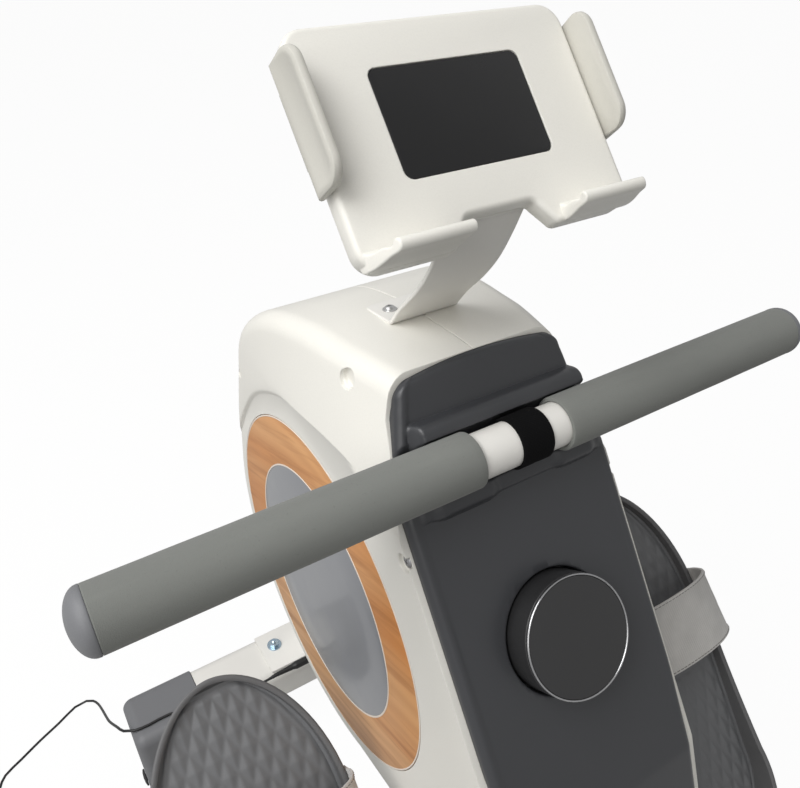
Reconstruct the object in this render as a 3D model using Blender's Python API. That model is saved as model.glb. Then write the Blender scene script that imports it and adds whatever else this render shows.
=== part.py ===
"""Folding rowing machine with a direct-drive flywheel, built from its separate pieces.

Lengths are metres and angles degrees, with +Z up, +Y pointing away from the rower and +X to their right.
Pieces are placed from the floor point under the drive axle. The empty called machine then shifts them all,
so that the origin lies on the floor under the middle of the machine's length.
"""

import math

import bmesh
import bpy
from mathutils import Matrix, Vector

# Clearances
SEAT_GAP = 0.0003
RUN_GAP = 0.0008

# Drive axle and flywheel
AXLE_Z = 0.4323
AXLE_R = 0.006
AXLE_NUT_R = 0.011
AXLE_NUT_T = 0.0045
BEARING_R = 0.0120
BEARING_W = 0.008
SLEEVE_R = 0.0155
SLEEVE_LEFT = -0.030
FLYWHEEL_R = 0.120
FLYWHEEL_X = 0.028
FLYWHEEL_T = 0.014
FLYWHEEL_WEB_T = 0.007
FLYWHEEL_RIM = 0.030
CLUTCH_R = 0.0205
CLUTCH_W = 0.024

# Strap, drum and guide roller
STRAP_X = 0.0063
STRAP_W = 0.0226
STRAP_T = 0.0018
DRUM_R = 0.0345
DRUM_FLANGE_R = 0.055
DRUM_FLANGE_T = 0.0022
DRUM_SIDE_PLAY = 0.0017
DRUM_HUB_R = 0.0235
DRUM_HUB_LEFT = -0.034
GUIDE_R = 0.010
GUIDE_PIN_R = 0.004
GUIDE_REACH = 0.0472
GUIDE_ARM_T = 0.004
GUIDE_ARM_R = 0.0105
SPRING_TURNS = 4
SPRING_BAND_T = 0.0012
SPRING_BAND_W = 0.018
SPRING_OUTER_R = 0.052
SPRING_PIN_R = 0.003

# Pull handle
HANDLE_Y = -0.1218
HANDLE_Z = 0.6345
PULL_RISE = 15.0
TUBE_R = 0.0142
TUBE_BORE_R = 0.0125
TUBE_END = 0.2450
GRIP_R = 0.0175
GRIP_START = 0.032
CAP_PLUG = 0.015
CAP_RIM = 0.0012
CAP_DOME = 0.0120
LOOP_TAIL = 0.0220

# Housing shells
SIDE_X = 0.084
RECESS_X = 0.081
SHELL_WALL = 0.0040
NOSE_R = 0.160
NOSE_START = -111.0
NOSE_END = 12.0
TOP_EDGE_R = 0.020
NOSE_EDGE_R = 0.008
RECESS_SLOPE = 0.003
RING_R = 0.1493
RING_T = 0.0025
DISC_R = 0.1072
DISC_DOME = 0.0004
RING_SIDES = 40
SCREW_WELL_DEPTH = 0.0022
SCREW_WELLS = (
    (-0.041, 0.650, 0.0068, SIDE_X - 0.004),
    (-0.120, 0.584, 0.0045, RECESS_X),
    (0.125, 0.560, 0.0045, RECESS_X),
)
PLATE_SLOT_PLAY = 0.0005

# Face cover, whose straight part leans back from the vertical
FACE_Y = -0.1818
FACE_Z = 0.5251
FACE_LEAN = 35.23
TAIL_LEAN = 22.5
FACE_TOP = 0.1824
FACE_BEND = -0.117
TAIL_LENGTH = 0.113
COVER_HALF_TAIL = 0.0730
COVER_HALF = 0.0765
COVER_HALF_NECK = 0.0700
COVER_HALF_HEAD = 0.0665
COVER_HALF_TOP = 0.0645
COVER_EDGE = 0.007
COVER_WALL = 0.003
COVER_ROUND = 0.005
UPPER_LIP_S = 0.1500
UPPER_LIP_OUT = 0.0120
UPPER_LIP_HALF = 0.0085
LOWER_LIP_S = 0.0960
LOWER_LIP_OUT = 0.0062
LOWER_LIP_HALF = 0.0085
SLOT_PLAY = 0.0035
SLOT_HALF = 0.0055

# Tension knob
KNOB_R = 0.0379
KNOB_OUT = 0.0195
KNOB_HOLE_R = 0.0395
CUP_DEPTH = 0.013
CUP_WALL = 0.0025
KNOB_SHAFT_R = 0.004
KNOB_RIM_W = 0.0014
KNOB_RIM_DEPTH = 0.0022
SPOOL_R = 0.012
SPOOL_T = 0.008

# Magnet arm and its cable
ARM_PIN_Y = 0.070
ARM_PIN_Z = 0.5535
ARM_PIN_R = 0.004
ARM_OPEN = 4.0
ARM_X0 = 0.0265
ARM_X1 = 0.0435
SHOE_GAP = 0.0020
SHOE_T = 0.010
SHOE_START = 70.0
SHOE_END = 112.0
CABLE_R = 0.0015

# Front stabilizer, end caps and wheels
STAB_Y = 0.194
STAB_W = 0.066
STAB_TOP = 0.115
STAB_H = 0.055
STAB_EDGE_R = 0.014
STAB_WALL = 0.0025
CAP_START = 0.1670
CAP_END = 0.2500
CAP_OVERHANG = 0.002
CAP_EDGE_R = 0.012
CAP_PLUG_IN = 0.015
WHEEL_R = 0.024
WHEEL_W = 0.020
WHEEL_X = 0.215
WHEEL_Y = 0.176
WHEEL_Z = 0.027
WHEEL_PIN_R = 0.004
WHEEL_DISC_R = 0.010
WHEEL_PLAY = 0.0015

# Main frame
BASE_HALF = 0.083
BASE_W = 0.056
BASE_T = 0.003
POST_HALF = 0.030
POST_FOOT_Y = (0.150, 0.210)
POST_HEAD_Y = (0.068, 0.130)
BEAM_HALF = 0.032
BEAM_TOP = 0.270
BEAM_H = 0.050
BRIDGE_HALF_Y = 0.050
BRIDGE_T = 0.005
PLATE_X = 0.055
PLATE_T = 0.004
CROSS_BAR_Y = -0.095
CROSS_BAR_Z = 0.585
CROSS_BAR_R = 0.006
EAR_T = 0.005
EAR_R = 0.030
EAR_LENGTH = 0.075
MIDDLE_LEG_Y = -0.345
MIDDLE_LEG_W = 0.040
MIDDLE_FOOT_HALF = 0.100
MIDDLE_FOOT_W = 0.050
MIDDLE_FOOT_H = 0.026

# Rail, its hinge and its rear leg
HINGE_Y = -0.420
HINGE_Z = 0.250
BOLT_R = 0.008
BOLT_HEAD_R = 0.013
BOLT_HEAD_T = 0.008
BOLT_TAIL = 0.014
STAR_R = 0.022
STAR_LOBE = 0.0025
STAR_LOBES = 6
STAR_T = 0.022
RAIL_W = 0.062
RAIL_H = 0.062
RAIL_WALL = 0.004
RAIL_GROOVE = 0.006
RAIL_GROOVE_H = 0.024
RAIL_LENGTH = 0.985
KNUCKLE_BACK = 0.045
TONGUE = 0.060
REAR_PLATE_T = 0.004
REAR_LEG_W = 0.045
REAR_TUBE_HALF = 0.180
REAR_TUBE_W = 0.050
REAR_TUBE_H = 0.040
REAR_TUBE_Z = 0.030
REAR_CAP_L = 0.034
REAR_CAP_OVERHANG = 0.004

# Seat
SEAT_Y = -0.920
SEAT_TOP = 0.392
SEAT_HALF_X = 0.150
SEAT_HALF_Y = 0.125
SEAT_CROWN = 0.012
ROLLER_R = 0.020
LOWER_ROLLER_R = 0.012
ROLLER_IN = 0.012
ROLLER_OUT = 0.026
ROLLER_SPREAD = 0.075
ROLLER_AXLE_R = 0.005
CHEEK_X = 0.036
CHEEK_T = 0.004
CARRIAGE_HALF_Y = 0.105
WING_HALF_X = 0.080
WING_T = 0.003

# Footplates, their shaft and straps
FOOT_X = 0.189
FOOT_HALF = 0.070
FOOT_HEEL_HALF = 0.058
FOOT_LENGTH = 0.345
FOOT_TOE_ARC = 0.110
FOOT_HEEL_ARC = 0.070
FOOT_POWER = 1.9
FOOT_LEAN = 46.0
FOOT_TOE_Y = -0.024
FOOT_TOE_Z = 0.421
FOOT_T = 0.005
FOOT_RIM_W = 0.0045
FOOT_RIM_SPREAD = 0.0015
FOOT_RIM_TOE = 0.008
FOOT_RIM_HEEL = 0.028
SHAFT_Y = -0.125
SHAFT_Z = 0.245
SHAFT_R = 0.008
HUB_R = 0.015
HUB_HALF = 0.055
RIB_T = 0.006
RIB_X = 0.040
SHAFT_FLANGE_R = 0.013
SHAFT_FLANGE_T = 0.003
BAND_TOP = -0.104
BAND_BOTTOM = -0.162
BAND_T = 0.0025
BAND_HEIGHT = 0.052

# Tablet holder
SCREEN_W = 0.0944
SCREEN_H = 0.0595
SCREEN_T = 0.0020
SCREEN_CORNER = 0.005
SCREEN_Y = -0.0761
SCREEN_Z = 0.7878
PANEL_LEAN = 41.94
PANEL_HALF = 0.0875
PANEL_BOTTOM = -0.042
PANEL_TOP = 0.0855
PANEL_T = 0.012
PANEL_TOP_R = 0.014
PANEL_BOTTOM_R = 0.012
NOTCH_TOP = -0.024
NOTCH_HALF_TOP = 0.021
NOTCH_HALF_BOTTOM = 0.035
LIP_OUTER = 0.084
LIP_REACH = 0.024
LIP_T = 0.007
LIP_FRONT = -0.033
JAW_BOTTOM = 0.000
JAW_TOP = 0.075
JAW_T = 0.005
JAW_ROOT = 0.0885
JAW_TIP = 0.0963
JAW_OUT = 0.018
JAW_TRAVEL = 0.022
TONGUE_LENGTH = JAW_TRAVEL + 0.012
TONGUE_T = 0.004
TONGUE_HALF = 0.016
TONGUE_PLAY = 0.0004

# Tablet bracket, a bent steel strip
STRIP_HALF = 0.026
STRIP_T = 0.0025
FLANGE_BACK_Y = 0.0090
FLANGE_FRONT_Y = -0.0190
FLANGE_Z = 0.6716
FLANGE_SLOPE = 8.6

# Power lead
CORD_R = 0.0015
PLUG_Y = 0.155
PLUG_Z = 0.125
SOCKET_R = 0.008
SOCKET_T = 0.006
PLUG_TIP_R = 0.0026
PLUG_BODY_R = 0.0047
PLUG_END_X = -0.0786
COIL_X = -0.4425
COIL_Y = 0.205
COIL_R = 0.0225
COIL_PITCH = 0.0035
COIL_TURNS = 6.25
COIL_STEPS = 24
COIL_EXIT = 0.034
ADAPTER_L = 0.058
ADAPTER_W = 0.040
ADAPTER_H = 0.028

# Places worked out from the sizes above
FRONT_END = STAB_Y + STAB_W / 2 + CAP_OVERHANG
KNUCKLE_R = RAIL_H / 2
RAIL_START = HINGE_Y - KNUCKLE_BACK - SEAT_GAP
RAIL_END = RAIL_START - RAIL_LENGTH
RAIL_TOP = HINGE_Z + RAIL_H / 2
REAR_Y = RAIL_END - SEAT_GAP - REAR_PLATE_T - REAR_LEG_W / 2
REAR_END = REAR_Y - REAR_TUBE_W / 2 - REAR_CAP_OVERHANG
MIDDLE_Y = (FRONT_END + REAR_END) / 2
BASE_BOTTOM = STAB_TOP + SEAT_GAP
BASE_TOP = BASE_BOTTOM + BASE_T
RAIL_SIDE = RAIL_W / 2
STRAP_LEFT = STRAP_X - STRAP_W / 2
STRAP_RIGHT = STRAP_X + STRAP_W / 2
STRAP_MID = SEAT_GAP + STRAP_T / 2

SCENE = bpy.context.scene
ORDER = {
    "X": lambda a, b, c: (c, a, b),
    "Y": lambda a, b, c: (a, c, b),
    "Z": lambda a, b, c: (a, b, c),
}


# Mesh helpers
def finished(bm):
    """Turn a bmesh into a mesh with its faces pointing out."""
    bmesh.ops.recalc_face_normals(bm, faces=bm.faces)
    mesh = bpy.data.meshes.new("shape")
    bm.to_mesh(mesh)
    bm.free()
    return mesh


def loft(loops, ring=False):
    """Skin loops of equal point counts, with a face over each end or joined into a ring."""
    bm = bmesh.new()
    rows = [[bm.verts.new(point) for point in loop] for loop in loops]
    count = len(rows[0])
    pairs = list(zip(rows, rows[1:]))
    if ring:
        pairs.append((rows[-1], rows[0]))
    for first, second in pairs:
        for k in range(count):
            after = (k + 1) % count
            bm.faces.new((first[k], first[after], second[after], second[k]))
    if not ring:
        bm.faces.new(rows[0])
        bm.faces.new(rows[-1])
    return finished(bm)


def prism(outline, low, high, axis="X"):
    """Extrude an outline along an axis. Along X it holds (y, z), along Y (x, z), along Z (x, y)."""
    order = ORDER[axis]
    return loft([[order(a, b, level) for a, b in outline] for level in (low, high)])


def box(x, y, z):
    """A block between pairs of limits."""
    return prism([(y[0], z[0]), (y[1], z[0]), (y[1], z[1]), (y[0], z[1])], x[0], x[1])


def turned(profile, steps=24, axis="X", ring=False):
    """Spin a profile of (radius, along) points round an axis through the origin."""
    bm = bmesh.new()
    place = {"X": lambda r, a: (a, r, 0), "Z": lambda r, a: (r, 0, a)}[axis]
    verts = [bm.verts.new(place(radius, along)) for radius, along in profile]
    edges = [bm.edges.new(pair) for pair in zip(verts, verts[1:])]
    if ring:
        edges.append(bm.edges.new((verts[-1], verts[0])))
    turn_axis = {"X": (1, 0, 0), "Z": (0, 0, 1)}[axis]
    bmesh.ops.spin(bm, geom=verts + edges, cent=(0, 0, 0), axis=turn_axis, angle=math.tau, steps=steps)
    bmesh.ops.remove_doubles(bm, verts=bm.verts, dist=1e-5)
    bmesh.ops.dissolve_degenerate(bm, edges=bm.edges, dist=1e-6)
    return finished(bm)


def rod(radius, low, high, steps=16, axis="X"):
    """A plain round bar."""
    return turned([(0, low), (radius, low), (radius, high), (0, high)], steps, axis)


def moved(mesh, offset=(0, 0, 0), tilt=0.0):
    """Turn a mesh about X by tilt degrees, then shift it."""
    mesh.transform(Matrix.Translation(offset) @ Matrix.Rotation(math.radians(tilt), 4, "X"))
    return mesh


def combined(mesh, tools, operation):
    """Join a mesh with its tools, or cut it by them, one after another."""
    body = bpy.data.objects.new("body", mesh)
    SCENE.collection.objects.link(body)
    helpers = []
    for tool in tools:
        helper = bpy.data.objects.new("tool", tool)
        SCENE.collection.objects.link(helper)
        helpers.append(helper)
        step = body.modifiers.new("step", "BOOLEAN")
        step.operation = operation
        step.solver = "EXACT"
        step.object = helper
    shown = body.evaluated_get(bpy.context.evaluated_depsgraph_get())
    result = bpy.data.meshes.new_from_object(shown)
    for leftover in helpers + [body]:
        bpy.data.objects.remove(leftover)
    return result


def joined(mesh, *tools):
    return combined(mesh, tools, "UNION")


def cut(mesh, *tools):
    return combined(mesh, tools, "DIFFERENCE")


def arc(centre, radius, start, end, steps):
    """Points on an arc in a plane, with angles in degrees."""
    points = []
    for k in range(steps + 1):
        angle = math.radians(start + (end - start) * k / steps)
        points.append((centre[0] + radius * math.cos(angle), centre[1] + radius * math.sin(angle)))
    return points


def rounded_rectangle(a, b, radius, steps=3):
    """A rectangle between two pairs of limits, with round corners."""
    (a0, a1), (b0, b1) = a, b
    corners = (
        ((a1 - radius, b0 + radius), -90),
        ((a1 - radius, b1 - radius), 0),
        ((a0 + radius, b1 - radius), 90),
        ((a0 + radius, b0 + radius), 180),
    )
    outline = []
    for centre, start in corners:
        outline += arc(centre, radius, start, start + 90, steps)
    return outline


def stadium(start, end, radius, steps=5):
    """The outline of a link with a round end at each of two points."""
    heading = math.degrees(math.atan2(end[1] - start[1], end[0] - start[0]))
    first = arc(end, radius, heading - 90, heading + 90, steps)
    return first + arc(start, radius, heading + 90, heading + 270, steps)


def smooth_curve(points, spacing):
    """Points at about equal spacing on a Catmull-Rom curve through the given points."""
    track = [Vector(point) for point in points]
    padded = [2 * track[0] - track[1]] + track + [2 * track[-1] - track[-2]]
    result = []
    for before, start, end, after in zip(padded, padded[1:], padded[2:], padded[3:]):
        steps = max(1, round((end - start).length / spacing))
        for k in range(steps):
            t = k / steps
            point = 0.5 * (
                2 * start
                + (end - before) * t
                + (2 * before - 5 * start + 4 * end - after) * t * t
                + (3 * start - before - 3 * end + after) * t**3
            )
            result.append(point)
    return result + [track[-1]]


def inset(outline, distances):
    """Move each point of a counter-clockwise outline inward by its own distance."""
    result = []
    count = len(outline)
    for k, distance in enumerate(distances):
        here = Vector(outline[k])
        first = (here - Vector(outline[k - 1])).normalized()
        second = (Vector(outline[(k + 1) % count]) - here).normalized()
        first_inward = Vector((-first.y, first.x))
        second_inward = Vector((-second.y, second.x))
        bisector = (first_inward + second_inward).normalized()
        result.append(tuple(here + bisector * distance / max(0.5, bisector.dot(first_inward))))
    return result


def ribbon(centre_line, thickness, x0, x1):
    """A bent sheet or strap: a line of (y, z) points, thickened and extruded along X."""
    line = [Vector(point) for point in centre_line]
    above = []
    below = []
    for k, here in enumerate(line):
        before = line[max(k - 1, 0)]
        after = line[min(k + 1, len(line) - 1)]
        heading = (after - before).normalized()
        side = Vector((-heading.y, heading.x)) * thickness / 2
        above.append(tuple(here + side))
        below.append(tuple(here - side))
    return prism(above + below[::-1], x0, x1)


# Object helpers
def finish(name, colour, roughness, metallic=0.0):
    """A Principled material."""
    material = bpy.data.materials.new(name)
    material.use_nodes = True
    shader = material.node_tree.nodes["Principled BSDF"]
    shader.inputs["Base Color"].default_value = (*colour, 1.0)
    shader.inputs["Roughness"].default_value = roughness
    shader.inputs["Metallic"].default_value = metallic
    return material


def piece(name, mesh, material, parent):
    """A named solid on its parent, smooth except at its sharp edges."""
    mesh.name = name
    mesh.materials.clear()
    mesh.materials.append(material)
    mesh.shade_smooth()
    mesh.set_sharp_from_angle(angle=math.radians(35))
    node = bpy.data.objects.new(name, mesh)
    SCENE.collection.objects.link(node)
    node.parent = parent
    return node


def mount(name, parent, place, tilt=0.0):
    """An empty on a joint's axis, or at the corner of a tilted sub-assembly."""
    node = bpy.data.objects.new(name, None)
    SCENE.collection.objects.link(node)
    node.parent = parent
    node.location = place
    node.rotation_euler.x = math.radians(tilt)
    return node


def lead(name, points, radius, sides, material, parent):
    """A round cord or cable through a list of points, as a curve with filled ends."""
    curve = bpy.data.curves.new(name, "CURVE")
    curve.dimensions = "3D"
    curve.bevel_depth = radius
    curve.bevel_resolution = sides
    curve.use_fill_caps = True
    spline = curve.splines.new("POLY")
    spline.points.add(len(points) - 1)
    for spot, point in zip(spline.points, points):
        spot.co = (*point, 1.0)
    curve.materials.append(material)
    node = bpy.data.objects.new(name, curve)
    SCENE.collection.objects.link(node)
    node.parent = parent
    return node


SIDES = (("left", -1), ("right", 1))


# Front stabilizer
def stabilizer_outline():
    return rounded_rectangle(
        (STAB_Y - STAB_W / 2, STAB_Y + STAB_W / 2), (STAB_TOP - STAB_H, STAB_TOP), STAB_EDGE_R
    )


def front_stabilizer(parent, paint):
    outer = stabilizer_outline()
    inner = inset(outer, [STAB_WALL] * len(outer))
    loops = []
    for outline, x in ((outer, -CAP_START), (outer, CAP_START), (inner, CAP_START), (inner, -CAP_START)):
        loops.append([(x, y, z) for y, z in outline])
    piece("front_stabilizer", loft(loops, ring=True), paint, parent)


def shoe_body(start, end, half_width, centre_y, top, edge):
    """A moulded end cap: a round-topped block down to the floor, rounded at its outer end."""
    outline = rounded_rectangle((centre_y - half_width, centre_y + half_width), (0.0, top), edge)
    loops = [[(start, y, z) for y, z in outline]]
    for angle in (0, 30, 60, 90):
        swing = math.radians(angle)
        depth = edge * 0.85 * (1 - math.cos(swing))
        lower_depth = [depth if z > edge else depth * 0.5 for _, z in outline]
        x = end - edge + edge * math.sin(swing)
        loops.append([(x, y, max(z, 0.0)) for y, z in inset(outline, lower_depth)])
    return loft(loops)


def front_cap(parent, side, sign, plastic):
    body = shoe_body(
        CAP_START + SEAT_GAP, CAP_END, STAB_W / 2 + CAP_OVERHANG, STAB_Y, STAB_TOP, CAP_EDGE_R
    )
    plug_gap = STAB_WALL + SEAT_GAP
    tube = stabilizer_outline()
    plug = prism(inset(tube, [plug_gap] * len(tube)), CAP_START - CAP_PLUG_IN, CAP_START + 0.004)
    tube_bottom = STAB_TOP - STAB_H
    undercut = prism(
        [(CAP_START - 0.01, -0.01), (CAP_START + 0.020, -0.01), (CAP_START - 0.01, tube_bottom + 0.016)],
        0.0,
        STAB_Y + STAB_W,
        "Y",
    )
    cavity_half = WHEEL_W / 2 + WHEEL_PLAY
    cavity_r = WHEEL_R + WHEEL_PLAY * 2
    cavity = box(
        (WHEEL_X - cavity_half, WHEEL_X + cavity_half),
        (STAB_Y - STAB_W, WHEEL_Y + cavity_r),
        (-0.01, WHEEL_Z + cavity_r),
    )
    pin_hole = moved(
        rod(WHEEL_PIN_R + SEAT_GAP, WHEEL_X - WHEEL_W / 2 - 0.010, CAP_END + 0.01, 12), (0, WHEEL_Y, WHEEL_Z)
    )
    mesh = cut(joined(body, plug), undercut, cavity, pin_hole)
    mirror_x(mesh, sign)
    piece(f"front_cap_{side}", mesh, plastic, parent)


def mirror_x(mesh, sign):
    """Mirror a mesh to the left side when sign is -1."""
    if sign < 0:
        mesh.transform(Matrix.Scale(-1, 4, (1, 0, 0)))
        mesh.flip_normals()
    return mesh


def transport_wheel(parent, side, sign, rubber):
    hub = mount(f"wheel_axis_{side}", parent, (sign * WHEEL_X, WHEEL_Y, WHEEL_Z))
    half = WHEEL_W / 2
    outer = CAP_END - WHEEL_X + SEAT_GAP
    profile = [
        (0, -half - 0.008),
        (WHEEL_PIN_R, -half - 0.008),
        (WHEEL_PIN_R, -half),
        (WHEEL_R - 0.003, -half),
        (WHEEL_R, -half + 0.003),
        (WHEEL_R, half - 0.003),
        (WHEEL_R - 0.003, half),
        (WHEEL_PIN_R, half),
        (WHEEL_PIN_R, outer),
        (WHEEL_DISC_R, outer),
        (WHEEL_DISC_R, outer + 0.002),
        (0, outer + 0.0035),
    ]
    piece(f"transport_wheel_{side}", mirror_x(turned(profile, 14), sign), rubber, hub)


# Main frame
def side_plate_outline():
    """A plate that carries the axle and widens upward to the guide bar and the magnet arm's pin."""
    return [
        (-BRIDGE_HALF_Y, BEAM_TOP - 0.004),
        (BRIDGE_HALF_Y, BEAM_TOP - 0.004),
        (BRIDGE_HALF_Y + 0.004, AXLE_Z),
        (ARM_PIN_Y + 0.015, ARM_PIN_Z - 0.006),
        (ARM_PIN_Y + 0.010, ARM_PIN_Z + 0.012),
        (CROSS_BAR_Y + 0.012, CROSS_BAR_Z + 0.014),
        (CROSS_BAR_Y - 0.014, CROSS_BAR_Z + 0.004),
        (-BRIDGE_HALF_Y - 0.004, AXLE_Z),
    ]


def guide_place():
    """Centre of the guide roller, set so that the strap leaves it along the pull line."""
    rise = math.radians(PULL_RISE)
    back = Vector((math.cos(rise), -math.sin(rise)))
    up = Vector((math.sin(rise), math.cos(rise)))
    return Vector((HANDLE_Y, HANDLE_Z)) + back * GUIDE_REACH - up * (GUIDE_R + STRAP_MID)


def spring_pin_place():
    return (0.0, AXLE_Z + SPRING_OUTER_R + SPRING_BAND_T + SPRING_PIN_R)


def main_frame(parent, paint):
    beam_bottom = BEAM_TOP - BEAM_H
    beam_end = HINGE_Y + KNUCKLE_R + 0.002
    base = box(
        (-BASE_HALF, BASE_HALF), (STAB_Y - BASE_W / 2, STAB_Y + BASE_W / 2), (BASE_BOTTOM, BASE_TOP)
    )
    post = prism(
        [
            (POST_FOOT_Y[0], BASE_TOP - 0.001),
            (POST_FOOT_Y[1], BASE_TOP - 0.001),
            (POST_HEAD_Y[1], BEAM_TOP - 0.006),
            (POST_HEAD_Y[0], BEAM_TOP - 0.006),
        ],
        -POST_HALF,
        POST_HALF,
    )
    beam = box((-BEAM_HALF, BEAM_HALF), (beam_end, POST_HEAD_Y[1] + 0.002), (beam_bottom, BEAM_TOP))
    bridge = box(
        (-PLATE_X - PLATE_T, PLATE_X + PLATE_T),
        (-BRIDGE_HALF_Y - 0.001, BRIDGE_HALF_Y + 0.001),
        (BEAM_TOP - BRIDGE_T, BEAM_TOP + 0.0015),
    )
    parts = [post, beam, bridge]
    for sign in (-1, 1):
        inner, outer = sorted((sign * PLATE_X, sign * (PLATE_X + PLATE_T - 0.0002)))
        parts.append(prism(side_plate_outline(), inner, outer))
    parts.append(
        moved(rod(CROSS_BAR_R, -PLATE_X - 0.002, PLATE_X + 0.002, 12), (0, CROSS_BAR_Y, CROSS_BAR_Z))
    )
    guide = guide_place()
    for inner in (STRAP_LEFT - 0.004 - GUIDE_ARM_T - RUN_GAP, STRAP_RIGHT + 0.004 + RUN_GAP):
        link = stadium((CROSS_BAR_Y, CROSS_BAR_Z), tuple(guide), GUIDE_ARM_R)
        parts.append(prism(link, inner, inner + GUIDE_ARM_T))
    parts.append(moved(rod(ARM_PIN_R, ARM_X0 - 0.004, PLATE_X + 0.002, 12), (0, ARM_PIN_Y, ARM_PIN_Z)))
    spring_pin = rod(SPRING_PIN_R, -PLATE_X - 0.002, DRUM_HUB_LEFT + SPRING_BAND_W, 10)
    parts.append(moved(spring_pin, (0, *spring_pin_place())))
    for sign in (-1, 1):
        inner = sign * (RAIL_SIDE + SEAT_GAP)
        outer = inner + sign * EAR_T
        ear = stadium((HINGE_Y + EAR_LENGTH, HINGE_Z - 0.004), (HINGE_Y, HINGE_Z), EAR_R - 0.006)
        parts.append(prism(ear, *sorted((inner, outer))))
    half_leg = MIDDLE_LEG_W / 2
    parts.append(
        box(
            (-half_leg, half_leg),
            (MIDDLE_LEG_Y - half_leg, MIDDLE_LEG_Y + half_leg),
            (MIDDLE_FOOT_H + SEAT_GAP + 0.002, beam_bottom + 0.003),
        )
    )
    parts.append(
        box(
            (-MIDDLE_FOOT_HALF, MIDDLE_FOOT_HALF),
            (MIDDLE_LEG_Y - MIDDLE_FOOT_W / 2, MIDDLE_LEG_Y + MIDDLE_FOOT_W / 2),
            (MIDDLE_FOOT_H + SEAT_GAP, MIDDLE_FOOT_H + SEAT_GAP + 0.006),
        )
    )
    mesh = joined(base, *parts)
    holes = [
        moved(rod(AXLE_R + SEAT_GAP, -0.07, 0.07), (0, 0, AXLE_Z)),
        moved(rod(SHAFT_R + SEAT_GAP, -0.05, 0.05), (0, SHAFT_Y, SHAFT_Z)),
        moved(rod(BOLT_R + SEAT_GAP, -0.05, 0.05), (0, HINGE_Y, HINGE_Z)),
        moved(rod(GUIDE_PIN_R + SEAT_GAP, -0.04, 0.04, 14), (0, *guide)),
    ]
    piece("main_frame", cut(mesh, *holes), paint, parent)


def middle_foot(parent, rubber):
    half = MIDDLE_FOOT_W / 2 + 0.002
    outline = rounded_rectangle(
        (MIDDLE_LEG_Y - half, MIDDLE_LEG_Y + half), (0.0, MIDDLE_FOOT_H), 0.003, 2
    )
    reach = MIDDLE_FOOT_HALF + 0.003
    piece("middle_foot", prism(outline, -reach, reach), rubber, parent)


# Drive
def bearing(name, parent, low, inner, outer, width, steel, steps=16):
    profile = [
        (inner, low),
        (outer, low),
        (outer, low + width),
        (inner, low + width),
    ]
    piece(name, turned(profile, steps, ring=True), steel, parent)


def drive_axle(parent, steel):
    plate_face = PLATE_X + PLATE_T + SEAT_GAP
    end = plate_face + AXLE_NUT_T
    profile = [
        (0, -end),
        (AXLE_NUT_R, -end),
        (AXLE_NUT_R, -plate_face),
        (AXLE_R, -plate_face),
        (AXLE_R, plate_face),
        (AXLE_NUT_R, plate_face),
        (AXLE_NUT_R, end),
        (0, end),
    ]
    axle_mount = mount("axle_place", parent, (0, 0, AXLE_Z))
    piece("drive_axle", turned(profile, 16), steel, axle_mount)


def flywheel(parent, iron, steel):
    right = FLYWHEEL_X + FLYWHEEL_T
    web_left = FLYWHEEL_X + (FLYWHEEL_T - FLYWHEEL_WEB_T) / 2
    web_right = web_left + FLYWHEEL_WEB_T
    rim = FLYWHEEL_R - FLYWHEEL_RIM
    shoulder = AXLE_R + 0.002
    profile = [
        (BEARING_R, SLEEVE_LEFT),
        (SLEEVE_R, SLEEVE_LEFT),
        (SLEEVE_R, web_left),
        (rim - 0.004, web_left),
        (rim, FLYWHEEL_X),
        (FLYWHEEL_R, FLYWHEEL_X),
        (FLYWHEEL_R, right),
        (rim, right),
        (rim - 0.004, web_right),
        (SLEEVE_R + 0.012, web_right),
        (SLEEVE_R + 0.004, right),
        (BEARING_R, right),
        (BEARING_R, right - BEARING_W - SEAT_GAP),
        (shoulder, right - BEARING_W - SEAT_GAP),
        (shoulder, SLEEVE_LEFT + BEARING_W + SEAT_GAP),
        (BEARING_R, SLEEVE_LEFT + BEARING_W + SEAT_GAP),
    ]
    centre = mount("flywheel_axis", parent, (0, 0, AXLE_Z))
    piece("flywheel", turned(profile, 24, ring=True), iron, centre)
    inner = AXLE_R + SEAT_GAP
    outer = BEARING_R - SEAT_GAP
    bearing("bearing_left", centre, SLEEVE_LEFT, inner, outer, BEARING_W, steel)
    bearing("bearing_right", centre, right - BEARING_W, inner, outer, BEARING_W, steel)


def strap_drum(parent, plastic, steel):
    left = STRAP_LEFT - DRUM_SIDE_PLAY
    right = STRAP_RIGHT + DRUM_SIDE_PLAY
    bore = CLUTCH_R + SEAT_GAP
    profile = [
        (bore, DRUM_HUB_LEFT),
        (DRUM_HUB_R, DRUM_HUB_LEFT),
        (DRUM_HUB_R, left - DRUM_FLANGE_T),
        (DRUM_FLANGE_R, left - DRUM_FLANGE_T),
        (DRUM_FLANGE_R, left),
        (DRUM_R, left),
        (DRUM_R, right),
        (DRUM_FLANGE_R, right),
        (DRUM_FLANGE_R, right + DRUM_FLANGE_T),
        (bore, right + DRUM_FLANGE_T),
    ]
    centre = mount("drum_axis", parent, (0, 0, AXLE_Z))
    piece("strap_drum", turned(profile, 20, ring=True), plastic, centre)
    clutch_left = STRAP_X - CLUTCH_W / 2
    bearing("one_way_bearing", centre, clutch_left, SLEEVE_R + SEAT_GAP, CLUTCH_R, CLUTCH_W, steel, 20)


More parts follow.
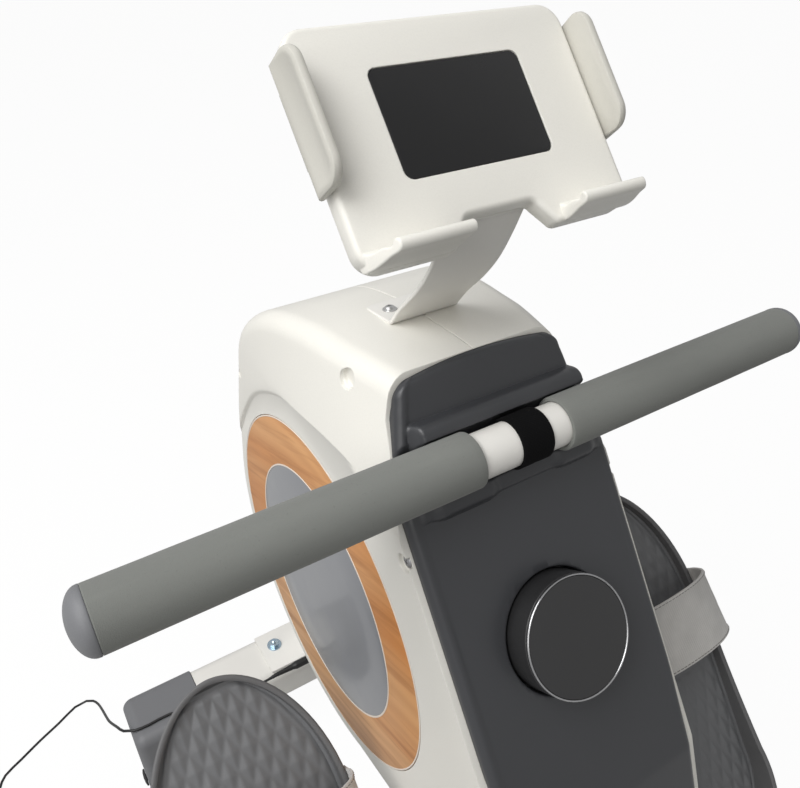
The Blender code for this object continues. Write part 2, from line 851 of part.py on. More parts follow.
def recoil_spring(parent, steel):
    """A flat spiral between the drum's hub and the pin on the left plate."""
    sides = 10
    inner_r = (DRUM_HUB_R + SEAT_GAP + SPRING_BAND_T / 2) / math.cos(math.pi / sides) + SEAT_GAP
    outer_r = SPRING_OUTER_R + SPRING_BAND_T / 2
    steps = SPRING_TURNS * sides
    line = []
    for k in range(steps + 1):
        angle = math.radians(90) + math.tau * SPRING_TURNS * (k - steps) / steps
        radius = inner_r + (outer_r - inner_r) * k / steps
        line.append((radius * math.cos(angle), radius * math.sin(angle)))
    mesh = ribbon(line, SPRING_BAND_T, DRUM_HUB_LEFT, DRUM_HUB_LEFT + SPRING_BAND_W)
    piece("recoil_spring", moved(mesh, (0, 0, AXLE_Z)), steel, parent)


def strap_path():
    """Centre line of the strap from the handle's tail over the guide roller down to the drum."""
    rise = math.radians(PULL_RISE)
    back = Vector((math.cos(rise), -math.sin(rise)))
    handle = Vector((HANDLE_Y, HANDLE_Z))
    guide = guide_place()
    drum = Vector((0.0, AXLE_Z))
    guide_r = GUIDE_R + STRAP_MID
    drum_r = DRUM_R + STRAP_MID
    span = drum - guide
    along = span.normalized()
    across = Vector((-along.y, along.x))
    lean = (drum_r - guide_r) / span.length
    normal = -lean * along + math.sqrt(1 - lean * lean) * across
    if normal.x < 0:
        normal = -lean * along - math.sqrt(1 - lean * lean) * across
    line = [handle + back * (LOOP_TAIL + SEAT_GAP)]
    start = 90.0 - PULL_RISE
    end = math.degrees(math.atan2(normal.y, normal.x))
    for k in range(6):
        angle = math.radians(start + (end - start) * k / 5)
        line.append(guide + guide_r * Vector((math.cos(angle), math.sin(angle))))
    line.append(drum + drum_r * normal)
    return line


def strap_and_guide(parent, webbing, plastic):
    strap = ribbon(strap_path(), STRAP_T, STRAP_LEFT, STRAP_RIGHT)
    piece("pull_strap", strap, webbing, parent)
    guide = guide_place()
    centre = mount("guide_axis", parent, (0, *guide))
    left = STRAP_LEFT - 0.004
    right = STRAP_RIGHT + 0.004
    outer_left = left - RUN_GAP - GUIDE_ARM_T
    outer_right = right + RUN_GAP + GUIDE_ARM_T
    flange = GUIDE_R + 0.002
    profile = [
        (0, outer_left),
        (GUIDE_PIN_R, outer_left),
        (GUIDE_PIN_R, left),
        (flange, left),
        (GUIDE_R, left + 0.003),
        (GUIDE_R, right - 0.003),
        (flange, right),
        (GUIDE_PIN_R, right),
        (GUIDE_PIN_R, outer_right),
        (0, outer_right),
    ]
    piece("guide_roller", turned(profile, 14), plastic, centre)


def magnet_arm(parent, steel):
    """A curved shoe over the flywheel's rim, held open by its cable at rest."""
    pin = Vector((ARM_PIN_Y, ARM_PIN_Z))
    axle = (0.0, AXLE_Z)
    inner_r = FLYWHEEL_R + SHOE_GAP
    outline = arc(axle, inner_r, SHOE_START, SHOE_END, 6)
    outline += arc(axle, inner_r + SHOE_T, SHOE_END, SHOE_START, 6)
    shoe = prism(outline, ARM_X0, ARM_X1)
    boss = moved(rod(ARM_PIN_R + 0.008, ARM_X0, ARM_X1), (0, *pin))
    link_end = arc(axle, inner_r + SHOE_T / 2 + 0.001, SHOE_START + 6, SHOE_START + 6, 1)[0]
    link = prism(stadium(tuple(pin), link_end, 0.0050), ARM_X0 + 0.001, ARM_X1 - 0.001)
    lug_foot = arc(axle, inner_r + SHOE_T - 0.001, SHOE_END - 3, SHOE_END - 3, 1)[0]
    lug_tip = arc(axle, inner_r + SHOE_T + 0.004, SHOE_END - 3, SHOE_END - 3, 1)[0]
    lug = prism(stadium(lug_foot, lug_tip, 0.0025, 4), ARM_X0 + 0.004, ARM_X1 - 0.004)
    hole = moved(rod(ARM_PIN_R + SEAT_GAP, ARM_X0 - 0.01, ARM_X1 + 0.01, 12), (0, *pin))
    mesh = cut(joined(shoe, boss, link, lug), hole)
    centre = mount("magnet_arm_axis", parent, (0, *pin), -ARM_OPEN)
    piece("magnet_arm", moved(mesh, (0, -pin.x, -pin.y)), steel, centre)


def cable_lug_tip():
    """Top of the magnet arm's cable lug with the arm open."""
    pin = Vector((ARM_PIN_Y, ARM_PIN_Z))
    reach_r = FLYWHEEL_R + SHOE_GAP + SHOE_T + 0.004
    tip = Vector(arc((0.0, AXLE_Z), reach_r, SHOE_END - 3, SHOE_END - 3, 1)[0])
    swing = math.radians(-ARM_OPEN)
    reach = tip - pin
    turned_y = reach.x * math.cos(swing) - reach.y * math.sin(swing)
    turned_z = reach.x * math.sin(swing) + reach.y * math.cos(swing)
    return pin + Vector((turned_y, turned_z))


def tension_cable(parent, black):
    tip = cable_lug_tip()
    middle_x = (ARM_X0 + ARM_X1) / 2
    behind = CUP_DEPTH + CUP_WALL + SEAT_GAP + SPOOL_T / 2
    spool = face_point(SPOOL_R + SEAT_GAP + CABLE_R, -behind)
    knots = [
        (0.002, spool.x, spool.y),
        (0.010, spool.x + 0.0040, spool.y + 0.0030),
        (0.026, CROSS_BAR_Y - 0.020, CROSS_BAR_Z - 0.034),
        (middle_x, tip.x - 0.026, tip.y + 0.0040),
        (middle_x, tip.x - 0.010, tip.y + 0.0100),
        (middle_x, tip.x, tip.y + 0.0025 + SEAT_GAP + CABLE_R + 0.0003),
    ]
    points = smooth_curve(knots, 0.009)
    lead("tension_cable", points, CABLE_R, 1, black, parent)


# Housing
def face_point(s, out):
    """A point of the face plane's frame as (y, z): s runs up the slope, out is toward the rower."""
    lean = math.radians(FACE_LEAN)
    up = Vector((math.sin(lean), math.cos(lean)))
    normal = Vector((-math.cos(lean), math.sin(lean)))
    return Vector((FACE_Y, FACE_Z)) + up * s + normal * out


def tail_point(t, out):
    """A point below the cover's bend as (y, z): t runs down the steeper slope."""
    lean = math.radians(TAIL_LEAN)
    down = Vector((-math.sin(lean), -math.cos(lean)))
    normal = Vector((-math.cos(lean), math.sin(lean)))
    return face_point(FACE_BEND, 0.0) + down * t + normal * out


def housing_outline():
    """Side outline of the housing, counter-clockwise from its lowest front point, with edge radii."""
    centre = (0.0, AXLE_Z)
    nose = arc(centre, NOSE_R, NOSE_START, NOSE_END, 12)
    shoulder = [
        nose[-1],
        (0.1420, 0.5220),
        (0.1265, 0.5780),
        (0.1120, 0.6100),
        (0.0870, 0.6350),
        (0.0550, 0.6560),
        (0.0100, 0.6683),
        (-0.0216, 0.6730),
        (-0.0654, 0.6759),
        (-0.1250, 0.6755),
    ]
    crown = [tuple(point) for point in smooth_curve([Vector((y, z, 0)) for y, z in shoulder], 0.030)]
    crown = [(point[0], point[1]) for point in crown]
    tail = tail_point(TAIL_LENGTH + 0.03, 0.03)
    belly = [(-0.295, 0.3250), (-0.200, 0.3090), (-0.104, 0.2930)]
    outline = nose[:-1] + crown + [(-0.40, 0.60), (-0.40, tail.y)] + belly
    radii = []
    for y, z in outline:
        rise = min(1.0, max(0.0, (z - 0.52) / 0.07))
        radii.append(NOSE_EDGE_R + (TOP_EDGE_R - NOSE_EDGE_R) * rise)
    return outline, radii


def cover_back_outline():
    """Everything on the rower's side of the cover's back, as an outline that cuts the shells."""
    back = -COVER_EDGE - SEAT_GAP
    top = face_point(FACE_TOP + 0.08, back)
    bend = face_point(FACE_BEND, back)
    low = tail_point(TAIL_LENGTH + 0.10, back)
    return [tuple(top), tuple(bend), tuple(low), (-0.60, low.y), (-0.60, top.y)]


def recess_outline(grow):
    """The lowered side field: an arc round the ring that runs level to the cover's edge."""
    ridge = [
        (0.175, 0.4250),
        (0.1610, 0.4700),
        (0.1385, 0.5122),
        (0.0958, 0.5663),
        (0.0456, 0.5965),
        (0.0065, 0.6045),
        (-0.0311, 0.6101),
        (-0.0724, 0.6125),
        (-0.160, 0.6090),
    ]
    curve = [(p[0], p[1] + grow) for p in smooth_curve([Vector((y, z, 0)) for y, z in ridge], 0.024)]
    return curve + [(-0.45, 0.60), (-0.45, 0.20), (0.175 + 0.05, 0.20), (0.175 + 0.05, 0.425)]


def shell(parent, side, sign, plastic):
    """One half of the housing: rounded loops outside, smaller ones inside, open at the split."""
    outline, radii = housing_outline()
    split = SEAT_GAP / 2
    loops = []
    for angle in (90, 60, 30, 0):
        swing = math.radians(angle)
        depths = [radius * (1 - math.cos(swing)) for radius in radii]
        points = inset(outline, depths)
        loops.append(
            [(SIDE_X - r + r * math.sin(swing), y, z) for (y, z), r in zip(points, radii)]
        )
    loops.append([(split, y, z) for y, z in outline])
    inner_radii = [max(radius - SHELL_WALL, 0.002) for radius in radii]
    inner = inset(outline, [SHELL_WALL] * len(outline))
    inner_x = RECESS_X - SHELL_WALL
    loops.append([(split, y, z) for y, z in inner])
    for angle in (0, 90):
        swing = math.radians(angle)
        depths = [radius * (1 - math.cos(swing)) for radius in inner_radii]
        points = inset(inner, depths)
        loops.append(
            [(inner_x - r + r * math.sin(swing), y, z) for (y, z), r in zip(points, inner_radii)]
        )
    body = loft(loops)
    outside = SIDE_X + 0.02
    recess = loft(
        [
            [(RECESS_X, y, z) for y, z in recess_outline(0.0)],
            [(SIDE_X, y, z) for y, z in recess_outline(RECESS_SLOPE)],
            [(outside, y, z) for y, z in recess_outline(RECESS_SLOPE)],
        ]
    )
    pocket_floor = RECESS_X - RING_T - SEAT_GAP
    pocket = moved(rod(RING_R + SEAT_GAP, pocket_floor, outside, RING_SIDES), (0, 0, AXLE_Z))
    front_cut = prism(cover_back_outline(), -0.01, outside)
    plate_slot = box(
        (PLATE_X - PLATE_SLOT_PLAY, PLATE_X + PLATE_T + PLATE_SLOT_PLAY),
        (-BRIDGE_HALF_Y - 0.005, BRIDGE_HALF_Y + 0.005),
        (BEAM_TOP - 0.02, BEAM_TOP + 0.03),
    )
    wells = []
    for y, z, radius, level in SCREW_WELLS:
        wells.append(moved(rod(radius, level - SCREW_WELL_DEPTH, outside, 14), (0, y, z)))
    mesh = cut(body, front_cut, recess, pocket, plate_slot, *wells)
    piece(f"shell_{side}", mirror_x(mesh, sign), plastic, parent)


def ring_and_disc(parent, side, sign, wood, plastic):
    low = RECESS_X - RING_T
    inner = DISC_R + SEAT_GAP
    ring_profile = [
        (inner, low),
        (RING_R, low),
        (RING_R, RECESS_X - 0.0006),
        (RING_R - 0.0008, RECESS_X),
        (inner, RECESS_X),
    ]
    disc_profile = [
        (0, low),
        (DISC_R, low),
        (DISC_R, RECESS_X - 0.0008),
        (DISC_R - 0.0010, RECESS_X - 0.0002),
        (0, RECESS_X + DISC_DOME),
    ]
    place = (0, 0, AXLE_Z)
    ring = moved(turned(ring_profile, RING_SIDES, ring=True), place)
    piece(f"wood_ring_{side}", mirror_x(ring, sign), wood, parent)
    disc = moved(turned(disc_profile, RING_SIDES), place)
    piece(f"side_disc_{side}", mirror_x(disc, sign), plastic, parent)


def bump(value, centre, half):
    """A smooth hill that is 1 at its centre and 0 beyond half its width."""
    share = abs(value - centre) / half
    return math.cos(share * math.pi / 2) ** 1.3 if share < 1 else 0.0


def window(value, low, high, soft):
    """1 between two limits, with soft ends."""
    rise = min(1.0, max(0.0, (value - low) / soft))
    fall = min(1.0, max(0.0, (high - value) / soft))
    share = min(rise, fall)
    return share * share * (3 - 2 * share)


def cradle_floor():
    """How far the handle's channel lies behind the face plane."""
    handle = Vector((HANDLE_Y, HANDLE_Z)) - Vector((FACE_Y, FACE_Z))
    lean = math.radians(FACE_LEAN)
    out = -handle.x * math.cos(lean) + handle.y * math.sin(lean)
    s = handle.x * math.sin(lean) + handle.y * math.cos(lean)
    return s, out - GRIP_R - SEAT_GAP


def channel_depth(s):
    """Depth of the handle's channel, which runs right across the cover."""
    cradle_s, floor = cradle_floor()
    return floor * min(1.0, max(0.0, (GRIP_R + 0.001 - abs(s - cradle_s)) / 0.0070))


def cover_height(x, s):
    """Height of the two lips over the face plane."""
    upper = UPPER_LIP_OUT * bump(s, UPPER_LIP_S, UPPER_LIP_HALF) * window(x, -0.062, 0.068, 0.008)
    bulge = 0.55 + 0.45 * window(x, -0.060, -0.012, 0.012) + 0.45 * window(x, 0.030, 0.066, 0.012)
    lower = LOWER_LIP_OUT * bump(s, LOWER_LIP_S, LOWER_LIP_HALF) * bulge * window(x, -0.068, 0.071, 0.008)
    return upper + lower


def cover_half_width(s):
    """Half the cover's width: it narrows toward its top and a little toward its tail."""
    stations = (
        (FACE_BEND, COVER_HALF_TAIL),
        (FACE_BEND + 0.057, COVER_HALF),
        (UPPER_LIP_S - 0.050, COVER_HALF),
        (UPPER_LIP_S - 0.009, COVER_HALF_NECK),
        (UPPER_LIP_S + 0.010, COVER_HALF_HEAD),
        (FACE_TOP, COVER_HALF_TOP),
    )
    if s <= stations[0][0]:
        return stations[0][1]
    for (low, first), (high, second) in zip(stations, stations[1:]):
        if s <= high:
            return first + (second - first) * (s - low) / (high - low)
    return stations[-1][1]


def cover_row(place, half, level, lips, drop):
    """One closed section of the cover: its skin from side to side, then its two back corners."""
    border = (
        (-half, -COVER_ROUND * 0.75),
        (-half + COVER_ROUND * 0.35, -COVER_ROUND * 0.2),
        (-half + COVER_ROUND, 0.0),
    )
    columns = list(border)
    for share in (-0.90, -0.76, -0.46, -0.17, 0.08, 0.36, 0.54, 0.76, 0.92):
        x = share * (half - COVER_ROUND)
        columns.append((x, cover_height(x, level) if lips else 0.0))
    columns += [(-x, out) for x, out in reversed(border)]
    if lips:
        drop -= channel_depth(level)
    loop = [(x, *place(max(out - drop, -COVER_EDGE * 0.8))) for x, out in columns]
    return loop + [(half, *place(-COVER_EDGE)), (-half, *place(-COVER_EDGE))]


def cover_skin():
    """The cover as a solid: rows down the face plane, then down the steeper tail."""
    rows = [(FACE_TOP, 0.0115, COVER_EDGE), (FACE_TOP - 0.0015, 0.0075, 0.0022)]
    rows += [(FACE_TOP - 0.006, 0.0023, 0.0002)]
    heights = (0.169, 0.1585, 0.1545, 0.150, 0.1455, 0.1415, 0.135, 0.113)
    rows += [(s, 0.0, 0.0) for s in heights]
    heights = (0.1045, 0.1005, 0.096, 0.0915, 0.0875, 0.080, FACE_BEND + 0.008)
    rows += [(s, 0.0, 0.0) for s in heights]
    loops = []
    for s, narrower, drop in rows:
        half = cover_half_width(s) - narrower
        loops.append(cover_row(lambda out: face_point(s, out), half, s, True, drop))
    half = cover_half_width(FACE_BEND)
    for t, drop in ((0.008, 0.0), (TAIL_LENGTH - 0.002, 0.0), (TAIL_LENGTH, COVER_EDGE)):
        loops.append(cover_row(lambda out: tail_point(t, out), half, FACE_BEND, False, drop))
    return loft(loops)


def cover_hollow():
    """The room behind the cover's skin, deeper behind the handle's channel."""
    floor = cradle_floor()[1] - COVER_WALL
    rows = [
        (face_point, FACE_TOP - 0.008, -COVER_WALL - 0.001),
        (face_point, 0.152, -COVER_WALL),
        (face_point, 0.148, floor),
        (face_point, 0.098, floor),
        (face_point, 0.094, -COVER_WALL),
        (face_point, FACE_BEND + 0.004, -COVER_WALL),
        (tail_point, 0.006, -COVER_WALL),
        (tail_point, TAIL_LENGTH - COVER_WALL, -COVER_WALL),
    ]
    loops = []
    for place, level, top in rows:
        half = cover_half_width(level if place is face_point else FACE_BEND) - COVER_WALL - 0.0015
        if level == rows[0][1]:
            half -= 0.004
        back = -COVER_EDGE - 0.006
        corners = ((-half, top), (half, top), (half, back), (-half, back))
        loops.append([(x, *place(level, out)) for x, out in corners])
    return loft(loops)


def face_cover(parent, plastic):
    """The moulded cover: a thin skin with a border, two lips, a channel, the knob's cup and the slot."""
    tilt = 90 - FACE_LEAN
    place = (0, FACE_Y, FACE_Z)
    cup_back = -CUP_DEPTH - CUP_WALL
    cup_outer = moved(rod(KNOB_HOLE_R + CUP_WALL, cup_back, -0.001, 28, "Z"), place, tilt)
    cup_inner = moved(rod(KNOB_HOLE_R, -CUP_DEPTH, 0.02, 36, "Z"), place, tilt)
    shaft_hole = moved(rod(KNOB_SHAFT_R + SEAT_GAP, -CUP_DEPTH - 0.02, 0.02, 12, "Z"), place, tilt)
    slot_s = cradle_floor()[0] + 0.0052
    slot_outline = rounded_rectangle(
        (STRAP_LEFT - SLOT_PLAY, STRAP_RIGHT + SLOT_PLAY), (slot_s - SLOT_HALF, slot_s + SLOT_HALF), 0.002, 2
    )
    slot = moved(prism(slot_outline, -0.02, 0.02, "Z"), place, tilt)
    body = cut(cover_skin(), cover_hollow())
    mesh = cut(joined(body, cup_outer), cup_inner, shaft_hole, slot)
    piece("face_cover", mesh, plastic, parent)


def tension_knob(parent, plastic, chrome):
    """The knob with its shaft and cable spool, in the face's frame, and its bright rim."""
    centre = mount("knob_axis", parent, (0, FACE_Y, FACE_Z), 90 - FACE_LEAN)
    back = -CUP_DEPTH + SEAT_GAP
    spool_top = -CUP_DEPTH - CUP_WALL - SEAT_GAP
    seat_r = KNOB_R - KNOB_RIM_W - SEAT_GAP
    seat_z = KNOB_OUT - KNOB_RIM_DEPTH - SEAT_GAP
    profile = [
        (0, spool_top - SPOOL_T),
        (SPOOL_R, spool_top - SPOOL_T),
        (SPOOL_R, spool_top),
        (KNOB_SHAFT_R, spool_top),
        (KNOB_SHAFT_R, back),
        (KNOB_R, back),
        (KNOB_R, seat_z),
        (seat_r, seat_z),
        (seat_r, KNOB_OUT - 0.0006),
        (0, KNOB_OUT),
    ]
    piece("tension_knob", turned(profile, 28, "Z"), plastic, centre)
    rim = [
        (KNOB_R - KNOB_RIM_W, KNOB_OUT - KNOB_RIM_DEPTH),
        (KNOB_R, KNOB_OUT - KNOB_RIM_DEPTH),
        (KNOB_R, KNOB_OUT),
        (KNOB_R - KNOB_RIM_W, KNOB_OUT),
    ]
    piece("knob_rim", turned(rim, 28, "Z", ring=True), chrome, centre)


# Pull handle
def pull_handle(parent, looks):
    centre = mount("handle_axis", parent, (0, HANDLE_Y, HANDLE_Z))
    tube = [(TUBE_BORE_R, -TUBE_END), (TUBE_R, -TUBE_END), (TUBE_R, TUBE_END), (TUBE_BORE_R, TUBE_END)]
    piece("handle_tube", turned(tube, 24, ring=True), looks["ivory"], centre)
    for side, sign in SIDES:
        grip_in = TUBE_R + SEAT_GAP
        grip = [
            (grip_in, GRIP_START),
            (GRIP_R - 0.0012, GRIP_START),
            (GRIP_R, GRIP_START + 0.0012),
            (GRIP_R, TUBE_END),
            (grip_in, TUBE_END),
        ]
        piece(f"grip_{side}", mirror_x(turned(grip, 24, ring=True), sign), looks["foam"], centre)
        face = TUBE_END + SEAT_GAP
        plug_r = TUBE_BORE_R - SEAT_GAP
        cap = [(0, face - CAP_PLUG), (plug_r, face - CAP_PLUG), (plug_r, face), (GRIP_R, face)]
        for k in range(4):
            angle = math.radians(30 * k)
            cap.append((GRIP_R * math.cos(angle), face + CAP_RIM + CAP_DOME * math.sin(angle)))
        cap[-1] = (0, cap[-1][1])
        piece(f"handle_cap_{side}", mirror_x(turned(cap, 24), sign), looks["cap_grey"], centre)
    loop_in = TUBE_R + SEAT_GAP
    loop_out = loop_in + STRAP_T
    band = turned(
        [(loop_in, STRAP_LEFT), (loop_out, STRAP_LEFT), (loop_out, STRAP_RIGHT), (loop_in, STRAP_RIGHT)],
        24,
        ring=True,
    )
    tail = box(
        (STRAP_LEFT + 0.0001, STRAP_RIGHT - 0.0001),
        (loop_in + 0.0004, LOOP_TAIL),
        (-STRAP_T / 2, STRAP_T / 2),
    )
    piece("strap_loop", joined(band, moved(tail, tilt=-PULL_RISE)), looks["webbing"], centre)


# Tablet holder
def tablet_holder(parent, looks):
    """The moulded panel with two hooked lips and a notch between them, its display and its jaws."""
    frame = mount("holder_place", parent, (0, SCREEN_Y, SCREEN_Z), 90 - PANEL_LEAN)
    outline = []
    top_side = PANEL_HALF - PANEL_TOP_R
    low_side = PANEL_HALF - PANEL_BOTTOM_R
    outline += arc((top_side, PANEL_TOP - PANEL_TOP_R), PANEL_TOP_R, 0, 90, 3)
    outline += arc((-top_side, PANEL_TOP - PANEL_TOP_R), PANEL_TOP_R, 90, 180, 3)
    outline += arc((-low_side, PANEL_BOTTOM + PANEL_BOTTOM_R), PANEL_BOTTOM_R, 180, 270, 3)
    outline += [(-NOTCH_HALF_BOTTOM - 0.004, PANEL_BOTTOM)]
    outline += arc((-NOTCH_HALF_BOTTOM - 0.001, PANEL_BOTTOM + 0.005), 0.005, -90, -25, 2)
    outline += arc((-NOTCH_HALF_TOP + 0.002, NOTCH_TOP - 0.006), 0.006, 155, 90, 3)
    outline += arc((NOTCH_HALF_TOP - 0.002, NOTCH_TOP - 0.006), 0.006, 90, 25, 3)
    outline += arc((NOTCH_HALF_BOTTOM + 0.001, PANEL_BOTTOM + 0.005), 0.005, 205, 270, 2)
    outline += [(NOTCH_HALF_BOTTOM + 0.004, PANEL_BOTTOM)]
    outline += arc((low_side, PANEL_BOTTOM + PANEL_BOTTOM_R), PANEL_BOTTOM_R, 270, 360, 3)
    soft = 0.003
    loops = []
    for level, depth in ((-PANEL_T, 0.0), (-soft, 0.0), (-soft * 0.3, soft * 0.3), (0.0, soft)):
        points = inset(outline, [depth] * len(outline))
        loops.append([(x, y, level) for x, y in points])
    panel = loft(loops)
    lips = [hook_lip(sign) for sign in (-1, 1)]
    body = joined(panel, *lips)
    pocket = prism(
        rounded_rectangle(
            (-SCREEN_W / 2 - SEAT_GAP, SCREEN_W / 2 + SEAT_GAP),
            (-SEAT_GAP, SCREEN_H + SEAT_GAP),
            SCREEN_CORNER + SEAT_GAP,
        ),
        -SCREEN_T - SEAT_GAP * 2,
        0.01,
        "Z",
    )
    tongue_mid = (JAW_BOTTOM + JAW_TOP) / 2
    tongue_z = -PANEL_T / 2 - 0.001
    slot_half = TONGUE_T / 2 + TONGUE_PLAY
    slots = []
    for sign in (-1, 1):
        ends = (sign * (JAW_ROOT - TONGUE_LENGTH - 0.002), sign * (PANEL_HALF + 0.01))
        slots.append(
            box(
                tuple(sorted(ends)),
                (tongue_mid - TONGUE_HALF - TONGUE_PLAY, tongue_mid + TONGUE_HALF + TONGUE_PLAY),
                (tongue_z - slot_half, tongue_z + slot_half),
            )
        )
    piece("tablet_holder", cut(body, pocket, *slots), looks["ivory"], frame)
    screen = prism(
        rounded_rectangle((-SCREEN_W / 2, SCREEN_W / 2), (0.0, SCREEN_H), SCREEN_CORNER),
        -SCREEN_T - SEAT_GAP,
        -SEAT_GAP,
        "Z",
    )
    piece("display", screen, looks["screen"], frame)
    for side, sign in SIDES:
        jaw(frame, side, sign, looks["cream"])


def hook_lip(sign):
    """One lip of the shelf: out from the panel's foot and rolled up at its front edge."""
    low = PANEL_BOTTOM
    profile = [
        (-0.009, low + 0.004),
        (-0.006, low + 0.0005),
        (0.004, low),
        (LIP_REACH * 0.62, low + 0.0010),
        (LIP_REACH - 0.0020, LIP_FRONT - 0.0050),
        (LIP_REACH, LIP_FRONT - 0.0020),
        (LIP_REACH - 0.0012, LIP_FRONT + 0.0006),
        (LIP_REACH - 0.0040, LIP_FRONT + 0.0008),
        (LIP_REACH - 0.0062, LIP_FRONT - 0.0012),
        (LIP_REACH * 0.50, low + LIP_T),
        (0.003, low + LIP_T + 0.0008),
        (-0.004, low + LIP_T + 0.006),
        (-0.009, low + LIP_T + 0.006),
    ]
    loops = []
    for share in (0.0, 0.06, 0.94, 1.0):
        loop = []
        for out, along in profile:
            reach = min(1.0, max(0.0, out / LIP_REACH))
            inner = NOTCH_HALF_BOTTOM + 0.001 + 0.002 * reach
            outer = LIP_OUTER - 0.001 - 0.010 * reach
            x = inner + (outer - inner) * share
            pull = 0.0012 if share in (0.0, 1.0) else 0.0
            middle = (LIP_REACH * 0.4, low + LIP_T * 0.6)
            loop.append(
                (sign * x, along + (middle[1] - along) * pull / 0.006, out + (middle[0] - out) * pull / 0.02)
            )
        loops.append(loop)
    return loft(loops)


def jaw(parent, side, sign, plastic):
    """A side jaw: a thin ear that leans outward, on a flat tongue that slides in the panel."""
    slide = mount(f"jaw_slide_{side}", parent, (0, 0, 0))
    outline = rounded_rectangle((JAW_BOTTOM, JAW_TOP), (-PANEL_T + 0.005, JAW_OUT), 0.0105, 3)
    lean = (JAW_TIP - JAW_ROOT) / (JAW_OUT + 0.006)
    loops = []
    for x, depth in ((0.0, 0.0012), (0.0012, 0.0), (JAW_T - 0.0015, 0.0), (JAW_T, 0.0015)):
        loop = []
        for along, out in inset(outline, [depth] * len(outline)):
            loop.append((JAW_ROOT + x + lean * (out + 0.006), along, out))
        loops.append(loop)
    ear = loft(loops)
    tongue_mid = (JAW_BOTTOM + JAW_TOP) / 2
    tongue_z = -PANEL_T / 2 - 0.001
    tongue = box(
        (JAW_ROOT - TONGUE_LENGTH, JAW_ROOT + 0.002),
        (tongue_mid - TONGUE_HALF, tongue_mid + TONGUE_HALF),
        (tongue_z - TONGUE_T / 2, tongue_z + TONGUE_T / 2),
    )
    foot = box(
        (JAW_ROOT - 0.0004, JAW_ROOT + 0.003),
        (tongue_mid - TONGUE_HALF - 0.004, tongue_mid + TONGUE_HALF + 0.004),
        (-PANEL_T + 0.002, -0.003),
    )
    piece(f"jaw_{side}", mirror_x(joined(ear, tongue, foot), sign), plastic, slide)


def tablet_bracket(parent, paint):
    """A strip screwed to the housing's top that rises toward the rower and bends behind the panel."""
    slope = math.radians(FLANGE_SLOPE)
    mid = STRIP_T / 2 + SEAT_GAP
    flange_back = Vector((FLANGE_BACK_Y, FLANGE_Z - math.tan(slope) * FLANGE_BACK_Y - 0.0018 + mid))
    flange_front = Vector((FLANGE_FRONT_Y, FLANGE_Z - math.tan(slope) * FLANGE_FRONT_Y - 0.0018 + mid))
    lean = math.radians(PANEL_LEAN)
    up = Vector((math.sin(lean), math.cos(lean)))
    normal = Vector((-math.cos(lean), math.sin(lean)))
    screen = Vector((SCREEN_Y, SCREEN_Z))
    behind = normal * (-PANEL_T - SEAT_GAP - STRIP_T / 2)
    leg_low = screen + up * -0.0180 + behind
    leg_high = screen + up * 0.0480 + behind
    knots = [
        flange_front + Vector((-0.0035, 0.0032)),
        Vector((-0.0335, 0.6900)),
        Vector((-0.0500, 0.7080)),
        Vector((-0.0625, 0.7250)),
        Vector((-0.0720, 0.7430)),
        Vector((-0.0795, 0.7600)),
    ]
    line = [flange_back, flange_front] + knots
    line += [leg_low + Vector((-0.0010, -0.0065)), leg_low, leg_high]
    piece("tablet_bracket", ribbon(line, STRIP_T, -STRIP_HALF, STRIP_HALF), paint, parent)


# Footplates
def foot_outline():
    """Outline of a footplate: a full toe arc, sides that narrow a little and a round heel."""
    right = []
    for k in range(6):
        share = k / 5
        v = -FOOT_TOE_ARC * share**1.7
        reach = (v + FOOT_TOE_ARC) / FOOT_TOE_ARC
        right.append((FOOT_HALF * (1 - reach**FOOT_POWER) ** (1 / FOOT_POWER), v))
    right.append((FOOT_HALF, -FOOT_LENGTH / 2))
    heel_top = -FOOT_LENGTH + FOOT_HEEL_ARC
    right.append((FOOT_HEEL_HALF, heel_top))
    for k in range(1, 5):
        angle = math.radians(90 * k / 4)
        right.append((FOOT_HEEL_HALF * math.cos(angle), heel_top - FOOT_HEEL_ARC * math.sin(angle)))
    left = [(-x, v) for x, v in right[-2:0:-1]]
    toe = right[0]
    full = [(0.0, toe[1])] + right[1:-1] + [(0.0, right[-1][1])] + left
    return full[::-1]


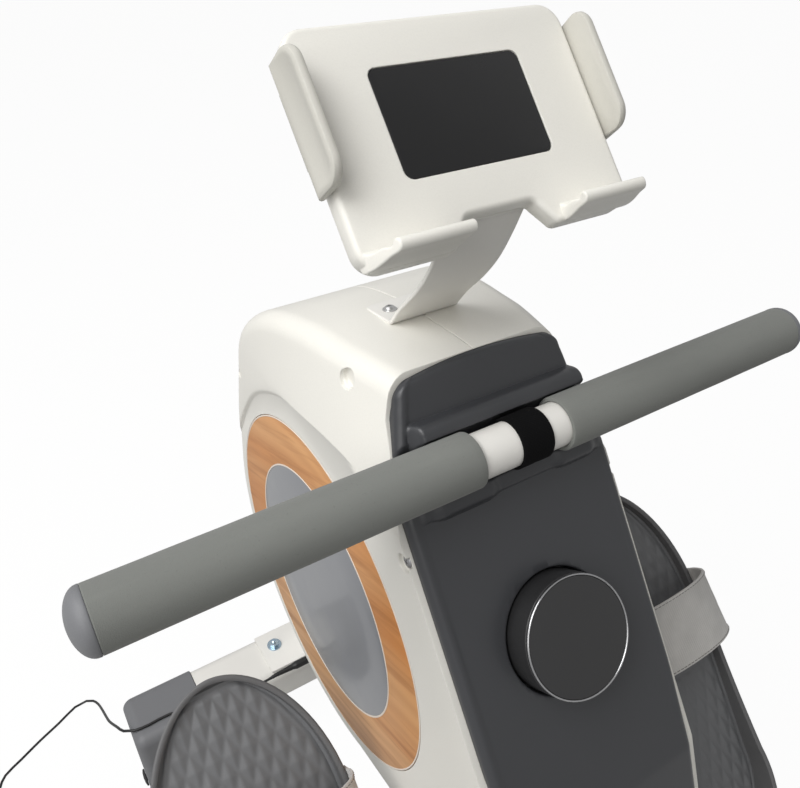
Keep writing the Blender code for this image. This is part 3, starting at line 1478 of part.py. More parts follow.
def footplate(parent, side, sign, looks):
    axis = mount(f"footplate_axis_{side}", parent, (sign * FOOT_X, SHAFT_Y, SHAFT_Z))
    toe = Vector((FOOT_TOE_Y - SHAFT_Y, FOOT_TOE_Z - SHAFT_Z))
    frame = mount(f"footplate_frame_{side}", axis, (0, *toe), 90 - FOOT_LEAN)
    outline = foot_outline()
    rim_heights = []
    for _, v in outline:
        share = min(1.0, max(0.0, (-v - 0.16) / (FOOT_LENGTH - 0.16)))
        rim_heights.append(FOOT_RIM_TOE + (FOOT_RIM_HEEL - FOOT_RIM_TOE) * share**1.6)
    narrowed = inset(outline, [FOOT_RIM_W] * len(outline))
    spread = inset(outline, [-FOOT_RIM_SPREAD] * len(outline))
    loops = [
        [(x, v, -FOOT_T) for x, v in inset(outline, [0.004] * len(outline))],
        [(x, v, -FOOT_T + 0.003) for x, v in outline],
        [(x, v, h - 0.0012) for (x, v), h in zip(spread, rim_heights)],
        [(x, v, h) for (x, v), h in zip(inset(spread, [0.0016] * len(outline)), rim_heights)],
        [(x, v, h - 0.0008) for (x, v), h in zip(narrowed, rim_heights)],
        [(x, v, 0.0) for x, v in inset(narrowed, [0.0012] * len(outline))],
    ]
    plate = loft(loops)
    lean = math.radians(FOOT_LEAN)
    shaft_v = toe.x * -math.sin(lean) + toe.y * -math.cos(lean)
    shaft_n = toe.x * math.cos(lean) - toe.y * math.sin(lean)
    hub = moved(rod(HUB_R, -HUB_HALF, HUB_HALF), (0, shaft_v, shaft_n))
    ribs = []
    for x in (-RIB_X, RIB_X):
        web = [
            (shaft_v - HUB_R * 0.8, shaft_n),
            (shaft_v + HUB_R * 0.8, shaft_n),
            (shaft_v + 0.050, -0.002),
            (shaft_v - 0.050, -0.002),
        ]
        ribs.append(prism(web, x - RIB_T / 2, x + RIB_T / 2))
    bore = moved(rod(SHAFT_R + SEAT_GAP, -HUB_HALF - 0.01, HUB_HALF + 0.01), (0, shaft_v, shaft_n))
    piece(f"footplate_{side}", cut(joined(plate, hub, *ribs), bore), looks["pedal"], frame)
    piece(f"foot_strap_{side}", foot_band(), looks["strap_grey"], frame)


def foot_band():
    """A webbing strap over the foot: an arch from one side of the plate to the other."""
    reach = FOOT_HALF + FOOT_RIM_SPREAD + SEAT_GAP + BAND_T / 2
    right = [
        (reach * 0.52, BAND_HEIGHT - 0.0045),
        (reach - 0.0080, BAND_HEIGHT - 0.0190),
        (reach, FOOT_RIM_TOE + 0.0080),
        (reach, FOOT_RIM_TOE - 0.0020),
        (reach, -FOOT_T + 0.0010),
    ]
    knots = [(-across, height) for across, height in right[::-1]] + [(0.0, BAND_HEIGHT)] + right
    line = smooth_curve([Vector((a, b, 0)) for a, b in knots], 0.013)
    mesh = ribbon([(p[0], p[1]) for p in line], BAND_T, BAND_BOTTOM, BAND_TOP)
    turn = Matrix(((0, 1, 0, 0), (1, 0, 0, 0), (0, 0, 1, 0), (0, 0, 0, 1)))
    mesh.transform(turn)
    mesh.flip_normals()
    return mesh


def pedal_shaft(parent, steel):
    hub_start = FOOT_X - HUB_HALF
    hub_end = FOOT_X + HUB_HALF
    outer = hub_end + SEAT_GAP
    inner = hub_start - SEAT_GAP
    half = [
        (SHAFT_R, inner - SHAFT_FLANGE_T),
        (SHAFT_FLANGE_R, inner - SHAFT_FLANGE_T),
        (SHAFT_FLANGE_R, inner),
        (SHAFT_R, inner),
        (SHAFT_R, outer),
        (SHAFT_FLANGE_R, outer),
        (SHAFT_FLANGE_R, outer + SHAFT_FLANGE_T),
        (0, outer + SHAFT_FLANGE_T),
    ]
    profile = [(radius, -x) for radius, x in reversed(half)] + half
    piece("pedal_shaft", moved(turned(profile, 12), (0, SHAFT_Y, SHAFT_Z)), steel, parent)


# Rail
def rail_outline():
    """Section of the extruded rail: a box with a shallow groove along each side."""
    w = RAIL_W / 2
    h = RAIL_H / 2
    g = RAIL_GROOVE_H / 2
    c = 0.002
    d = RAIL_GROOVE
    right = [
        (w - c, -h),
        (w, -h + c),
        (w, -g - d / 2),
        (w - d, -g),
        (w - d, g),
        (w, g + d / 2),
        (w, h - c),
        (w - c, h),
    ]
    return right + [(-x, z) for x, z in reversed(right)]


def rail_pieces(parent, looks):
    axis = mount("rail_axis", parent, (0, HINGE_Y, HINGE_Z))
    start = RAIL_START - HINGE_Y
    end = RAIL_END - HINGE_Y
    bore_x = RAIL_W / 2 - RAIL_GROOVE - RAIL_WALL
    bore_z = RAIL_H / 2 - RAIL_WALL
    bore = box((-bore_x, bore_x), (end - 0.01, start + 0.01), (-bore_z, bore_z))
    piece("rail", cut(prism(rail_outline(), end, start, "Y"), bore), looks["aluminium"], axis)
    half = RAIL_SIDE
    back = start + SEAT_GAP
    head = arc((0, 0), KNUCKLE_R, -90, 90, 8) + [(back, KNUCKLE_R), (back, -KNUCKLE_R)]
    tongue = box(
        (-bore_x + SEAT_GAP, bore_x - SEAT_GAP),
        (start - TONGUE, start + SEAT_GAP + 0.002),
        (-bore_z + SEAT_GAP, bore_z - SEAT_GAP),
    )
    hole = rod(BOLT_R + SEAT_GAP, -half - 0.01, half + 0.01)
    piece("rail_knuckle", cut(joined(prism(head, -half, half), tongue), hole), looks["ivory"], axis)
    rear_leg(axis, end, (bore_x, bore_z), looks)


def rear_leg(parent, end, bore, looks):
    """The rail's end plate, the leg and its cross tube, with a moulded foot at each end."""
    plate_y = end - SEAT_GAP
    leg_back = plate_y - REAR_PLATE_T - REAR_LEG_W + 0.001
    low = REAR_TUBE_Z - HINGE_Z
    half = REAR_LEG_W / 2
    plate = box((-RAIL_SIDE, RAIL_SIDE), (plate_y - REAR_PLATE_T, plate_y), (-RAIL_H / 2, RAIL_H / 2))
    plug = box(
        (-bore[0] + SEAT_GAP, bore[0] - SEAT_GAP),
        (plate_y - 0.001, plate_y + 0.030),
        (-bore[1] + SEAT_GAP, bore[1] - SEAT_GAP),
    )
    leg = box((-half, half), (leg_back, plate_y - REAR_PLATE_T + 0.001), (low + 0.004, RAIL_H / 2 - 0.006))
    centre = REAR_Y - HINGE_Y
    tube = prism(
        rounded_rectangle(
            (centre - REAR_TUBE_W / 2, centre + REAR_TUBE_W / 2), (low, low + REAR_TUBE_H), 0.008, 2
        ),
        -REAR_TUBE_HALF,
        REAR_TUBE_HALF,
    )
    piece("rear_leg", joined(plate, plug, leg, tube), looks["ivory"], parent)
    for side, sign in SIDES:
        top = REAR_TUBE_Z + REAR_TUBE_H + REAR_CAP_OVERHANG
        half_width = REAR_TUBE_W / 2 + REAR_CAP_OVERHANG
        foot = shoe_body(REAR_TUBE_HALF - 0.020, REAR_TUBE_HALF + REAR_CAP_L, half_width, REAR_Y, top, 0.009)
        grow = SEAT_GAP
        socket = prism(
            rounded_rectangle(
                (REAR_Y - REAR_TUBE_W / 2 - grow, REAR_Y + REAR_TUBE_W / 2 + grow),
                (REAR_TUBE_Z - grow, REAR_TUBE_Z + REAR_TUBE_H + grow),
                0.008,
                2,
            ),
            REAR_TUBE_HALF - 0.03,
            REAR_TUBE_HALF + SEAT_GAP,
        )
        mesh = moved(cut(foot, socket), (0, -HINGE_Y, -HINGE_Z))
        piece(f"rear_cap_{side}", mirror_x(mesh, sign), looks["cap_grey"], parent)


def hinge_bolt(parent, steel):
    ear_face = RAIL_SIDE + SEAT_GAP + EAR_T + SEAT_GAP
    profile = [
        (0, -ear_face - BOLT_HEAD_T),
        (BOLT_HEAD_R, -ear_face - BOLT_HEAD_T),
        (BOLT_HEAD_R, -ear_face),
        (BOLT_R, -ear_face),
        (BOLT_R, ear_face + BOLT_TAIL),
        (0, ear_face + BOLT_TAIL),
    ]
    piece("hinge_bolt", moved(turned(profile, 16), (0, HINGE_Y, HINGE_Z)), steel, parent)


def fold_knob(parent, plastic):
    """A star knob that clamps the hinge ears."""
    start = RAIL_SIDE + SEAT_GAP + EAR_T + SEAT_GAP
    axis = mount("fold_knob_axis", parent, (start, HINGE_Y, HINGE_Z))
    loops = []
    for x, scale in ((0.0, 0.62), (0.006, 0.62), (0.009, 1.0), (STAR_T - 0.003, 1.0), (STAR_T, 0.90)):
        loop = []
        for k in range(STAR_LOBES * 4):
            angle = math.tau * k / (STAR_LOBES * 4)
            radius = (STAR_R - STAR_LOBE + STAR_LOBE * math.cos(STAR_LOBES * angle)) * scale
            loop.append((x, radius * math.cos(angle), radius * math.sin(angle)))
        loops.append(loop)
    bore = rod(BOLT_R + SEAT_GAP, -0.005, BOLT_TAIL + SEAT_GAP)
    piece("fold_knob", cut(loft(loops), bore), plastic, axis)


# Seat
def roller_profile(radius, groove):
    """Half of a roller on its axle, mirrored to both sides; the groove leaves two wheels on it."""
    reach = CHEEK_X + CHEEK_T
    half = [(radius, ROLLER_OUT), (ROLLER_AXLE_R, ROLLER_OUT), (ROLLER_AXLE_R, reach), (0, reach)]
    if groove:
        half = [(ROLLER_AXLE_R + 0.003, ROLLER_IN), (radius, ROLLER_IN)] + half
    return [(r, -x) for r, x in reversed(half)] + half


def seat_pieces(parent, looks):
    """The carriage, its rollers and the cushion, on an empty at the rail's top."""
    axis = mount("seat_place", parent, (0, SEAT_Y - HINGE_Y, RAIL_H / 2))
    roller_z = SEAT_GAP + ROLLER_R
    lower_z = -RAIL_H - SEAT_GAP - LOWER_ROLLER_R
    plate_low = roller_z + ROLLER_R + 0.0025
    plate_high = plate_low + CHEEK_T
    outer = CHEEK_X + CHEEK_T
    plate = box((-outer, outer), (-CARRIAGE_HALF_Y, CARRIAGE_HALF_Y), (plate_low, plate_high))
    wing_half_y = CARRIAGE_HALF_Y - 0.015
    wing = box(
        (-WING_HALF_X, WING_HALF_X), (-wing_half_y, wing_half_y), (plate_high - 0.001, plate_high + WING_T)
    )
    cheek_outline = [
        (-0.030, lower_z - 0.010),
        (0.030, lower_z - 0.010),
        (CARRIAGE_HALF_Y - 0.018, roller_z - 0.014),
        (CARRIAGE_HALF_Y, plate_high - 0.0005),
        (-CARRIAGE_HALF_Y, plate_high - 0.0005),
        (-CARRIAGE_HALF_Y + 0.018, roller_z - 0.014),
    ]
    cheeks = [prism(cheek_outline, *sorted((sign * CHEEK_X, sign * (outer - 0.0002)))) for sign in (-1, 1)]
    axle_places = ((ROLLER_SPREAD, roller_z), (-ROLLER_SPREAD, roller_z), (0.0, lower_z))
    holes = [moved(rod(ROLLER_AXLE_R + SEAT_GAP, -0.06, 0.06, 12), (0, *spot)) for spot in axle_places]
    piece("seat_carriage", cut(joined(plate, wing, *cheeks), *holes), looks["frame_grey"], axis)
    radii = (ROLLER_R, ROLLER_R, LOWER_ROLLER_R)
    names = ("roller_front", "roller_rear", "lower_roller")
    for name, radius, spot in zip(names, radii, axle_places):
        hub = mount(f"{name}_axis", axis, (0, *spot))
        piece(name, turned(roller_profile(radius, radius == ROLLER_R), 12), looks["rubber"], hub)
    base = plate_high + WING_T + SEAT_GAP
    cushion(axis, base, SEAT_TOP - RAIL_TOP, looks["vinyl"])


def cushion(parent, low, high, vinyl):
    """The seat: a superellipse plan, drawn-in sides and a crown that dips across its middle."""
    count = 28
    plan = []
    for k in range(count):
        angle = math.tau * k / count
        c = math.cos(angle)
        s = math.sin(angle)
        x = SEAT_HALF_X * math.copysign(abs(c) ** 0.62, c)
        y = SEAT_HALF_Y * math.copysign(abs(s) ** 0.62, s)
        plan.append((x, y))
    height = high - low
    rings = (
        (0.0, 0.90),
        (0.10, 0.955),
        (0.35, 0.985),
        (0.60, 1.0),
        (0.80, 0.985),
        (0.92, 0.94),
        (0.98, 0.86),
        (1.0, 0.72),
        (1.0, 0.48),
        (1.0, 0.22),
    )
    loops = []
    for share, scale in rings:
        loop = []
        for x, y in plan:
            shaping = 0.0
            if share > 0.9:
                dip = 0.45 * (1 - (scale * x / SEAT_HALF_X) ** 2)
                rear = 0.5 * max(0.0, -scale * y / SEAT_HALF_Y) ** 2
                shaping = SEAT_CROWN * (rear - dip)
            loop.append((x * scale, y * scale, low + (height - SEAT_CROWN * 0.5) * share + shaping))
        loops.append(loop)
    piece("seat_cushion", loft(loops), vinyl, parent)


# Power lead
def coil_points():
    """Piled loops: a spiral in on the floor, a climb where it reverses, a spiral out on top."""
    steps = round(COIL_TURNS * COIL_STEPS)
    low = CORD_R + SEAT_GAP
    lift = COIL_PITCH
    middle = COIL_TURNS / 2
    points = [(COIL_X + COIL_R, COIL_Y + 2 * CORD_R, low)]
    for k in range(steps + 1):
        turns = COIL_TURNS * k / steps
        angle = -math.tau * turns
        away = abs(turns - middle)
        radius = COIL_R - COIL_PITCH * (middle - math.sqrt(away * away + 0.01))
        climb = min(1.0, max(0.0, (turns - middle) / 0.5 + 0.5))
        z = low + lift * climb * climb * (3 - 2 * climb)
        points.append((COIL_X + radius * math.cos(angle), COIL_Y + radius * math.sin(angle), z))
    last = points[-1]
    heading = math.tau * COIL_TURNS + math.pi / 2
    exit_way = (-math.cos(heading - math.pi), math.sin(heading - math.pi))
    for share in (0.1, 0.4, 0.7, 1.0):
        reach = COIL_EXIT * share
        points.append((last[0] + exit_way[0] * reach, last[1] + exit_way[1] * reach, last[2]))
    return points


def least_gap(points, radius, apart):
    """The least distance between a tube's surface and itself, for points more than apart places away."""
    least = 1.0
    track = [Vector(point) for point in points]
    for k in range(len(track) - 1):
        for m in range(k + apart, len(track) - 1):
            start, end = track[m], track[m + 1]
            along = (end - start).normalized()
            share = max(0.0, min((end - start).length, (track[k] - start).dot(along)))
            least = min(least, (track[k] - start - along * share).length)
    return least - 2 * radius


def cord_route():
    """The free stretch, from the plug over the left end cap to the floor and on to the coil."""
    top = STAB_TOP + CORD_R + SEAT_GAP
    floor = CORD_R + SEAT_GAP
    start = PLUG_END_X - SEAT_GAP
    return [
        (start, PLUG_Y, PLUG_Z),
        (start - 0.004, PLUG_Y, PLUG_Z),
        (-0.105, 0.1545, 0.1235),
        (-0.140, 0.1580, 0.1195),
        (-0.175, 0.1680, top + 0.0006),
        (-0.2057, 0.1780, top),
        (-0.2297, 0.1774, top),
        (-0.2460, 0.1790, top + 0.0002),
        (-0.2564, 0.1862, 0.1150),
        (-0.2616, 0.2029, 0.1040),
        (-0.2677, 0.2300, 0.0820),
        (-0.2703, 0.2550, 0.0600),
        (-0.2730, 0.2854, 0.0360),
        (-0.2763, 0.3131, 0.0150),
        (-0.2812, 0.3290, 0.0050),
        (-0.2890, 0.3360, floor),
        (-0.3040, 0.3347, floor),
        (-0.3269, 0.3221, floor),
        (-0.3522, 0.3098, floor),
        (-0.3769, 0.2961, floor),
        (-0.3972, 0.2847, floor),
        (-0.4060, 0.2700, floor),
        (-0.4140, 0.2450, floor),
        (COIL_X + COIL_R, COIL_Y + 2 * CORD_R + 0.006, floor),
        (COIL_X + COIL_R, COIL_Y + 2 * CORD_R + SEAT_GAP, floor),
    ]


def power_lead(parent, black):
    socket_face = -POST_HALF - SEAT_GAP
    socket_profile = [
        (0, socket_face),
        (SOCKET_R, socket_face),
        (SOCKET_R, socket_face - 0.003),
        (SOCKET_R - 0.002, socket_face - SOCKET_T),
        (PLUG_TIP_R + SEAT_GAP, socket_face - SOCKET_T),
        (PLUG_TIP_R + SEAT_GAP, socket_face - 0.0010),
        (0, socket_face - 0.0010),
    ]
    place = (0, PLUG_Y, PLUG_Z)
    piece("dc_socket", moved(turned(socket_profile, 14), place), black, parent)
    tip = socket_face - 0.0014
    shoulder = socket_face - SOCKET_T - SEAT_GAP
    plug_profile = [
        (0, tip),
        (PLUG_TIP_R, tip),
        (PLUG_TIP_R, shoulder),
        (PLUG_BODY_R, shoulder),
        (PLUG_BODY_R, shoulder - 0.020),
        (PLUG_BODY_R - 0.0012, shoulder - 0.024),
        (CORD_R + 0.0010, PLUG_END_X),
        (0, PLUG_END_X),
    ]
    piece("dc_plug", moved(turned(plug_profile, 14), place), black, parent)
    route = smooth_curve(cord_route(), 0.0105)
    lead("power_cord", route, CORD_R, 2, black, parent)
    loops = coil_points()
    lead("cord_coil", loops, CORD_R, 1, black, parent)
    print(f"least gap of the coil to itself: {least_gap(loops, CORD_R, 12) * 1000:.2f} mm")
    adapter(parent, loops[-1], black)


def adapter(parent, cord_end, black):
    """The mains adapter, lying beside the coil with its cord outlet toward it."""
    x, y, z = cord_end
    face = x - SEAT_GAP
    boss = 0.006
    outline = rounded_rectangle((y - ADAPTER_W / 2, y + ADAPTER_W / 2), (SEAT_GAP, ADAPTER_H), 0.005, 2)
    body = prism(outline, face - boss - ADAPTER_L, face - boss)
    outlet = moved(
        turned([(0, face - boss - 0.001), (0.0038, face - boss - 0.001), (0.0026, face), (0, face)], 12), (0, y, z)
    )
    pins = []
    for shift in (-0.0095, 0.0095):
        pins.append(
            moved(
                rod(0.0020, face - boss - ADAPTER_L - 0.018, face - boss - ADAPTER_L + 0.001, 10),
                (0, y + shift, ADAPTER_H / 2),
            )
        )
    piece("adapter", joined(body, outlet, *pins), black, parent)


def build():
    for leftover in list(bpy.data.objects):
        bpy.data.objects.remove(leftover)
    looks = {
        "ivory": finish("ivory", (0.78, 0.77, 0.73), 0.35),
        "cream": finish("cream", (0.75, 0.73, 0.66), 0.40),
        "charcoal": finish("charcoal", (0.070, 0.073, 0.083), 0.38),
        "foam": finish("foam", (0.21, 0.22, 0.20), 0.85),
        "cap_grey": finish("cap_grey", (0.20, 0.205, 0.215), 0.50),
        "wood": finish("wood", (0.52, 0.21, 0.06), 0.45),
        "disc_grey": finish("disc_grey", (0.25, 0.26, 0.28), 0.30),
        "knob_black": finish("knob_black", (0.045, 0.045, 0.047), 0.35),
        "chrome": finish("chrome", (0.75, 0.75, 0.76), 0.12, 1.0),
        "screen": finish("screen", (0.018, 0.018, 0.018), 0.20),
        "pedal": finish("pedal", (0.12, 0.12, 0.125), 0.60),
        "strap_grey": finish("strap_grey", (0.33, 0.32, 0.31), 0.90),
        "webbing": finish("webbing", (0.012, 0.012, 0.012), 0.85),
        "black": finish("black", (0.015, 0.015, 0.015), 0.50),
        "rubber": finish("rubber", (0.02, 0.02, 0.02), 0.70),
        "steel": finish("steel", (0.55, 0.55, 0.56), 0.30, 1.0),
        "iron": finish("iron", (0.16, 0.16, 0.17), 0.50, 0.8),
        "aluminium": finish("aluminium", (0.70, 0.71, 0.72), 0.30, 1.0),
        "frame_grey": finish("frame_grey", (0.10, 0.10, 0.11), 0.45),
        "vinyl": finish("vinyl", (0.030, 0.030, 0.032), 0.55),
    }
    machine = mount("machine", None, (0, -MIDDLE_Y, 0))
    front_stabilizer(machine, looks["ivory"])
    main_frame(machine, looks["ivory"])
    middle_foot(machine, looks["rubber"])
    drive_axle(machine, looks["steel"])
    flywheel(machine, looks["iron"], looks["steel"])
    strap_drum(machine, looks["black"], looks["steel"])
    recoil_spring(machine, looks["steel"])
    strap_and_guide(machine, looks["webbing"], looks["black"])
    magnet_arm(machine, looks["steel"])
    tension_cable(machine, looks["black"])
    face_cover(machine, looks["charcoal"])
    tension_knob(machine, looks["knob_black"], looks["chrome"])
    for side, sign in SIDES:
        front_cap(machine, side, sign, looks["cap_grey"])
        transport_wheel(machine, side, sign, looks["rubber"])
        shell(machine, side, sign, looks["ivory"])
        ring_and_disc(machine, side, sign, looks["wood"], looks["disc_grey"])
        footplate(machine, side, sign, looks)
    pull_handle(machine, looks)
    tablet_holder(machine, looks)
    tablet_bracket(machine, looks["ivory"])
    pedal_shaft(machine, looks["steel"])
    rail_pieces(machine, looks)
    hinge_bolt(machine, looks["steel"])
    fold_knob(machine, looks["black"])
    seat_pieces(bpy.data.objects["rail_axis"], looks)
    power_lead(machine, looks["black"])


build()
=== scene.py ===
"""Looks of the folding rowing machine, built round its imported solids.

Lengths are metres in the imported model's own frame: +Z up, +Y away from the rower, +X to their right.
Sub-assemblies measure along Y from the drive axle, as the part's source does, and AXLE_Y shifts them.
"""

import logging
from dataclasses import dataclass
from enum import Enum
from itertools import takewhile
from math import cos, exp, pi, radians, sin, sqrt, tan, tau
from typing import Callable, Iterable, Sequence

import bmesh
import bpy
from mathutils import Matrix, Vector, noise
from mathutils.bvhtree import BVHTree


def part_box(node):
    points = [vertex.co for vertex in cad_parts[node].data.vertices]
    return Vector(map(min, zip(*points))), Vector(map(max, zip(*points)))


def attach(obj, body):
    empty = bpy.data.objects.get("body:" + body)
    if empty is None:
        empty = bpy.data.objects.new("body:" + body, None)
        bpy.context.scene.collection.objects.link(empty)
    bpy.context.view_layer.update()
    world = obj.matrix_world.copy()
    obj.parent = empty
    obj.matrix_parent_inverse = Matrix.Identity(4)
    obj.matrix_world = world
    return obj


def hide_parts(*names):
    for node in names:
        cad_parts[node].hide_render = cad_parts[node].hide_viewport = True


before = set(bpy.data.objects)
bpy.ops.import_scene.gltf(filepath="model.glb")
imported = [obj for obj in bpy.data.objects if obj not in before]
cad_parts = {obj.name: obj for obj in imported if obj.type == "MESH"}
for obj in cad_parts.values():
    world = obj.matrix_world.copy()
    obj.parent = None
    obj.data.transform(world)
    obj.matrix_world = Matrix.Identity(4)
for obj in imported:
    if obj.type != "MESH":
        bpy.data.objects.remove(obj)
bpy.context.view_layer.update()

LOG = logging.getLogger("rower")
Mesh = bpy.types.Mesh
Object = bpy.types.Object
Material = bpy.types.Material
Point = Sequence[float]
Flat = tuple[float, float]
Spot = tuple[float, float, float]
Outline = Sequence[Flat]
Table = tuple[Flat, ...]
Colour = Spot
Loop = list[Vector]

PHOTO_WIDTH = 800
WELD = 1e-6
SHARP_ANGLE = 38
AXLE_LOW, AXLE_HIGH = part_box("drive_axle")
AXLE_Y = (AXLE_LOW.y + AXLE_HIGH.y) / 2
AXLE_Z = (AXLE_LOW.z + AXLE_HIGH.z) / 2
SHIFT = Vector((0.0, AXLE_Y, 0.0))
IN_PLACE = Matrix.Identity(4)
HANDLE_Y = -0.1218
HANDLE_Z = 0.6345
GRIP_R = 0.0175


def srgb(red: int, green: int, blue: int) -> Colour:
    """Turn a colour as it looks on a screen into the linear values that a shader takes.

    Args:
        red: Red from 0 to 255.
        green: Green from 0 to 255.
        blue: Blue from 0 to 255.

    Returns:
        The same colour in linear light.
    """
    shares = (red / 255, green / 255, blue / 255)
    return tuple(c / 12.92 if c <= 0.04045 else ((c + 0.055) / 1.055) ** 2.4 for c in shares)


class Side(Enum):
    """A side of the machine, with its sign along X."""

    LEFT = -1
    RIGHT = 1

    def __str__(self) -> str:
        """The side's name, as it stands in the names of pieces."""
        return self.name.lower()


def clamp(value: float) -> float:
    """The value, kept from 0 to 1."""
    return min(1.0, max(0.0, value))


def ease(value: float) -> float:
    """A smooth step from 0 to 1."""
    share = clamp(value)
    return share * share * (3 - 2 * share)


def reading(table: Table, place: float) -> float:
    """Read a table of (place, value) pairs, with straight lines between them.

    Args:
        table: The pairs, by rising place.
        place: Where to read it.

    Returns:
        The value there, level past either end.
    """
    if place <= table[0][0]:
        return table[0][1]
    for (low, first), (high, second) in zip(table, table[1:]):
        if place <= high:
            return first + (second - first) * (place - low) / (high - low)
    return table[-1][1]


# Shader maths


class Sock:
    """One output of a node, which takes part in Python arithmetic."""

    def __init__(self, graph: "Graph", link: bpy.types.NodeSocket) -> None:
        """Hold a socket and the graph it belongs to."""
        self.graph = graph
        self.link = link

    def _with(self, operation: str, *values: "Sock | float") -> "Sock":
        """Add a Math node on these values."""
        return self.graph.node("ShaderNodeMath", {"operation": operation}, dict(enumerate(values)))

    def __add__(self, other: "Sock | float") -> "Sock":
        """Sum."""
        return self._with("ADD", self, other)

    def __radd__(self, other: float) -> "Sock":
        """Sum with a number first."""
        return self._with("ADD", other, self)

    def __sub__(self, other: "Sock | float") -> "Sock":
        """Difference."""
        return self._with("SUBTRACT", self, other)

    def __rsub__(self, other: float) -> "Sock":
        """Difference with a number first, as in 1 - mask."""
        return self._with("SUBTRACT", other, self)

    def __mul__(self, other: "Sock | float") -> "Sock":
        """Product."""
        return self._with("MULTIPLY", self, other)

    def __rmul__(self, other: float) -> "Sock":
        """Product with a number first."""
        return self._with("MULTIPLY", other, self)

    def wave(self) -> "Sock":
        """Sine of the value."""
        return self._with("SINE", self)

    def most(self, other: "Sock | float") -> "Sock":
        """The larger of two values."""
        return self._with("MAXIMUM", self, other)

    def span(self, low: float, high: float, to_low: float = 0.0, to_high: float = 1.0) -> "Sock":
        """Map the range from low to high smoothly onto another.

        Args:
            low: Value that becomes to_low.
            high: Value that becomes to_high.
            to_low: Result at and below low.
            to_high: Result at and above high.

        Returns:
            The mapped value.
        """
        inputs = {"Value": self, "From Min": low, "From Max": high, "To Min": to_low, "To Max": to_high}
        return self.graph.node("ShaderNodeMapRange", {"interpolation_type": "SMOOTHSTEP"}, inputs)


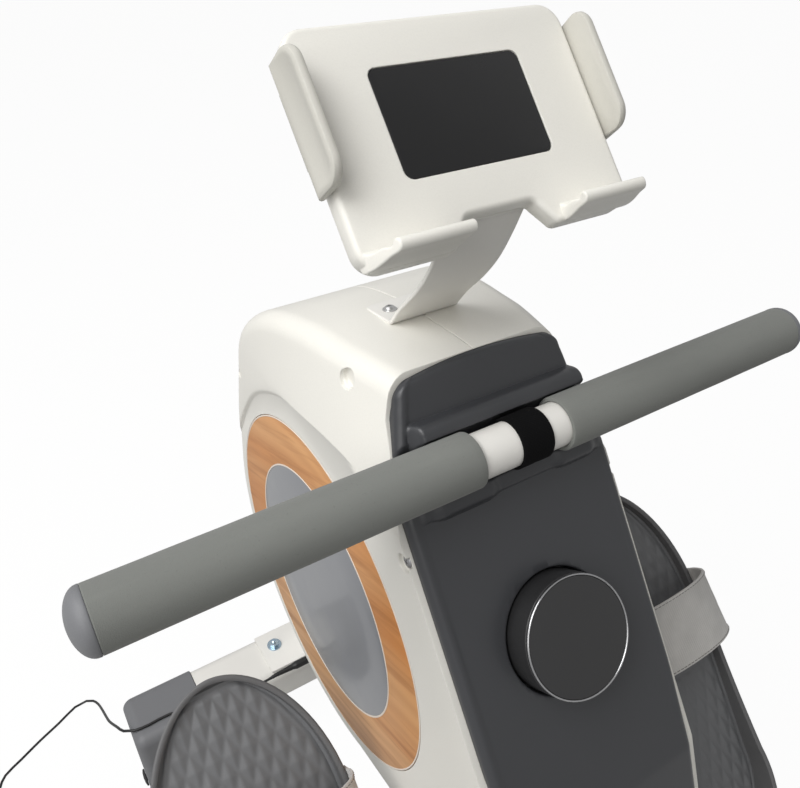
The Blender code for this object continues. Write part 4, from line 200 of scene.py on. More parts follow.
class Graph:
    """The node tree of a material or the world, with a single way to add a node."""

    def __init__(self, owner: Material | bpy.types.World, output: str = "ShaderNodeOutputMaterial") -> None:
        """Clear an owner's nodes and give it its output.

        Args:
            owner: The material or the world.
            output: Blender's name for the output node.
        """
        owner.use_nodes = True
        self.owner = owner
        self.tree = owner.node_tree
        self.tree.nodes.clear()
        self.output = self.tree.nodes.new(output)

    def node(self, kind: str, settings: dict | None = None, inputs: dict | None = None, out: int | str = 0) -> Sock:
        """Add a node.

        Args:
            kind: Blender's name for the node's type.
            settings: Properties of the node, and "stops" for a colour ramp. They are set first.
            inputs: Values or links for its sockets, by name or number.
            out: The output that is wanted.

        Returns:
            That output.
        """
        made = self.tree.nodes.new(kind)
        for key, value in (settings or {}).items():
            if key == "stops":
                self._ramp(made.color_ramp, value)
            else:
                setattr(made, key, value)
        for key, value in (inputs or {}).items():
            if isinstance(value, Sock):
                self.tree.links.new(value.link, made.inputs[key])
            elif value is not None:
                made.inputs[key].default_value = value
        return Sock(self, made.outputs[out])

    @staticmethod
    def _ramp(ramp: bpy.types.ColorRamp, stops: Iterable[tuple[float, Colour]]) -> None:
        """Set a colour ramp's stops.

        Args:
            ramp: The ramp.
            stops: Places from 0 to 1, with their colours.
        """
        for k, (place, colour) in enumerate(stops):
            stop = ramp.elements[k] if k < len(ramp.elements) else ramp.elements.new(place)
            stop.position = place
            stop.color = (*colour, 1.0)

    def place(self) -> Sock:
        """The point on the piece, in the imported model's frame at rest."""
        return self.node("ShaderNodeTexCoord", out="Object")

    def parts(self, vector: Sock) -> tuple[Sock, Sock, Sock]:
        """Split a vector into its three numbers."""
        split = self.node("ShaderNodeSeparateXYZ", inputs={0: vector}).link.node
        return tuple(Sock(self, split.outputs[k]) for k in range(3))

    def stretched(self, scale: Point) -> Sock:
        """The point on the piece, scaled for a texture."""
        return self.node("ShaderNodeMapping", inputs={"Vector": self.place(), "Scale": scale})

    def noise(self, scale: float, detail: float = 2.0, vector: Sock | None = None, rough: float = 0.5) -> Sock:
        """Soft noise from 0 to 1."""
        values = {"Vector": vector or self.place(), "Scale": scale, "Detail": detail, "Roughness": rough}
        return self.node("ShaderNodeTexNoise", inputs=values)

    def cells(self, scale: float, feature: str = "F1") -> Sock:
        """Distance in a field of cells."""
        return self.node("ShaderNodeTexVoronoi", {"feature": feature}, {"Vector": self.place(), "Scale": scale})

    def mix(self, share: Sock | float, first: Sock | Colour, second: Sock | Colour) -> Sock:
        """Blend two colours.

        Args:
            share: Share of the second, from 0 to 1.
            first: The first colour.
            second: The second colour.

        Returns:
            The blend.
        """
        colours = [colour if isinstance(colour, Sock) else (*colour, 1.0) for colour in (first, second)]
        inputs = {0: share, 6: colours[0], 7: colours[1]}
        return self.node("ShaderNodeMix", {"data_type": "RGBA"}, inputs, out=2)

    def rounded(self, radius: float) -> Sock:
        """The surface's normal with its edges eased to a radius."""
        return self.node("ShaderNodeBevel", {"samples": 4}, {"Radius": radius})

    def edges(self, radius: float) -> Sock:
        """1 along the piece's edges and 0 on its faces.

        Args:
            radius: Width of the band.

        Returns:
            The mask.
        """
        normal = self.node("ShaderNodeNewGeometry", out="Normal")
        inputs = {0: self.rounded(radius), 1: normal}
        level = self.node("ShaderNodeVectorMath", {"operation": "DOT_PRODUCT"}, inputs, out="Value")
        return level.span(0.995, 0.86)

    def bump(self, height: Sock, depth: float, normal: Sock | None = None, strength: float = 1.0) -> Sock:
        """A normal that follows a height from 0 to 1 over a depth in metres."""
        values = {"Height": height, "Distance": depth, "Strength": strength, "Normal": normal}
        return self.node("ShaderNodeBump", inputs=values)

    def surface(self, **inputs: Sock | float) -> Material:
        """Finish the material with a Principled shader.

        Args:
            inputs: Sockets by name, with _ for a space.

        Returns:
            The material.
        """
        values = {key.replace("_", " "): value for key, value in inputs.items()}
        self.finish(self.node("ShaderNodeBsdfPrincipled", inputs=values))
        return self.owner

    def finish(self, shader: Sock) -> None:
        """Link the last shader to the output."""
        self.tree.links.new(shader.link, self.output.inputs[0])


# Finishes


@dataclass(frozen=True)
class Finish:
    """What every finish has: a name, a colour and a roughness."""

    name: str
    colour: Colour
    roughness: float

    def material(self) -> Material:
        """The finish's material, made once."""
        return bpy.data.materials.get(self.name) or self.paint(Graph(bpy.data.materials.new(self.name)))

    def paint(self, graph: Graph) -> Material:
        """Build the nodes."""
        raise NotImplementedError

    def shade(self, amount: float) -> Colour:
        """The finish's colour, lighter or darker."""
        return tuple(min(1.0, c * amount) for c in self.colour)


@dataclass(frozen=True)
class Moulded(Finish):
    """Injection-moulded plastic: a fine eroded texture, faint flow marks and edges painted lighter, part wear and part
    painted highlight.
    """

    grain: float = 0.00012
    grain_size: float = 0.0009
    edge: float = 0.0006
    drift: float = 0.03
    wear: float = 1.10

    def paint(self, graph: Graph) -> Material:
        """Build the nodes.

        Args:
            graph: The node tree to build in.

        Returns:
            The material.
        """
        flow = graph.noise(9.0, 3.0)
        speckle = graph.noise(1 / self.grain_size, 2.0)
        tone = graph.mix(flow.span(0.3, 0.7), self.shade(1 - self.drift), self.shade(1 + self.drift))
        tone = graph.mix(speckle.span(0.35, 0.75) * 0.35, tone, self.shade(0.93))
        # Edges painted lighter: a worn-edge tone together with a painted highlight where a rounded edge would catch
        # light.
        tone = graph.mix(graph.edges(self.edge * 1.5) * 0.6, tone, self.shade(self.wear))
        rough = (flow * 0.08 + speckle * 0.08) + (self.roughness - 0.08)
        normal = graph.bump(speckle, self.grain, graph.rounded(self.edge), 0.6)
        return graph.surface(Base_Color=tone, Roughness=rough, Normal=normal)


@dataclass(frozen=True)
class Powder(Finish):
    """Powder-coated steel: a slight orange peel under a satin skin, and a painted highlight on its edges."""

    peel: float = 0.00006

    def paint(self, graph: Graph) -> Material:
        """Build the nodes.

        Args:
            graph: The node tree to build in.

        Returns:
            The material.
        """
        peel = graph.noise(380.0, 1.0)
        drift = graph.noise(7.0, 3.0)
        tone = graph.mix(drift.span(0.3, 0.7), self.shade(0.97), self.shade(1.03))
        # Edges painted a little lighter: a painted highlight.
        tone = graph.mix(graph.edges(0.0012) * 0.5, tone, self.shade(1.08))
        normal = graph.bump(peel, self.peel, graph.rounded(0.0008), 0.7)
        rough = drift * 0.08 + (self.roughness - 0.04)
        return graph.surface(Base_Color=tone, Roughness=rough, Normal=normal, Coat_Weight=0.15, Coat_Roughness=0.25)


@dataclass(frozen=True)
class Foam(Finish):
    """Closed-cell foam: fine cells with pinholes darkened by painted shade, faint extrusion lines and a dusty sheen."""

    cell: float = 0.0007

    def paint(self, graph: Graph) -> Material:
        """Build the nodes.

        Args:
            graph: The node tree to build in.

        Returns:
            The material.
        """
        cells = graph.cells(1 / self.cell)
        pores = graph.noise(1 / (self.cell * 2.2), 3.0)
        drift = graph.noise(30.0, 3.0, graph.stretched((0.25, 1.0, 1.0)))
        scuff = graph.noise(120.0, 2.0, graph.stretched((0.12, 1.0, 1.0)))
        tone = graph.mix(drift.span(0.3, 0.7), self.shade(0.93), self.shade(1.06))
        # Pinholes painted darker: painted shade inside them.
        tone = graph.mix(pores.span(0.62, 0.78) * 0.5, tone, self.shade(0.72))
        tone = graph.mix(scuff.span(0.60, 0.80) * 0.25, tone, self.shade(1.16))
        height = cells.span(0.0, 0.6) * 0.6 + pores * 0.4
        normal = graph.bump(height, 0.00018, None, 0.55)
        rough = drift * 0.08 + (self.roughness - 0.04)
        sheen = {"Sheen_Weight": 0.12, "Sheen_Roughness": 0.6}
        return graph.surface(Base_Color=tone, Roughness=rough, Normal=normal, **sheen)


@dataclass(frozen=True)
class Timber(Finish):
    """Printed wood foil: grain along Y, with one arched figure and dark pore lines."""

    dark: Colour
    pale: Colour
    lean: Flat = (0.928, 0.371)

    def paint(self, graph: Graph) -> Material:
        """Build the nodes.

        Args:
            graph: The node tree to build in.

        Returns:
            The material.
        """
        x, y, z = graph.parts(graph.place())
        cosine, sine = self.lean
        along = (y - AXLE_Y) * cosine - (z - AXLE_Z) * sine
        across = (z - AXLE_Z) * cosine + (y - AXLE_Y) * sine
        waver = graph.noise(9.0, 3.0, self._grain(graph, x, along * 0.35, across))
        arch = ((along - 0.035) * (along - 0.035)) * 2.2
        lines = across + waver * 0.075 + arch * across.span(0.02, 0.10)
        rings = (lines * 330.0).wave() * 0.5 + 0.5
        streak = graph.noise(110.0, 4.0, self._grain(graph, x, along * 0.045, across), 0.62)
        pores = graph.noise(240.0, 3.0, self._grain(graph, x, along * 0.050, across), 0.6)
        broad = graph.noise(7.0, 3.0, self._grain(graph, x, along * 0.22, across * 1.8))
        tone = graph.mix(broad.span(0.32, 0.68), self.colour, self.pale)
        tone = graph.mix((rings * broad.span(0.30, 0.65)) * 0.20, tone, self.dark)
        tone = graph.mix(streak.span(0.46, 0.70) * 0.42, tone, self.dark)
        tone = graph.mix(pores.span(0.58, 0.74) * 0.30, tone, self.dark)
        height = pores.span(0.58, 0.74) * -1.0 + streak * 0.3
        normal = graph.bump(height, 0.00005, graph.rounded(0.0004), 0.6)
        rough = streak * 0.08 + (self.roughness - 0.04)
        gloss = {"Coat_Weight": 0.03, "Coat_Roughness": 0.3, "Specular_IOR_Level": 0.2}
        return graph.surface(Base_Color=tone, Roughness=rough, Normal=normal, **gloss)

    @staticmethod
    def _grain(graph: Graph, x: Sock, along: Sock, across: Sock) -> Sock:
        """A point in the wood, measured along and across its grain."""
        return graph.node("ShaderNodeCombineXYZ", inputs={0: x, 1: along, 2: across})


@dataclass(frozen=True)
class Gloss(Finish):
    """A smooth, nearly mirror-flat skin with faint ripples, smudges and a painted highlight on its edges."""

    ripple: float = 0.00004
    coat: float = 0.5
    edge: float = 0.0005
    shine: float = 0.5

    def paint(self, graph: Graph) -> Material:
        """Build the nodes.

        Args:
            graph: The node tree to build in.

        Returns:
            The material.
        """
        smudge = graph.noise(22.0, 4.0)
        ripple = graph.noise(60.0, 1.0)
        tone = graph.mix(smudge.span(0.3, 0.75), self.shade(0.96), self.shade(1.05))
        # Edges painted lighter: a painted highlight.
        tone = graph.mix(graph.edges(self.edge) * 0.5, tone, self.shade(1.3))
        rough = smudge.span(0.35, 0.8, self.roughness, self.roughness + 0.10)
        normal = graph.bump(ripple, self.ripple, graph.rounded(self.edge), 0.5)
        coat = {"Coat_Weight": self.coat, "Coat_Roughness": 0.12}
        return graph.surface(Base_Color=tone, Roughness=rough, Normal=normal, Specular_IOR_Level=self.shine, **coat)


class Lay(Enum):
    """How the fine lines of a worked metal run."""

    ALONG = (1.0, 0.03, 1.0)
    ROUND = (0.15, 1.0, 1.0)
    CAST = (1.0, 1.0, 1.0)


@dataclass(frozen=True)
class Metal(Finish):
    """Bare or plated metal, with the lines its making left."""

    lay: Lay = Lay.CAST
    line_size: float = 0.0008
    depth: float = 0.00003
    tint: Colour = (1.0, 1.0, 1.0)
    bare: float = 1.0

    def paint(self, graph: Graph) -> Material:
        """Build the nodes.

        Args:
            graph: The node tree to build in.

        Returns:
            The material.
        """
        lines = graph.noise(1 / self.line_size, 3.0, graph.stretched(self.lay.value))
        cloud = graph.noise(40.0, 3.0)
        tinted = tuple(a * b for a, b in zip(self.colour, self.tint))
        tone = graph.mix(cloud.span(0.3, 0.7), self.colour, tinted)
        tone = graph.mix(lines.span(0.4, 0.7) * 0.4, tone, self.shade(0.80))
        rough = (lines * 0.12 + cloud * 0.08) + (self.roughness - 0.10)
        normal = graph.bump(lines, self.depth, graph.rounded(0.0005), 0.7)
        return graph.surface(Base_Color=tone, Roughness=rough, Normal=normal, Metallic=self.bare)


@dataclass(frozen=True)
class Woven(Finish):
    """Webbing: ribs across the strap, a plain weave with painted shade in its hollows, loose fibres with painted
    highlights, and a felt sheen.
    """

    across: Point = (1.0, 0.0, 0.0)
    along: Point = (0.0, 1.0, 0.0)
    pick: float = 0.0011
    sheen: float = 0.3
    shine: float = 0.15

    def paint(self, graph: Graph) -> Material:
        """Build the nodes.

        Args:
            graph: The node tree to build in.

        Returns:
            The material.
        """
        warp = self._along(graph, self.across)
        weft = self._along(graph, self.along)
        turn = pi / self.pick
        over = (warp * turn).wave()
        under = (weft * turn).wave()
        weave = (over * under) * 0.5 + 0.5
        fuzz = graph.noise(900.0, 3.0)
        fade = graph.noise(35.0, 3.0)
        tone = graph.mix(fade.span(0.3, 0.7), self.shade(0.92), self.shade(1.08))
        # The weave's hollows painted darker: painted shade between the threads.
        tone = graph.mix((1 - weave) * 0.35, tone, self.shade(0.70))
        # Fibre specks painted lighter: a painted highlight on loose fibres.
        tone = graph.mix(fuzz.span(0.6, 0.8) * 0.3, tone, self.shade(1.25))
        normal = graph.bump(weave * 0.7 + fuzz * 0.5, 0.00025, None, 0.7)
        rough = fuzz * 0.08 + (self.roughness - 0.04)
        sheen = {"Sheen_Weight": self.sheen, "Sheen_Roughness": 0.5}
        return graph.surface(Base_Color=tone, Roughness=rough, Normal=normal, Specular_IOR_Level=self.shine, **sheen)

    @staticmethod
    def _along(graph: Graph, direction: Point) -> Sock:
        """Distance along a direction."""
        inputs = {0: graph.place(), 1: direction}
        return graph.node("ShaderNodeVectorMath", {"operation": "DOT_PRODUCT"}, inputs, out="Value")


@dataclass(frozen=True)
class Hide(Finish):
    """Synthetic leather: a pebble of small cells split by creases painted darker as painted shade, shinier where it is
    stretched.
    """

    pebble: float = 0.0018

    def paint(self, graph: Graph) -> Material:
        """Build the nodes.

        Args:
            graph: The node tree to build in.

        Returns:
            The material.
        """
        crease = graph.cells(1 / self.pebble, "DISTANCE_TO_EDGE")
        small = graph.noise(1 / (self.pebble * 0.35), 3.0)
        wide = graph.noise(14.0, 3.0)
        # Creases painted darker: painted shade in them.
        tone = graph.mix(crease.span(0.0, 0.16), self.shade(0.62), self.colour)
        tone = graph.mix(wide.span(0.35, 0.7) * 0.5, tone, self.shade(1.25))
        rough = wide.span(0.3, 0.7, self.roughness + 0.06, self.roughness - 0.06)
        height = crease.span(0.0, 0.22) + small * 0.25
        return graph.surface(Base_Color=tone, Roughness=rough, Normal=graph.bump(height, 0.00022, None, 0.8))


@dataclass(frozen=True)
class Sheath(Finish):
    """The cord's smooth sheath: fine extrusion lines and a dull bloom."""

    def paint(self, graph: Graph) -> Material:
        """Build the nodes.

        Args:
            graph: The node tree to build in.

        Returns:
            The material.
        """
        bloom = graph.noise(90.0, 3.0)
        fine = graph.noise(2600.0, 1.0)
        tone = graph.mix(bloom.span(0.35, 0.75), self.colour, self.shade(1.5))
        rough = bloom * 0.15 + (self.roughness - 0.07)
        return graph.surface(Base_Color=tone, Roughness=rough, Normal=graph.bump(fine, 0.00003, None, 0.5))


IVORY = Moulded("ivory_moulded", srgb(232, 230, 223), 0.36, grain=0.00006, drift=0.012, wear=1.03, edge=0.0010)
IVORY_PAINT = Powder("ivory_powder", srgb(232, 230, 225), 0.38)
CREAM = Moulded("cream_moulded", srgb(197, 195, 187), 0.40, grain=0.00006, drift=0.015, wear=1.03)
CHARCOAL = Moulded("charcoal_moulded", srgb(56, 57, 60), 0.36, grain=0.00005, drift=0.04, wear=1.35, edge=0.0008)
CAP_GREY = Moulded("cap_moulded", srgb(114, 115, 118), 0.52, grain=0.00010, wear=1.12)
PEDAL = Moulded("pedal_moulded", srgb(98, 98, 99), 0.55, grain=0.00012, wear=1.22)
# The tread's copy of the pedal plastic, a little lighter: painted light on the upward-facing tread.
PEDAL_TREAD = Moulded("pedal_tread", srgb(106, 107, 109), 0.50, grain=0.00012, wear=1.3)
HANDLE_FOAM = Foam("handle_foam", srgb(119, 121, 117), 0.90)
WOOD = Timber("wood_foil", srgb(201, 134, 76), 0.46, dark=srgb(154, 94, 48), pale=srgb(218, 168, 118))
DISC = Gloss("disc_gloss", srgb(126, 128, 133), 0.30, coat=0.35)
# Pale edge rings: the inner one a pale rim at the disc's edge, the outer one a painted highlight along the pocket's
# edge.
RIM_PALE_AND_HIGHLIGHT = Gloss("rim_pale", srgb(236, 222, 208), 0.28, coat=0.3)
KNOB = Gloss("knob_satin", srgb(41, 41, 42), 0.36, coat=0.1)
GLASS = Gloss("display_gloss", srgb(25, 25, 26), 0.20, ripple=0.00001, coat=0.2, shine=0.25)
CHROME = Metal("rim_chrome", (0.42, 0.42, 0.43), 0.24, Lay.ROUND)
ZINC = Metal("zinc_blue", srgb(184, 198, 208), 0.26, tint=(0.88, 0.96, 1.03), depth=0.00002)
STEEL = Metal("turned_steel", (0.55, 0.55, 0.56), 0.32, Lay.ROUND)
SPRING_STEEL = Metal("spring_steel", (0.30, 0.31, 0.33), 0.34, Lay.ROUND)
IRON = Metal("cast_iron", (0.16, 0.16, 0.17), 0.50, Lay.CAST, line_size=0.0016, depth=0.00012, bare=0.85)
ALLOY = Metal("rail_alloy", (0.70, 0.71, 0.72), 0.30, Lay.ALONG, line_size=0.0006)
GREY_PAINT = Powder("carriage_powder", srgb(88, 88, 91), 0.45)
BLACK = Moulded("black_moulded", srgb(20, 20, 21), 0.48, wear=1.6)
RUBBER = Moulded("rubber_moulded", srgb(36, 36, 37), 0.70, grain=0.00020, wear=1.5)
CORD_SHEATH = Sheath("cord_sheath", srgb(12, 12, 13), 0.46)
BLACK_WEB = Woven("black_weave", srgb(12, 12, 13), 0.88, along=(0, 0.82, 0.57), sheen=0.0, shine=0.1)
FELT_WEB = Woven("felt_weave", srgb(202, 200, 197), 0.90, along=(0, 0.72, -0.69))
THREAD = Woven("grey_thread", srgb(120, 117, 113), 0.90, pick=0.0005, sheen=0.2)
THREAD_DARK = Woven("dark_thread", srgb(64, 64, 66), 0.85, pick=0.0005, sheen=0.1)
VINYL = Hide("seat_vinyl", srgb(44, 44, 46), 0.46)
PIPING = Hide("seat_piping", srgb(52, 52, 54), 0.40, pebble=0.0010)
SCREW_DARK = Metal("screw_steel", (0.36, 0.36, 0.37), 0.30)
SCREW_PLAIN = Metal("screw_plain", (0.60, 0.60, 0.60), 0.30)


# Mesh makers


def linked(name: str, data: bpy.types.ID) -> Object:
    """Put data in the scene as an object.

    Args:
        name: Name of the object.
        data: Its mesh, curve, lamp or camera.

    Returns:
        The object.
    """
    made = bpy.data.objects.new(name, data)
    bpy.context.scene.collection.objects.link(made)
    return made


def new_piece(name: str, mesh: Mesh, finish: Finish, body: str, slot: str, *nodes: str) -> Object:
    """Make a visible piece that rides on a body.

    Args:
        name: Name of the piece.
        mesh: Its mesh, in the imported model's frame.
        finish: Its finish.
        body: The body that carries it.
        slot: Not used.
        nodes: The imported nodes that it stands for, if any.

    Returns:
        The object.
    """
    mesh.name = name
    mesh.materials.clear()
    mesh.materials.append(finish.material())
    mesh.shade_smooth()
    mesh.set_sharp_from_angle(angle=radians(SHARP_ANGLE))
    made = linked(name, mesh)
    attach(made, body)
    if nodes:
        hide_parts(*nodes)
    LOG.info("piece %s: %d faces on %s", name, len(mesh.polygons), body)
    return made


def dress(finish: Finish, *nodes: str) -> None:
    """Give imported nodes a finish.

    Args:
        finish: The finish.
        nodes: Names of the nodes.
    """
    for name in nodes:
        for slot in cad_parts[name].material_slots:
            slot.material = finish.material()
        LOG.info("node %s: %s", name, finish.name)


def from_bmesh(bm: bmesh.types.BMesh, outward: bool = True) -> Mesh:
    """Turn a bmesh into a mesh.

    Args:
        bm: The bmesh, which is used up.
        outward: Whether its faces are turned to point out.

    Returns:
        The mesh.
    """
    if outward:
        bmesh.ops.recalc_face_normals(bm, faces=bm.faces)
    mesh = bpy.data.meshes.new("shape")
    bm.to_mesh(mesh)
    bm.free()
    return mesh


def skin(loops: Sequence[Sequence[Point]], ring: bool = False) -> Mesh:
    """Skin loops of equal point counts.

    Args:
        loops: The loops, each in order round the form.
        ring: Whether the last loop joins the first, where otherwise each end gets a face.

    Returns:
        The mesh.
    """
    bm = bmesh.new()
    rows = [[bm.verts.new(point) for point in loop] for loop in loops]
    pairs = list(zip(rows, rows[1:]))
    if ring:
        pairs.append((rows[-1], rows[0]))
    for first, second in pairs:
        for k in range(len(first)):
            after = (k + 1) % len(first)
            bm.faces.new((first[k], first[after], second[after], second[k]))
    if not ring:
        bm.faces.new(rows[0])
        bm.faces.new(rows[-1])
    return from_bmesh(bm)


def spun(profile: Outline, matrix: Matrix, steps: int = 64, ring: bool = False) -> Mesh:
    """Spin a profile of (radius, height) round the Z axis of a frame.

    Args:
        profile: The points.
        matrix: The frame it is placed in.
        steps: Sides of the round form.
        ring: Whether the profile is closed.

    Returns:
        The mesh.
    """
    bm = bmesh.new()
    verts = [bm.verts.new((radius, 0.0, height)) for radius, height in profile]
    edges = [bm.edges.new(pair) for pair in zip(verts, verts[1:])]
    if ring:
        edges.append(bm.edges.new((verts[-1], verts[0])))
    bmesh.ops.spin(bm, geom=verts + edges, cent=(0, 0, 0), axis=(0, 0, 1), angle=tau, steps=steps)
    bmesh.ops.remove_doubles(bm, verts=bm.verts, dist=WELD)
    bmesh.ops.dissolve_degenerate(bm, edges=bm.edges, dist=WELD / 10)
    mesh = from_bmesh(bm)
    mesh.transform(matrix)
    return mesh


def merged(meshes: Sequence[Mesh]) -> Mesh:
    """Put several meshes into one.

    Args:
        meshes: The meshes, which are used up.

    Returns:
        The one mesh.
    """
    bm = bmesh.new()
    for mesh in meshes:
        bm.from_mesh(mesh)
        bpy.data.meshes.remove(mesh)
    return from_bmesh(bm, False)


def heading(line: Sequence[Point], k: int) -> Vector:
    """The direction of a line at one of its points."""
    return (Vector(line[min(k + 1, len(line) - 1)]) - Vector(line[max(k - 1, 0)])).normalized()


def tube(points: Sequence[Point], radius: float | Sequence[float], sides: int = 10) -> Mesh:
    """A round tube along points, with closed ends.

    Args:
        points: The centre line.
        radius: One radius, or one for each point.
        sides: Sides of the tube.

    Returns:
        The mesh.
    """
    line = [Vector(point) for point in points]
    radii = [radius] * len(line) if isinstance(radius, float) else list(radius)
    side = (line[1] - line[0]).normalized().orthogonal().normalized()
    loops = []
    for k, here in enumerate(line):
        ahead = heading(line, k)
        side = (side - ahead * side.dot(ahead)).normalized()
        other = ahead.cross(side)
        loop = []
        for m in range(sides):
            angle = tau * m / sides
            loop.append(here + (side * cos(angle) + other * sin(angle)) * radii[k])
        loops.append(loop)
    return skin(loops)


def smooth_curve(points: Sequence[Point], spacing: float) -> Loop:
    """Points at about equal spacing on a Catmull-Rom curve through the given points.

    Args:
        points: The points it passes through.
        spacing: Distance between its points.

    Returns:
        The curve's points.
    """
    track = [Vector(point) for point in points]
    padded = [2 * track[0] - track[1]] + track + [2 * track[-1] - track[-2]]
    result = []
    for before, start, end, after in zip(padded, padded[1:], padded[2:], padded[3:]):
        steps = max(1, round((end - start).length / spacing))
        for k in range(steps):
            t = k / steps
            bend = 2 * before - 5 * start + 4 * end - after
            turn = 3 * start - before - 3 * end + after
            result.append(0.5 * (2 * start + (end - before) * t + bend * t * t + turn * t**3))
    return result + [track[-1]]


def arc(centre: Flat, radius: float, start: float, end: float, steps: int) -> list[Flat]:
    """Points on an arc in a plane, with angles in degrees.

    Args:
        centre: Its centre.
        radius: Its radius.
        start: First angle.
        end: Last angle.
        steps: Number of steps.

    Returns:
        The points.
    """
    points = []
    for k in range(steps + 1):
        angle = radians(start + (end - start) * k / steps)
        points.append((centre[0] + radius * cos(angle), centre[1] + radius * sin(angle)))
    return points


def quarter(steps: int) -> list[Flat]:
    """(cosine, sine) pairs from 0 to 90 degrees in even steps."""
    return arc((0, 0), 1, 0, 90, steps)


def side_loop(x: float, outline: Outline) -> list[Point]:
    """An outline of (y, z) machine points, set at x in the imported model's frame."""
    return [(x, y + AXLE_Y, z) for y, z in outline]


def inset(outline: Outline, distance: float) -> list[Flat]:
    """Move a counter-clockwise outline inward.

    Args:
        outline: The points, counter-clockwise.
        distance: How far, or how far outward if negative.

    Returns:
        The moved points.
    """
    result = []
    count = len(outline)
    for k in range(count):
        here = Vector(outline[k])
        first = (here - Vector(outline[k - 1])).normalized()
        second = (Vector(outline[(k + 1) % count]) - here).normalized()
        inward = Vector((-first.y, first.x))
        bisector = (inward + Vector((-second.y, second.x))).normalized()
        result.append(tuple(here + bisector * distance / max(0.5, bisector.dot(inward))))
    return result


def stitches(
    points: Sequence[Point], normal: Callable[[Vector], Vector], long: float, gap: float, radius: float
) -> Mesh:
    """A row of thread stitches that lie on a surface.

    Args:
        points: The seam's line on the surface.
        normal: Gives the surface's outward direction at a point.
        long: Length of a stitch.
        gap: Space between stitches.
        radius: Radius of the thread.

    Returns:
        The mesh of all stitches.
    """
    line = [Vector(point) for point in points]
    marks = [0.0]
    for first, second in zip(line, line[1:]):
        marks.append(marks[-1] + (second - first).length)

    def spot(mark: float) -> Vector:
        """The point at a distance along the seam.

        Args:
            mark: Distance from the seam's start.

        Returns:
            The point.
        """
        for k in range(1, len(marks)):
            if mark <= marks[k]:
                share = (mark - marks[k - 1]) / max(marks[k] - marks[k - 1], 1e-9)
                return line[k - 1].lerp(line[k], share)
        return line[-1]

    made = []
    for k in range(int(marks[-1] / (long + gap))):
        start = (k + 0.5) * (long + gap) - long / 2
        stitch = []
        for share in (0.0, 0.25, 0.75, 1.0):
            here = spot(start + long * share)
            lift = radius * (0.9 if 0.0 < share < 1.0 else -0.6)
            stitch.append(here + normal(here) * lift)
        made.append(tube(stitch, radius, 6))
    return merged(made)


def tilted(place: Point, degrees: float) -> Matrix:
    """A frame at a machine point, turned about X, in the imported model's frame."""
    return Matrix.Translation(Vector(place) + SHIFT) @ Matrix.Rotation(radians(degrees), 4, "X")


# The studio


